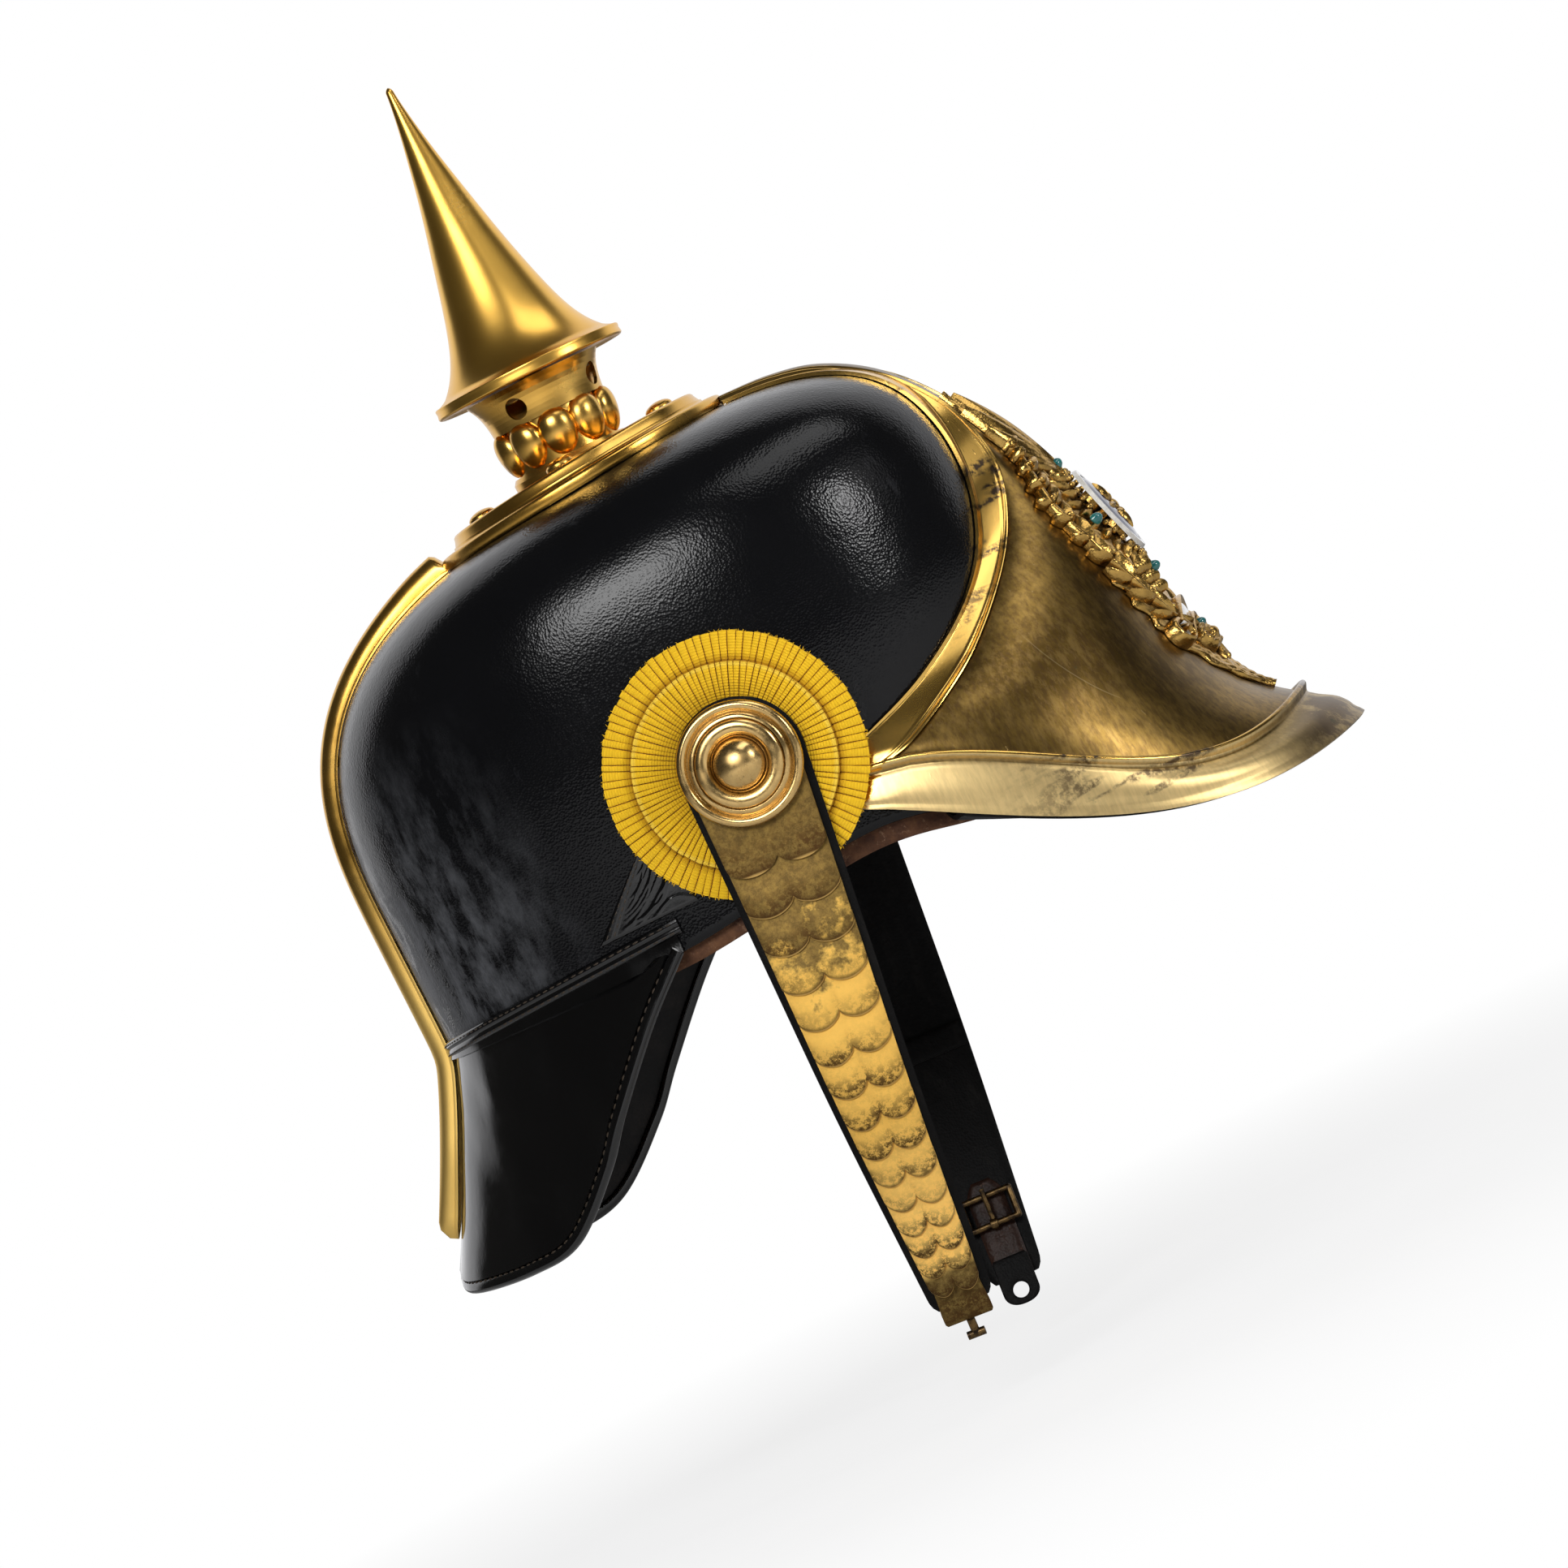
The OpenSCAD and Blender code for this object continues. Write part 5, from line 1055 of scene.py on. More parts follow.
cone_reach = np.maximum(np.hypot(cone_points[:, 0], cone_points[:, 1]), 1e-6)
cone_points[:, :2] *= (1 + np.where(cone_reach < 5, 0, dents) / cone_reach)[:, None]
SPIKE_GOLD = (1.0, 0.59, 0.115)
spike_brass, shader, place = new_finish("spike_brass", SPIKE_GOLD, 1.0, 0.3)
spot = place.vector("DISTANCE", (CROWN_X * MM + 0.008, -0.013, 0.236), output="Value")
grains = place.noise(900.0, 6.0, 0.8)
rough_patch = spot.ranged(0.012, 0.004) * grains.ranged(0.5, 0.6)
pits = place.noise(620.0, 5.0, 0.75).ranged(0.69, 0.73) * place.noise(55.0, 3.0).ranged(0.52, 0.62)
marks = rough_patch.higher(pits)
tone = place.noise(32.0, 4.0).ranged(0.4, 0.75).mix(SPIKE_GOLD, (0.84, 0.47, 0.09))
marks.mix(tone, (0.17, 0.095, 0.04)).into(shader, "Base Color")
marks.ranged(0.0, 1.0, 0.28, 0.6).into(shader, "Roughness")
rings = place.stretched((0.03, 0.03, 1.0)).noise(1500.0, 2.0)
bumped(shader, (place.noise(55.0, 2.0), 0.25, 0.0005), (rings, 0.1, 0.00004), (marks, -0.5, 0.00015))
make_piece("spike_turned", moved((cone_points, cone_faces), Matrix.Translation((CROWN_X, 0, SPIKE_Z))),
           spike_brass, "spike", "polished_brass", ["spike_cone"], sharp=50)

# Screws, nuts and pins
# Plain turned brass inside the shell, dull and never polished.
PLAIN_BRASS = (0.5, 0.33, 0.12)
plain_brass, shader, place = new_finish("plain_brass", PLAIN_BRASS, 1.0, 0.42)
place.noise(300.0, 5.0).mix((0.32, 0.19, 0.07), PLAIN_BRASS).into(shader, "Base Color")
bumped(shader, (place.noise(900.0, 4.0), 0.3, 0.0001))
finish_nodes(plain_brass, "crown_nuts", "spine_pins", "neck_bridge", "spike_screw", "boss_nuts")

# Front ornament
# A cast and gilded relief pinned to the front plate: laurel branches rise from a knot
# round a medallion, with a fan of leaves above and a white enamelled band below.
RELIEF_TOP, RELIEF_FOOT, RELIEF_HALF_W, RELIEF_SEAT = 4.2, 11.6, 36, 0.25
RELIEF_SHAPE = np.array([0.08, 0.24, 0.42, 0.74, 0.92, 1, 0.9, 0.58, 0.14])[:, None]
MEDALLION_ROW, MEDALLION_H = 7.6, 4
chart_rows = np.linspace(RELIEF_TOP - 0.4, RELIEF_FOOT + 0.4, 260)
chart_line = field_at(chart_rows, 0.0)
chart_run = np.concatenate([[0], np.cumsum(lengths(np.diff(chart_line, axis=0))[:, 0])])
chart_run -= np.interp(RELIEF_TOP, chart_rows, chart_run)
CHART_L = float(np.interp(RELIEF_FOOT, chart_rows, chart_run))
MEDALLION_S = float(np.interp(MEDALLION_ROW, chart_rows, chart_run))


def on_plate(y, s, rise):
    """Points y mm to the side, s mm down the plate's middle line and rise mm over it."""
    y, s, rise = np.broadcast_arrays(np.asarray(y, float), np.asarray(s, float), np.asarray(rise, float))
    i = np.interp(s.ravel(), chart_run, chart_rows)
    reach = np.abs(y.ravel()) / np.abs(at_row(MOULDING_FOOT, i)[:, 1])
    a = np.degrees(np.arcsin(np.minimum(0.96, reach) ** (PLAN_PEAK_N / 2)))
    du = field_at(i + 0.1, a) - field_at(i - 0.1, a)
    dv = field_at(i, np.minimum(90, a + 3)) - field_at(i, np.maximum(0, a - 3))
    out = unit(np.cross(dv, du))
    middle_out = unit(np.stack([-du[:, 2], 0 * a, du[:, 0]], -1))
    out = np.where(a[:, None] < 3, middle_out, out)
    points = field_at(i, a) + out * rise.ravel()[:, None]
    points[:, 1] *= -np.sign(y.ravel())
    return points.reshape(*y.shape, 3)


def relief(y, s, rise):
    return sheet_shape(on_plate(y, s, rise), on_plate(y, s, np.full(np.shape(rise), RELIEF_SEAT)))


def leaf(y, s, way, length, width, high, base, curl=0.0, notch=0.0):
    """A leaf from its foot at y, s. Its way is in degrees from straight up the plate."""
    t, w = np.meshgrid(np.linspace(0, 1, 15), np.linspace(-1, 1, 11), indexing="ij")
    half = width / 2 * np.sin(np.pi * np.clip(t, 0.03, 0.985) ** 0.8) ** 0.75
    half = half * (1 - notch * np.abs(np.sin(9 * t)))
    turn = np.radians(way + curl * t)
    along_y = np.cumsum(np.sin(turn) * length / 14, axis=0)
    along_s = -np.cumsum(np.cos(turn) * length / 14, axis=0)
    y_at = y + along_y - np.sin(turn[:1]) * length / 14 + w * half * np.cos(turn)
    s_at = s + along_s + np.cos(turn[:1]) * length / 14 + w * half * np.sin(turn)
    arch = (1 - 0.75 * w ** 2) * np.sin(np.pi * (0.12 + 0.8 * t)) ** 0.6
    veins = 0.16 * np.cos(7 * np.pi * (t - 0.35 * np.abs(w))) * np.abs(w)
    rib = 0.55 * hump(w, 0, 0.13) * (1 - t) + veins
    return relief(y_at, s_at, base + (high - base) * arch + rib)


def knob(y, s, radius, base, high, points=14):
    """A small domed berry or bead."""
    turn = np.arange(points) * 2 * np.pi / points
    rows = np.radians([-30, 0, 25, 50, 72, 88])
    reach = radius * np.cos(rows)[:, None]
    rise = base + (high - base) * np.sin(np.maximum(rows, 0))[:, None] - 0.4 * (rows[:, None] < 0)
    y_at, s_at = y + reach * np.cos(turn), s + reach * np.sin(turn)
    return bar_shape(on_plate(y_at, s_at, np.broadcast_to(rise, y_at.shape)))


def rope(path, radius, high, steps=60, twist=0.0):
    """A rounded bar along a path of y, s points, radius mm wide and high mm over the plate."""
    line = along(np.array(path, float), np.linspace(0, 1, steps))
    way = unit(np.gradient(line, axis=0))
    across = np.linspace(-1, 1, 9)
    radius = np.broadcast_to(np.asarray(radius, float), (steps,))
    y_at = line[:, :1] - way[:, 1:2] * across * radius[:, None]
    s_at = line[:, 1:2] + way[:, :1] * across * radius[:, None]
    ripple = 1 + twist * np.cos(np.arange(steps)[:, None] * 1.3 + across * 2.2)
    high = np.broadcast_to(np.asarray(high, float), (steps,))[:, None]
    rise = 0.5 + (high - 0.5) * np.maximum(0, 1 - across ** 2) ** 0.5 * ripple
    return relief(y_at, s_at, rise)


def both(shapes):
    """The shapes and their mirror images over the middle line."""
    return list(shapes) + [(p * np.array([1, -1, 1]), f) for p, f in shapes]


ground_f, ground_g = np.meshgrid(np.linspace(0, 1, 141), np.linspace(-1, 1, 81), indexing="ij")
ground_w = RELIEF_HALF_W * along(RELIEF_SHAPE, ground_f[:, 0]) * 0.93
scallops = 1 + 0.05 * np.cos(2 * np.pi * 15 * ground_f)
lumps = (0.9 + 0.5 * np.cos(70 * ground_f + 9 * ground_g ** 2) * np.cos(16 * ground_g)
         + 0.35 * np.cos(150 * ground_f) * np.cos(41 * ground_g))
ground_edge = np.clip((1 - np.abs(ground_g)) * 9, 0, 1) ** 0.5
castings = [relief(ground_g * ground_w * scallops, CHART_L * (0.01 + 0.98 * ground_f),
                   0.5 + (0.55 + 0.75 * lumps) * ground_edge)]
branch = np.array([[3, 112], [15, 107], [25, 96], [30, 82], [31.5, 68], [28.5, 54], [22, 42],
                   [14.5, 32], [9, 25]])
half_branch = [rope(branch, np.linspace(1.5, 0.9, 60), np.linspace(4.4, 3.2, 60), twist=0.04)]
branch_line = along(branch, np.linspace(0, 1, 101))
branch_way = np.gradient(branch_line, axis=0)
for k in range(13):
    at = int(6 + 7.1 * k)
    foot, way = branch_line[at], branch_way[at]
    heading = math.degrees(math.atan2(way[0], -way[1]))
    size = 13.5 - 0.35 * k
    room = float(np.interp(foot[1], np.linspace(0, CHART_L, 9), RELIEF_HALF_W * RELIEF_SHAPE[:, 0]))
    for side, length, high in ((1, size * 0.74, 4.0 + 0.9 * (k % 2)), (-1, size, 4.9 - 0.9 * (k % 2))):
        reach = min(length, max(5.0, (room + 1.5 - foot[0]) * 1.35)) if side == 1 else length
        half_branch.append(leaf(foot[0], foot[1], heading + side * 38, reach, reach * 0.42, high, 1.4,
                                -side * 26))
    half_branch.append(knob(foot[0] - 2.3, foot[1] - 2.5, 1.15, 3.1, 4.9))
castings += both(half_branch)
for way, length, high in ((0, 39, 6.4), (17, 34, 5.6), (33, 27, 5.0), (50, 21, 4.6), (70, 16, 4.2)):
    fan = [leaf(math.sin(math.radians(way)) * 2, 45 - math.cos(math.radians(way)) * 2, way, length,
                length * 0.27, high, 1.8, -8.0 * (way > 0), 0.1)]
    castings += both(fan) if way else fan
ray_turns = np.radians(np.arange(0, 360, 12))
for k, turn in enumerate(ray_turns):
    y_at, s_at = 16.8 * math.sin(turn), MEDALLION_S - 16.8 * math.cos(turn)
    castings.append(leaf(y_at, s_at, math.degrees(turn), 8.8 - 2.2 * (k % 2), 3.6, 3.5 + 0.7 * (k % 2),
                         1.0))
for turn in np.radians(np.arange(0, 360, 11.25)):
    castings.append(knob(17.2 * math.sin(turn), MEDALLION_S - 17.2 * math.cos(turn), 0.95, 3.4, 5.0, 10))
for s_at in (96.5, 103.2):
    band = [[-24, s_at + 7.5], [-14, s_at + 2.6], [0, s_at], [14, s_at + 2.6], [24, s_at + 7.5]]
    castings.append(rope(band, 0.75, 5.2, 70))
band_curl = [[24, 103], [28.5, 104], [29.5, 108.5], [26, 111], [22.5, 109.5], [23, 106.5], [26, 106.8]]
bow_loop = [[2, 112], [9, 108], [15, 111], [12, 116], [5, 115], [2, 112.5]]
bow_end = [[2, 113], [7, 117], [9, 121.5]]
castings += both([rope(band_curl, np.linspace(1.7, 0.8, 60), np.linspace(4.8, 5.6, 60)),
                  rope(bow_loop, 1.5, 5.4, twist=0.08),
                  rope(bow_end, np.linspace(1.6, 0.6, 60), np.linspace(5, 3, 60))])
castings.append(knob(0, 112.5, 3.3, 2.6, 6.9, 20))
castings += [knob(y_at, s_at, 1.5, 1.0, 3.4) for y_at, s_at in ((-3.5, 119.5), (0, 121), (3.5, 119.5))]
for s_at in (82.5, 86.5, 90.5):
    for y_at in np.arange(-18, 18.1, 4) + (2 if s_at == 86.5 else 0):
        castings.append(leaf(y_at, s_at + 2.2, y_at * 2, 4.6, 3.6, 3.9, 1.2))
GILT = (0.6, 0.37, 0.1)
GILT_DIRT = (0.045, 0.025, 0.012)
ornament_gilt, shader, place = new_finish("ornament_gilt", GILT, 1.0, 0.3)
hollow = openness(shader, 0.0028, only_local=True)
dirt = hollow.ranged(0.78, 0.3)
patina = place.noise(240.0, 6.0, 0.7).ranged(0.42, 0.64)
tone = (patina * 0.5).mix(GILT, (0.22, 0.12, 0.035))
dirt.mix(tone, GILT_DIRT).into(shader, "Base Color")
dirt.ranged(0.0, 1.0, 0.22, 0.62).into(shader, "Roughness")
bumped(shader, (place.noise(520.0, 4.0, 0.6), 0.5, 0.0003), (place.cells(1400.0), 0.3, 0.00012))
make_piece("front_ornament_cast", joined(castings), ornament_gilt, "helmet", "ornament_gilt",
           ["front_ornament"], sharp=50)

# Ornament's enamels
# A domed dark blue medallion with a gilt rosette in a white ring, a white band, and
# small blue-green bosses; the glass is glossy, slightly crazed and worn at its edges.
def enamel(name, colour, other):
    made, shader, place = new_finish(name, colour, rough=0.12)
    shader.inputs["Coat Weight"].default_value = 0.6
    shader.inputs["Coat Roughness"].default_value = 0.05
    crazing = place.cells(700.0, "DISTANCE_TO_EDGE").ranged(0.035, 0.0, 0.0, 0.4)
    tone = place.noise(260.0, 5.0).ranged(0.35, 0.7).mix(colour, other)
    crazing.mix(tone, (0.08, 0.06, 0.04)).into(shader, "Base Color")
    bumped(shader, (place.noise(300.0, 2.0), 0.25, 0.0002))
    return made


blue_enamel = enamel("blue_enamel", (0.006, 0.012, 0.06), (0.012, 0.03, 0.11))
white_enamel = enamel("white_enamel", (0.8, 0.79, 0.75), (0.6, 0.58, 0.52))
teal_enamel = enamel("teal_enamel", (0.01, 0.11, 0.12), (0.02, 0.2, 0.18))
finish_nodes(blue_enamel, "ornament_medallion")
finish_nodes(white_enamel, "ornament_enamel_ring")
band_t, band_w = np.meshgrid(np.linspace(-1, 1, 61), np.linspace(-1, 1, 9), indexing="ij")
band_y = 23.3 * band_t
band_s = 99.85 + 7.2 * band_t ** 2 + 2.6 * band_w
make_piece("ornament_white_band", relief(band_y, band_s, 2.6 + 1.3 * (1 - 0.6 * band_w ** 2)),
           white_enamel, "helmet", "white_enamel")
teal_spots = [knob(y_at, s_at, 1.9, 3.6, 6.3, 18) for y_at, s_at in
              ((0, 42.5), (0, 84.5), (-21.5, 64), (21.5, 64), (0, 107.4))]
make_piece("ornament_teal_bosses", joined(teal_spots), teal_enamel, "helmet", "blue_enamel")
MEDALLION_TOP = MEDALLION_H + 0.1 + 2.8
rosette = [knob(0, MEDALLION_S, 2.3, MEDALLION_TOP - 0.3, MEDALLION_TOP + 1.3, 20)]
for k, turn in enumerate(np.radians(np.arange(0, 360, 45))):
    y_at, s_at = 2.2 * math.sin(turn), MEDALLION_S - 2.2 * math.cos(turn)
    rosette.append(leaf(y_at, s_at, math.degrees(turn), 6.6 - 1.6 * (k % 2), 2.9, MEDALLION_TOP + 0.9,
                        MEDALLION_TOP - 0.9))
make_piece("ornament_rosette", joined(rosette), ornament_gilt, "helmet", "ornament_gilt")

# Cockades
# Two tiers of ribbed yellow wool ribbon on each side, knife-pleated into rings and
# sewn down by their inner selvage; their cut edges have frayed.
# Shade is painted into the pleat valleys, beside the inner tier's edge and round the boss.
BOSS_X, BOSS_SEAT_Y, BOSS_Z = 29, 86.315, 43
COCKADE_Z, COCKADE_BACK, COCKADE_R, COCKADE_INNER_R, TIER_T = 2.085, 2.5, 40, 31, 2.5
PLEATS = 96
PLEAT_AT = np.array([0.0, 0.035, 0.09, 0.2, 0.5, 0.8, 0.93])
PLEAT_RISE = np.array([0.0, 0.5, 0.8, 0.93, 1.0, 0.9, 0.72])


def on_boss(points, side, lean=0.0):
    """Points beside the boss axis (forward, up, outward), on the right side or the left."""
    points = np.asarray(points, float)
    c, s = math.cos(math.radians(lean)), math.sin(math.radians(lean))
    x, y, z = points[..., 0], points[..., 1], points[..., 2]
    return np.stack([BOSS_X + x * c + y * s, side * (BOSS_SEAT_Y + z), BOSS_Z - x * s + y * c], -1)


def boss_sheet(faces, side, lean=0.0, loop_cols=False):
    """A closed sheet between two faces that are given beside the boss axis."""
    return sheet_shape(*(on_boss(face, side, lean) for face in faces), loop_cols=loop_cols)


def pleated_tier(inner, outer, foot_z, high, seed, dish=0.0):
    """The outer and inner faces of a flat ring of knife pleats."""
    dice = np.random.default_rng(seed)
    slot, step = np.divmod(np.arange(PLEATS * len(PLEAT_AT)), len(PLEAT_AT))
    part, fold = PLEAT_AT[step], PLEAT_RISE[step]
    skew = dice.normal(0, 0.12, PLEATS + 1)
    skew[-1] = skew[0]
    skew = skew[slot] * (1 - part) + skew[slot + 1] * part
    lift = dice.normal(0, 0.05, PLEATS)[slot]
    end = dice.normal(0, 0.16, PLEATS)[slot] + 0.3 * fold
    t = np.concatenate([np.linspace(0, 0.9, 15), [0.94, 0.975, 1]])[:, None]
    sway = skew * t * 0.9 + 0.25 * np.sin(9 * slot + 3 * t) * t * (1 - t)
    turn = 2 * np.pi * (slot + part + sway) / PLEATS
    drape = dish * (1 - t) ** 2 + (1 - 0.22 * t ** 6)
    reach = inner + (outer + end - inner) * t
    rise = high * (drape * (0.66 + 0.34 * fold) + lift * t) + 0.08 * np.sin(3 * turn + 5 * t)
    top = np.stack([reach * np.cos(turn) - COCKADE_BACK, reach * np.sin(turn), foot_z + rise], -1)
    under = np.stack([reach * np.cos(turn) - COCKADE_BACK, reach * np.sin(turn),
                      np.broadcast_to(foot_z, turn.shape)], -1)
    return top, under


def threads(outer, z, count, seed):
    """Short frayed ends of yarn that stick out of a tier's edge."""
    dice = np.random.default_rng(seed)
    shapes = []
    for _ in range(count):
        turn = dice.uniform(0, 2 * np.pi)
        start = np.array([(outer - 0.5) * math.cos(turn) - COCKADE_BACK, (outer - 0.5) * math.sin(turn),
                          z + dice.normal(0, 0.3)])
        way = np.array([math.cos(turn), math.sin(turn), dice.normal(0, 0.35)])
        bend = dice.normal(0, 0.4)
        reach = dice.uniform(0.5, 1.3)
        line = [start + way * reach * t + bend * t * t * np.array([-way[1], way[0], 0.3])
                for t in (0, 0.5, 1)]
        rings = []
        for point, r in zip(line, (0.15, 0.13, 0.05)):
            rings.append([point + r * np.array([-way[1] * math.cos(a), way[0] * math.cos(a), math.sin(a)])
                          for a in np.radians((0, 90, 180, 270))])
        shapes.append((np.array(rings).reshape(-1, 3), grid_faces(3, 4, loop_cols=True)))
    return joined(shapes)


YELLOW = (0.95, 0.58, 0.02)
YELLOW_SHADE = (0.6, 0.29, 0.007)
cockade_wool, shader, place = new_finish("cockade_wool", YELLOW, rough=0.78)
shader.inputs["Sheen Weight"].default_value = 0.06
shader.inputs["Specular IOR Level"].default_value = 0.15
# Painted shade in the pleat valleys, darker where a spot is less open.
valley = openness(shader, 0.0012)
valley_painted_shade = valley.ranged(0.66, 0.28, 0.0, 0.95)
centre = place.vector("SUBTRACT", ((BOSS_X - COCKADE_BACK) * MM, 0, BOSS_Z * MM))
flat = centre.vector("MULTIPLY", (1, 0, 1))
from_centre = flat.vector("LENGTH", output="Value")
weft = (from_centre * (2 * math.pi / 0.00085)).sine()
soil = place.noise(90.0, 5.0, 0.65).ranged(0.5, 0.75)
tone = (soil * 0.35).mix(YELLOW, (0.6, 0.36, 0.02))
tone = weft.ranged(-1.0, 1.0, 0.0, 0.22).mix(tone, YELLOW_SHADE)
# Painted shadow of the inner tier's edge on the outer tier, painted shade round the boss, and a lighter
# ring along the inner tier's edge.
tier_edge_painted_shadow = from_centre.ranged(0.0309, 0.0311) * from_centre.ranged(0.0338, 0.0312, 0.0, 0.8)
lighter_tier_rim = from_centre.ranged(0.0294, 0.0302) * from_centre.ranged(0.0311, 0.0309, 0.0, 0.5)
boss_painted_shade = from_centre.ranged(0.026, 0.018, 0.0, 0.45)
tone = lighter_tier_rim.mix(tone, (1.0, 0.72, 0.1))
tone = tier_edge_painted_shadow.higher(boss_painted_shade).mix(tone, (0.36, 0.16, 0.004))
valley_painted_shade.mix(tone, (0.3, 0.12, 0.004)).into(shader, "Base Color")
bumped(shader, (weft, 0.5, 0.00022), (place.noise(2200.0, 3.0), 0.5, 0.00025))
for side, word, seed in ((-1, "right", 5), (1, "left", 9)):
    outer_tier = pleated_tier(24, COCKADE_R - 0.3, COCKADE_Z, TIER_T, seed)
    inner_tier = pleated_tier(14, COCKADE_INNER_R - 0.2, COCKADE_Z + TIER_T * 0.8, TIER_T * 1.18,
                              seed + 1, -0.75)
    tiers = joined([boss_sheet(tier, side, loop_cols=True) for tier in (outer_tier, inner_tier)])
    make_piece(word + "_cockade_pleats", tiers, cockade_wool, "helmet", "cockade_wool",
               [word + "_cockade"], sharp=75)
    frays = [threads(COCKADE_R, COCKADE_Z + 1.4, 260, seed + 2),
             threads(COCKADE_INNER_R, COCKADE_Z + 3.9, 200, seed + 3)]
    make_piece(word + "_cockade_threads", joined([(on_boss(p, side), f) for p, f in frays]), cockade_wool,
               "helmet", "cockade_wool")

# Bosses
# Big turned brass screw heads that hold the straps. The rim and the middle dome are
# rubbed bright, and the grooves between the rings are brown.
STRAP_Z, STRAP_T, SCALE_LOW, SCALE_T, SCALE_DOME = 7.385, 1.8, 0.3, 0.8, 1.1
HEAD_Z, HEAD_T = 10.685, 1
BOSS_UNDER_Z = HEAD_Z + SCALE_DOME + HEAD_T + 0.3
BOSS_R, BOSS_DOME_R, BOSS_SHANK_R, SHANK_IN = 19, 7.5, 5, 9.0
boss_profile = [[0.04, -SHANK_IN], [BOSS_SHANK_R - 0.4, -SHANK_IN], [BOSS_SHANK_R, 0.4 - SHANK_IN],
                [BOSS_SHANK_R, BOSS_UNDER_Z]]
boss_face = [[BOSS_R - 1, 0.0], [BOSS_R - 0.25, 0.2], [BOSS_R, 0.7], [BOSS_R, 1.6]]
boss_face += arc((BOSS_R - 1.6, 2.2), 1.6, 5, 165, 13)
boss_face += [[BOSS_R - 3.25, 2.35], [BOSS_R - 3.45, 2.25], [BOSS_R - 4.2, 2.75], [BOSS_R - 5.0, 3.15],
              [BOSS_R - 5.25, 3.1], [BOSS_R - 5.4, 2.8], [BOSS_R - 5.6, 3.0]]
boss_face += [[BOSS_R - 7.9 + 2.25 * math.cos(a), 3.05 + 1.3 * math.sin(a)]
              for a in np.radians(np.linspace(8, 172, 15))]
boss_face += [[BOSS_R - 10.35, 2.9], [BOSS_R - 10.6, 3.3], [BOSS_R - 10.85, 3.55], [BOSS_R - 11.05, 3.3]]
boss_face += [[(BOSS_DOME_R + 0.35) * math.cos(a), 3.4 + 5.95 * math.sin(a)]
              for a in np.radians(np.linspace(4, 89.7, 19))]
boss_profile += [[r, BOSS_UNDER_Z + z] for r, z in boss_face]
boss_brass, shader, place = new_finish("boss_brass", (0.72, 0.46, 0.15), 1.0, 0.24)
groove_dark = openness(shader, 0.0012).ranged(0.7, 0.3, 0.0, 0.65)
patina = place.noise(120.0, 6.0, 0.7).ranged(0.42, 0.68)
pits = place.noise(700.0, 5.0, 0.8).ranged(0.6, 0.68) * place.noise(150.0, 3.0).ranged(0.48, 0.62)
tone = (patina * 0.5).mix((0.74, 0.5, 0.2), (0.36, 0.22, 0.075))
tone = groove_dark.mix(tone, (0.1, 0.058, 0.022))
pits.mix(tone, (0.035, 0.024, 0.018)).into(shader, "Base Color")
patina.ranged(0.0, 1.0, 0.18, 0.4).into(shader, "Roughness")
bumped(shader, (place.noise(90.0, 2.0), 0.25, 0.0004), (pits, -0.4, 0.0001))
for side, word in ((-1, "right"), (1, "left")):
    boss_points, boss_faces = turned(boss_profile, 96)
    make_piece(word + "_boss_turned", (on_boss(boss_points, side), boss_faces), boss_brass, "helmet",
               "polished_brass", [word + "_boss"], sharp=50)

# Strap leathers
# A band of black leather behind the scales on each side, shaped to the strap's curve as one
# piece and held round the boss at the top.
STRAP_L, LEFT_EXTRA_L, STRAP_W, STRAP_END_W, STRAP_EDGE = 175, 12, 35, 15, 2.2
STRAP_CURVE, STRAP_BEND_S, CURVE_END_S = 20, 84, 134
RIGHT_LEAN, LEFT_LEAN = 4.7, 3.4
CURVE_K = STRAP_CURVE / ((CURVE_END_S - STRAP_BEND_S) ** 2
                         + 2 * (CURVE_END_S - STRAP_BEND_S) * (STRAP_L - CURVE_END_S))


def curved(s):
    return np.maximum(0, np.minimum(s, CURVE_END_S) - STRAP_BEND_S)


def strap_at(s, u, n):
    """A point s mm down the strap, u mm forward and n mm outward of its inner face."""
    s, u, n = np.broadcast_arrays(np.asarray(s, float), np.asarray(u, float), np.asarray(n, float))
    inward = CURVE_K * (curved(s) ** 2 + 2 * curved(s) * np.maximum(0, s - CURVE_END_S))
    g = 2 * CURVE_K * curved(s)
    l = np.sqrt(1 + g * g)
    return np.stack([u, -s - n * g / l, STRAP_Z - inward + n / l], -1)


def brass_w(s):
    return blend_of(STRAP_W, STRAP_END_W, np.asarray(s, float) / STRAP_L)


def strap_faces(rows_s, half_widths):
    """The outer and inner face of a strap's leather, a little wavy from long use."""
    v = np.linspace(-1, 1, 15)
    round_off = 1 - np.abs(v) ** 10
    s, u = rows_s[:, None], half_widths[:, None] * v
    worn = 0.12 * np.sin(s / 5.3 + 3 * v) * np.sin(s / 17)
    return [strap_at(s, u, STRAP_T / 2 + (way * STRAP_T / 2 + worn) * round_off) for way in (1, -1)]


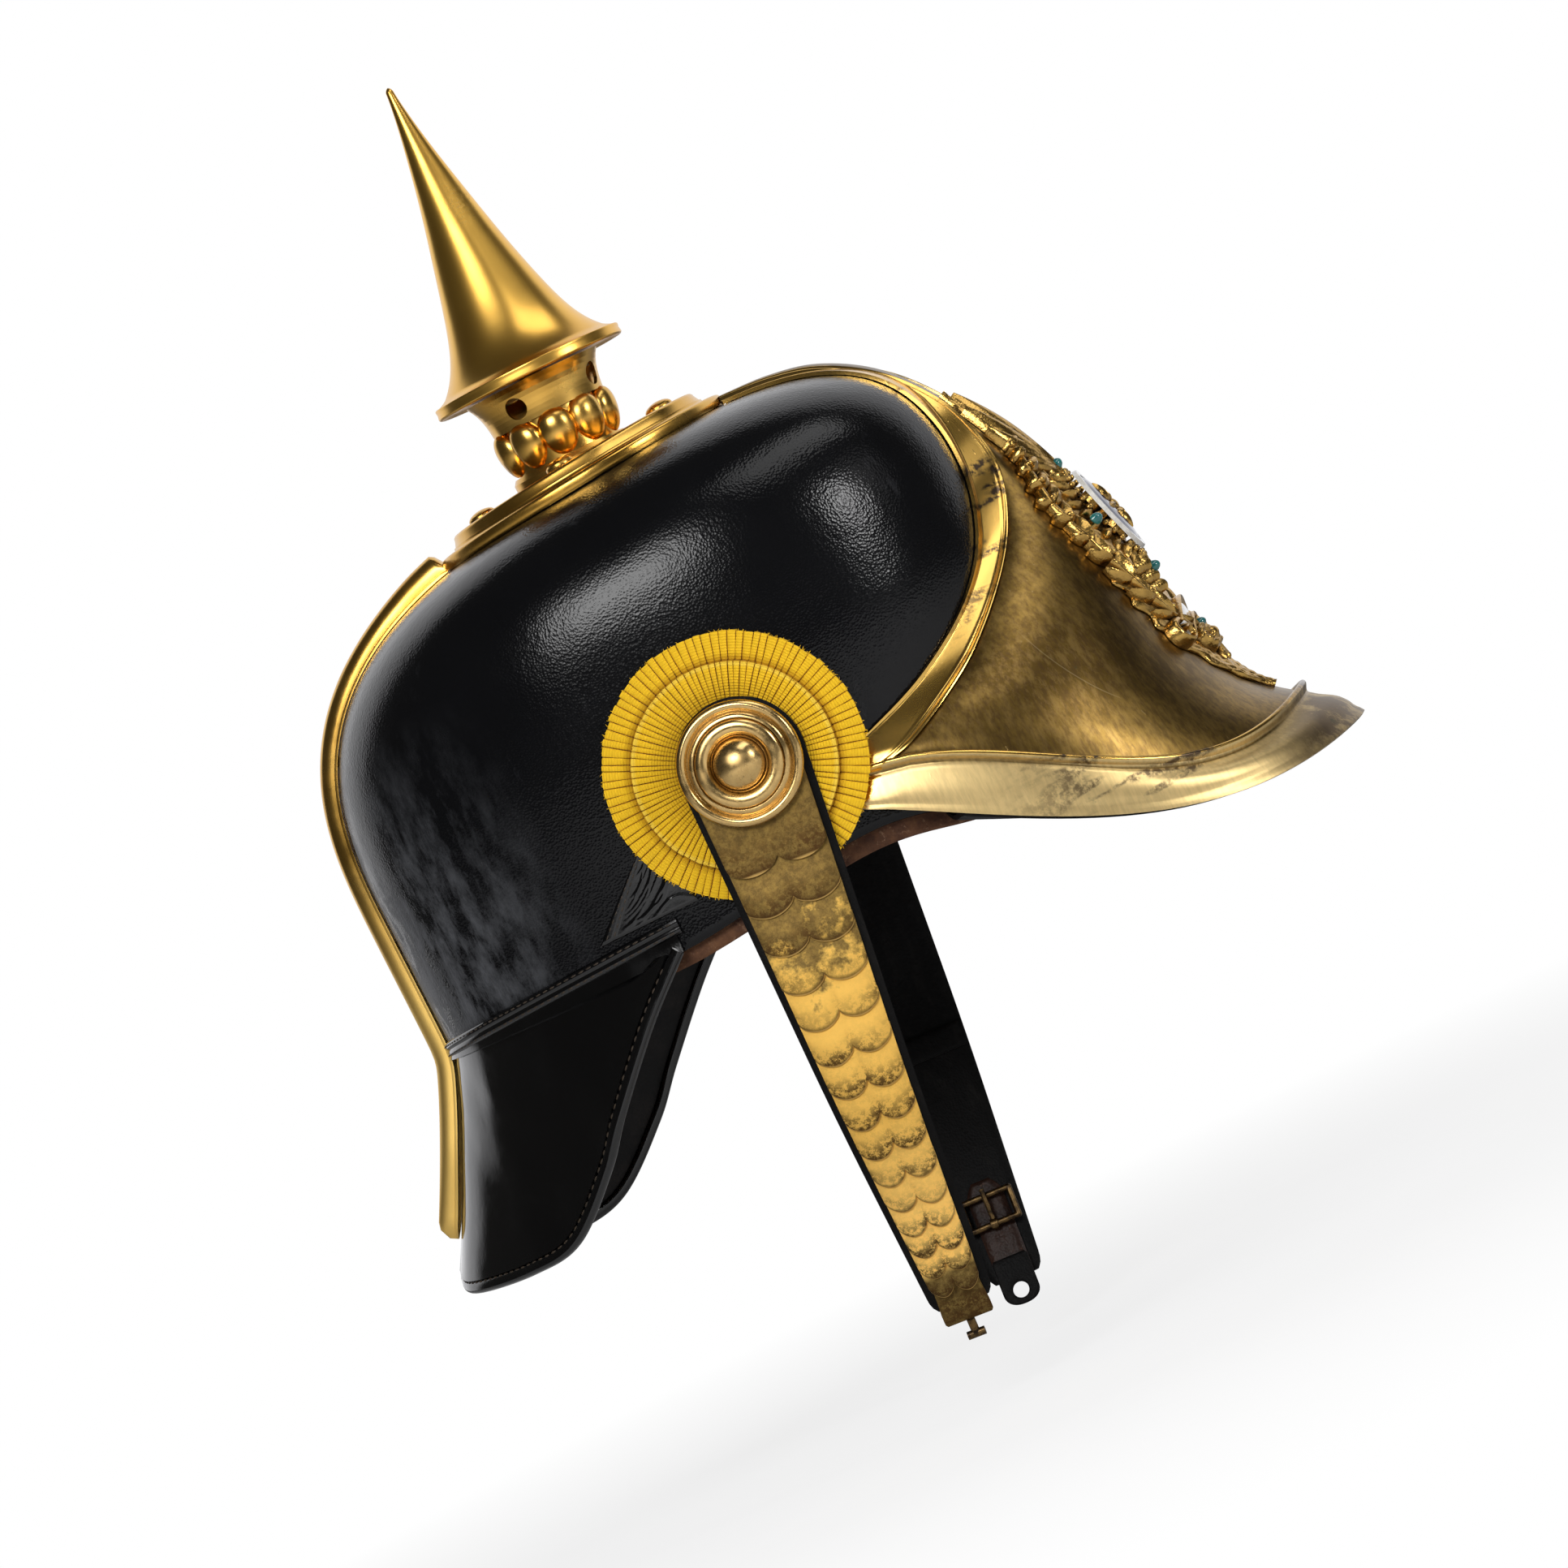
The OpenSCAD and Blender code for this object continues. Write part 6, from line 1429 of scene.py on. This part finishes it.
STRAP_BLACK = (0.004, 0.0038, 0.0038)
strap_leather, shader, place = new_finish("strap_leather", STRAP_BLACK, rough=0.5,
                                          Specular_IOR_Level=0.1)
scuffs = place.stretched((1, 1, 0.3)).noise(190.0, 6.0, 0.72).ranged(0.5, 0.72)
(scuffs * 0.25).mix(STRAP_BLACK, (0.03, 0.026, 0.023)).into(shader, "Base Color")
bumped(shader, (place.noise(160.0, 4.0), 0.5, 0.0006), (place.cells(1300.0), 0.45, 0.0002))
BLEND_FROM_S, BLEND_TO_S = STRAP_BEND_S - 7, STRAP_BEND_S + 7
LEFT_L = STRAP_L + LEFT_EXTRA_L
for side, word, lean, length in ((-1, "right", RIGHT_LEAN, STRAP_L), (1, "left", LEFT_LEAN, LEFT_L)):
    top_r = (STRAP_W + 2 * STRAP_EDGE) / 2
    round_s = -top_r * np.cos(np.linspace(0.06, np.pi / 2, 14))
    rows_s = np.concatenate([round_s, np.linspace(0, length, 111)[1:]])
    reach = np.where(rows_s < 0, np.sqrt(np.maximum(top_r ** 2 - rows_s ** 2, 0)),
                     brass_w(rows_s) / 2 + STRAP_EDGE)
    reach[-3:] -= np.array([0.1, 0.5, 1.6])
    band = make_piece(word + "_strap_band", boss_sheet(strap_faces(rows_s, reach), side, lean),
                      strap_leather, None, "strap_leather",
                      [word + "_strap_leather", word + "_strap_leather_end"], sharp=60)
    start, end = (Vector(on_boss(strap_at(s, 0, STRAP_T / 2), side, lean) * MM)
                  for s in (BLEND_FROM_S, BLEND_TO_S))
    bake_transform(band)

# Scales
# Overlapping pressed brass scales with a double lobe at the lower edge. The upper ones
# are tarnished olive, the lower ones stay golden and are painted lighter as painted light.
# Each lower edge carries a band of painted shade and a painted highlight on its rim.
HEAD_L, OVERLAP, LOBE, SCALE_N = 33, 6.5, 3.6, 14


def scale_s(i):
    return HEAD_L + (STRAP_L - 5 - HEAD_L) * (i / SCALE_N) * (1.38 - 0.38 * i / SCALE_N)


def lobed(u):
    return LOBE * (1 - np.abs(np.sin(np.pi * u)) ** 0.6)


def one_scale(i, dice):
    """Grids of a scale's outer and inner face, and how close each point is to its lower edge."""
    top, foot = scale_s(i - 1) - OVERLAP, scale_s(i)
    l = foot - top
    r = OVERLAP / l
    high = max(1.7, (SCALE_LOW + SCALE_T + 0.2 - r * SCALE_LOW) / (1 - r))
    v, u = np.meshgrid(np.concatenate([np.linspace(0, 0.9, 12), np.linspace(0.93, 1, 5)]),
                       np.linspace(-1, 1, 41), indexing="ij")
    tilt = dice.normal(0, 0.25)
    s = blend_of(top, foot - lobed(u) + tilt * u, v)
    w = brass_w(s) / 2 * (1 - 0.012 * dice.uniform(0, 1))
    swell = 0.45 * np.sin(np.pi * np.clip((v - 0.42) / 0.58, 0, 1)) * np.abs(np.sin(np.pi * u)) ** 0.5
    lip = 0.3 * np.clip((v - 0.93) / 0.07, 0, 1) ** 2
    n = (STRAP_T + blend_of(SCALE_LOW, high, (s - top) / l) + SCALE_DOME * (1 - u * u) + swell - lip)
    edge = np.clip((v - 0.55) / 0.45, 0, 1)
    return strap_at(s, u * w, n + SCALE_T), strap_at(s, u * w, n), edge


def scale_group(first, last, side, lean, seed):
    dice = np.random.default_rng(seed)
    shapes, marks = [], []
    for i in range(first, last + 1):
        outer, inner, edge = one_scale(i, dice)
        shapes.append(boss_sheet((outer, inner), side, lean))
        marks += [edge.ravel(), edge.ravel()]
    return joined(shapes), np.concatenate(marks)


SCALE_GOLD = (0.8, 0.51, 0.12)
SCALE_GOLD_PAINTED_LIGHTER = (1.0, 0.7, 0.22)
scale_brass, shader, place = new_finish("scale_brass", SCALE_GOLD, 1.0, 0.3)
edge = wear_and_painted_light_of(shader)
near_boss = place.vector("SUBTRACT", (BOSS_X * MM, 0, BOSS_Z * MM))
down = near_boss.axis("Z") * -1.0
uneven = place.noise(70.0, 5.0, 0.7)
upper = (down + uneven * 0.1).ranged(0.116, 0.106)
upper = upper.higher(down.ranged(0.1615, 0.1645))
spots = place.noise(420.0, 8.0, 0.85).ranged(0.47, 0.53)
low_spots = spots * edge.ranged(0.1, 0.7, 0.15, 1.0)
zones = place.noise(48.0, 4.0).ranged(0.36, 0.52, 0.3, 1.0)
brown = low_spots * zones
# Painted light: the lowest scales are painted a lighter yellow.
gold_painted_lighter_low = down.ranged(0.115, 0.145).mix(SCALE_GOLD, SCALE_GOLD_PAINTED_LIGHTER)
tarnish = upper * place.noise(500.0, 6.0, 0.8).ranged(0.36, 0.6, 0.78, 1.0)
tone = tarnish.mix(gold_painted_lighter_low, (0.14, 0.09, 0.03))
tone = (brown * 0.95).mix(tone, (0.1, 0.052, 0.018))
# Near each lower edge a band of painted shade, then a thin painted highlight on the rim; the head and end
# plates share them.
rim_painted_shade = edge.ranged(0.8, 0.93) * 0.55
tone = rim_painted_shade.mix(tone, (0.1, 0.05, 0.018))
edge.ranged(0.94, 0.98, 0.0, 0.75).mix(tone, (0.8, 0.52, 0.17)).into(shader, "Base Color")
dulled = upper.higher(brown)
low_gleam = down.ranged(0.11, 0.15, 0.0, 0.12)
(dulled.ranged(0.0, 1.0, 0.66, 0.56) + low_gleam).into(shader, "Roughness")
bumped(shader, (place.noise(130.0, 3.0), 0.4, 0.0006), (brown, 0.25, 0.0001),
       (place.noise(1500.0, 3.0), 0.15, 0.00006))
FIRST_LOW_SCALE = min(i for i in range(1, SCALE_N + 1) if scale_s(i - 1) - OVERLAP > STRAP_BEND_S + 0.3)
for side, word, lean in ((-1, "right", RIGHT_LEAN), (1, "left", LEFT_LEAN)):
    for first, last, body in ((1, FIRST_LOW_SCALE - 1, word + "_strap"),
                              (FIRST_LOW_SCALE, SCALE_N, word + "_strap_end")):
        shape, marks = scale_group(first, last, side, lean, 20 + first + side)
        node_name = body + "_scales"
        marked(shape, marks, node_name + "_pressed", scale_brass, body, "scale_brass", [node_name])

# Strap heads and end plates
# The strap's top plate is a disc under the boss that runs down into two lobes; a
# flared plate closes the lower end and is clinched over the leather.
head_low = HEAD_L - lobed(np.linspace(-1, 1, 25))
head_lobes = np.stack([np.linspace(1, -1, 25) * brass_w(HEAD_L) / 2, -head_low[::-1]], -1)
head_rows = np.linspace(4, 28, 7)
head_side = np.stack([brass_w(head_rows) / 2, -head_rows], -1)
head_outline = np.concatenate([arc((0, 0), STRAP_W / 2, 180, 0, 40), head_side, head_lobes,
                               head_side[::-1] * [-1, 1]])
ring_t = np.concatenate([np.linspace(0, 0.93, 9), [0.975, 1]])[:, None, None]
hole_r = BOSS_SHANK_R + 0.06
head_way = unit(head_outline)
head_xy = hole_r * head_way * (1 - ring_t) + head_outline * ring_t
head_drop = -0.18 * np.clip((ring_t - 0.93) / 0.07, 0, 1) ** 2
head_rise = HEAD_Z + SCALE_DOME + np.broadcast_to(head_drop, (*head_xy.shape[:2], 1))
head_edge = np.clip((-head_xy[..., 1] - 16) / 17, 0, 1)
end_rows = np.linspace(0, 1, 21)
end_angle_s = STRAP_L - 9


def end_plate(length):
    v, u = np.meshgrid(end_rows, np.linspace(-1, 1, 15), indexing="ij")
    flare = blend_of(brass_w(STRAP_L - 3) / 2 * 0.93, brass_w(STRAP_L - 3) / 2,
                     np.clip(v * 1.4, 0, 1) ** 2)
    corner = 1 - 0.08 * np.clip((v - 0.93) / 0.07, 0, 1) ** 2
    s = end_angle_s + length * v
    n = STRAP_T + 0.3 + 0.25 * (1 - u ** 2) * np.sin(np.pi * v) ** 0.5
    rim = 0.18 * hump(v, 0.86, 0.035) - 0.12 * hump(v, 0.78, 0.03) + 0.15 * hump(np.abs(u), 0.93, 0.04)
    return (strap_at(s, u * flare * corner, n + 0.75 + rim), strap_at(s, u * flare * corner, n - 0.1),
            np.clip(v * 1.2, 0, 0.88))


for side, word, lean, plate_l in ((-1, "right", RIGHT_LEAN, 13.7), (1, "left", LEFT_LEAN, 6)):
    head_faces = [np.concatenate([head_xy, head_rise + thick], -1) for thick in (HEAD_T, 0)]
    marked(boss_sheet(head_faces, side, lean, loop_cols=True), head_edge, word + "_strap_head_plate",
           scale_brass, word + "_strap", "scale_brass", [word + "_strap_head"])
    *end_faces, end_marks = end_plate(plate_l)
    marked(boss_sheet(end_faces, side, lean), end_marks, word + "_end_plate_flared", scale_brass,
           word + "_strap_end", "scale_brass", [word + "_end_plate"])

# Buckle, hook and adjusting strap
# A small wire buckle with a prong and a T-headed hook, both dark with age; a narrow
# brown strap with a punched leather eye slides in the left strap's end.
TAIL_L, TAIL_W, TAIL_T, TAIL_GAP, TAIL_TIP = 33, 12, 1.4, 0.3, 5
END_ANGLE = math.degrees(math.atan(2 * CURVE_K * float(curved(STRAP_L))))
dark_metal, shader, place = new_finish("dark_metal", (0.16, 0.105, 0.05), 1.0, 0.38)
patina = place.noise(380.0, 5.0, 0.7).ranged(0.42, 0.6)
patina.mix((0.2, 0.125, 0.05), (0.035, 0.024, 0.016)).into(shader, "Base Color")
bumped(shader, (place.noise(900.0, 4.0), 0.45, 0.00015))
finish_nodes(dark_metal, "right_hook_stud", "left_buckle_frame", "left_buckle_prong")
BROWN = (0.034, 0.013, 0.007)
brown_leather, shader, place = new_finish("brown_leather", BROWN, rough=0.42, Specular_IOR_Level=0.2)
tone = place.noise(110.0, 6.0, 0.7).ranged(0.35, 0.68).mix((0.014, 0.006, 0.004), BROWN)
scuffs = place.noise(500.0, 5.0, 0.75).ranged(0.6, 0.72)
scuffs.mix(tone, (0.09, 0.045, 0.028)).into(shader, "Base Color")
bumped(shader, (place.noise(240.0, 4.0), 0.55, 0.0005), (place.cells(1200.0), 0.4, 0.0002))


def on_strap_end(points, s):
    """Points across, up the strap and outward at the distance s on the strap's straight end."""
    points = np.asarray(points, float)
    c, k = math.cos(math.radians(END_ANGLE)), math.sin(math.radians(END_ANGLE))
    x, y, z = points[..., 0], points[..., 1], points[..., 2]
    return strap_at(s, 0, 0) + np.stack([x, y * c - z * k, y * k + z * c], -1)


v, u = np.meshgrid(np.linspace(0, 1, 45), np.linspace(-1, 1, 13), indexing="ij")
tail_half = TAIL_W / 2 * (1 - 0.5 * np.clip(1 - (1 - v) * TAIL_L / TAIL_TIP, 0, 1) ** 1.5)
tail_z = -TAIL_GAP - TAIL_T / 2
rounded = (1 - np.abs(u) ** 8) * (1 - np.clip((np.abs(v - 0.5) - 0.48) / 0.02, 0, 1) ** 4)
crease = 0.16 * np.cos(v * 60) * hump(v, 0.5, 0.12)
tail_faces = []
for way in (1, -1):
    face_z = tail_z + way * TAIL_T / 2 * rounded + crease * rounded
    tail_faces.append(on_strap_end(np.stack([u * tail_half, v * TAIL_L, face_z], -1), LEFT_L))
make_piece("left_tail_strap_leather", boss_sheet(tail_faces, 1, LEFT_LEAN), brown_leather, "left_tail",
           "brown_leather", ["left_tail_strap"], sharp=60)
EYE_T, EYE_L, EYE_REACH, EYE_TAB_W, EYE_UP, EYE_R = 1.2, 16, 9, 12, 4.6, 2.6
tab_turn = np.radians(np.arange(-90, 270, 5))
tab_corner = EYE_TAB_W / 2
tab_out = []
for turn in tab_turn:
    way = np.array([math.cos(turn), math.sin(turn)])
    reach = tab_corner / max(abs(way[0]), 1e-6)
    if way[1] > 0:
        reach = min(reach, (EYE_L - EYE_UP) / max(way[1], 1e-6))
    if way[1] < 0:
        bulge = (abs(way[0]) / tab_corner) ** 2.3 + (abs(way[1]) / EYE_UP) ** 2.3
        reach = min(reach, 1 / bulge ** (1 / 2.3))
    tab_out.append(way * reach)
tab_out = np.array(tab_out)
tab_t = np.concatenate([[0, 0.06], np.linspace(0.15, 0.9, 6), [0.96, 1]])[:, None, None]
tab_xy = EYE_R * unit(tab_out) * (1 - tab_t) + tab_out * tab_t + np.array([0, EYE_UP])
tab_round = (1 - (2 * np.clip(tab_t, 0, 1) - 1) ** 10)[..., 0] * np.ones(len(tab_turn))
tab_z = -TAIL_GAP - TAIL_T - 0.1 - EYE_T / 2
tab_faces = []
for way in (1, -1):
    face_z = tab_z + way * EYE_T / 2 * (0.35 + 0.65 * tab_round)
    tab_faces.append(on_strap_end(np.concatenate([tab_xy, face_z[..., None]], -1), LEFT_L + EYE_REACH))
make_piece("left_eye_tab_leather", boss_sheet(tab_faces, 1, LEFT_LEAN, loop_cols=True), strap_leather,
           "left_tail", "brown_leather", ["left_eye_tab"], sharp=60)
KEEPER_S, KEEPER_H = STRAP_BEND_S + 22, 8
keeper_rows = np.linspace(KEEPER_S, KEEPER_S + KEEPER_H, 17)
v = np.linspace(-1, 1, 33)
keeper_round = ((1 - np.abs(np.linspace(-1, 1, 17)) ** 6)[:, None]) * (1 - np.abs(v) ** 14)
keeper_u = (brass_w(keeper_rows)[:, None] / 2 + STRAP_EDGE) * v
keeper_faces = [strap_at(keeper_rows[:, None], keeper_u, -0.9 + way * (0.15 + 0.45 * keeper_round))
                for way in (1, -1)]
make_piece("left_keeper_loop_leather", boss_sheet(keeper_faces, 1, LEFT_LEAN), strap_leather,
           "left_strap_end", "strap_leather", ["left_keeper_loop"], sharp=60)

# Sweatband and liner
# A brown leather sweatband shows under the shell's edge; nine thin leather tongues rise
# from it to a drawstring of twisted cotton.
BAND_OFF, BAND_ARCH = -LEATHER_T - 0.7, 0.85
SWEATBAND_H, SWEATBAND_DROP, SWEATBAND_T = 34, 5, 1.4
band_phi = np.arange(0, 360, 2)[None, :]
band_v = np.concatenate([[0, 0.015, 0.04], np.linspace(0.08, 0.95, 14), [0.985, 1]])[:, None]
band_low = BAND_ARCH * rim_lift(band_phi) - SWEATBAND_DROP
band_height = band_low + (SWEATBAND_H - SWEATBAND_DROP - band_low) * band_v
band_round = 1 - np.abs(2 * band_v - 1) ** 40
band_wave = 0.12 * np.sin(band_phi * math.pi / 180 * 23 + 4 * band_v)
band_mid = BAND_OFF - SWEATBAND_T / 2 - 0.12 + band_wave
band_outer = skull_at(band_phi, band_height, band_mid + SWEATBAND_T / 2 * band_round)
band_inner = skull_at(band_phi, band_height, band_mid - SWEATBAND_T / 2 * band_round)
RIM_BROWN = (0.2, 0.09, 0.04)
sweat_leather, shader, place = new_finish("sweatband_leather", RIM_BROWN, rough=0.75,
                                          Specular_IOR_Level=0.2)
tone = place.noise(60.0, 6.0, 0.7).ranged(0.35, 0.68).mix((0.06, 0.026, 0.016), RIM_BROWN)
place.noise(420.0, 6.0, 0.75).ranged(0.56, 0.7).mix(tone, (0.26, 0.15, 0.09)).into(shader, "Base Color")
bumped(shader, (place.noise(150.0, 5.0), 0.6, 0.0007), (place.cells(1000.0), 0.45, 0.00025))
make_piece("sweatband_leather_band", sheet_shape(band_outer, band_inner, loop_cols=True), sweat_leather,
           "helmet", "brown_leather", ["sweatband"], sharp=60)
TONGUE_N, TONGUE_T, DRAWSTRING_R, DRAWSTRING_Z = 9, 1.2, 26, 112
CORD_X = CROWN_X - 4
TONGUE_FOOT_Z = SWEATBAND_H - SWEATBAND_DROP - 8


def tongue_line(phi):
    inner = BAND_OFF - SWEATBAND_T - 0.3
    c, s = math.cos(math.radians(phi)), math.sin(math.radians(phi))
    return np.array([skull_at(phi, TONGUE_FOOT_Z, inner), skull_at(phi, WIDEST_Z * 0.7, inner - 3.5),
                     skull_at(phi, WIDEST_Z * 1.2, inner - 13) * 0.985 + [0.2, 0, 0],
                     [CORD_X + (DRAWSTRING_R + 18) * c, (DRAWSTRING_R + 16) * s, DRAWSTRING_Z - 9],
                     [CORD_X + DRAWSTRING_R * c, DRAWSTRING_R * s, DRAWSTRING_Z - 1.6]])


tongues = []
for i in range(TONGUE_N):
    half = 0.42 * 360 / TONGUE_N
    outer_face, inner_face = [], []
    rows = np.concatenate([[0, 0.01], np.linspace(0.03, 0.97, 26), [0.99, 1]])
    for b in np.concatenate([[-1, -0.96], np.linspace(-0.85, 0.85, 9), [0.96, 1]]):
        line = along(tongue_line(360 * i / TONGUE_N + half * b), rows)
        inward = unit(np.stack([CROWN_X - line[:, 0], -line[:, 1],
                                np.minimum(line[:, 2], 60) - line[:, 2]], -1))
        soft_edge = (1 - abs(b) ** 12) * (1 - np.abs(2 * rows - 1) ** 40)
        sag = 0.35 * np.sin(rows * 9 + i) * (1 - abs(b) ** 2)
        outer_face.append(line + inward * (TONGUE_T / 2 * (1 - soft_edge) + sag)[:, None])
        inner_face.append(line + inward * (TONGUE_T / 2 * (1 + soft_edge) + sag)[:, None])
    tongues.append(sheet_shape(np.array(outer_face), np.array(inner_face)))
LINER_TAN = (0.19, 0.1, 0.05)
liner_leather, shader, place = new_finish("liner_leather", LINER_TAN, rough=0.72)
stains = place.noise(45.0, 6.0, 0.65).ranged(0.38, 0.68)
stains.mix(LINER_TAN, (0.07, 0.034, 0.02)).into(shader, "Base Color")
bumped(shader, (place.noise(120.0, 5.0), 0.6, 0.0008), (place.cells(900.0), 0.4, 0.00025))
make_piece("liner_tongues_leather", joined(tongues), liner_leather, "helmet", "liner_leather",
           ["liner_tongues"], sharp=60)
cord_turn = np.radians(np.arange(0, 360, 1.5))[:, None]
cord_ring = np.radians(np.arange(0, 360, 30))[None, :]
cord_r = 1.12 * (1 + 0.13 * np.cos(3 * cord_ring - 42 * cord_turn))
ring_reach = DRAWSTRING_R + cord_r * np.cos(cord_ring)
cord = np.stack([CORD_X + ring_reach * np.cos(cord_turn), ring_reach * np.sin(cord_turn),
                 DRAWSTRING_Z + cord_r * np.sin(cord_ring)], -1)
COTTON = (0.42, 0.34, 0.24)
liner_cord, shader, place = new_finish("liner_cord", COTTON, rough=0.85)
place.noise(600.0, 5.0).mix((0.26, 0.2, 0.13), COTTON).into(shader, "Base Color")
bumped(shader, (place.noise(2500.0, 3.0), 0.6, 0.0002))
cord_faces = grid_faces(*cord.shape[:2], True, True)
make_piece("liner_drawstring_cord", (cord.reshape(-1, 3), cord_faces), liner_cord, "helmet",
           "liner_cord", ["liner_drawstring"], sharp=75)
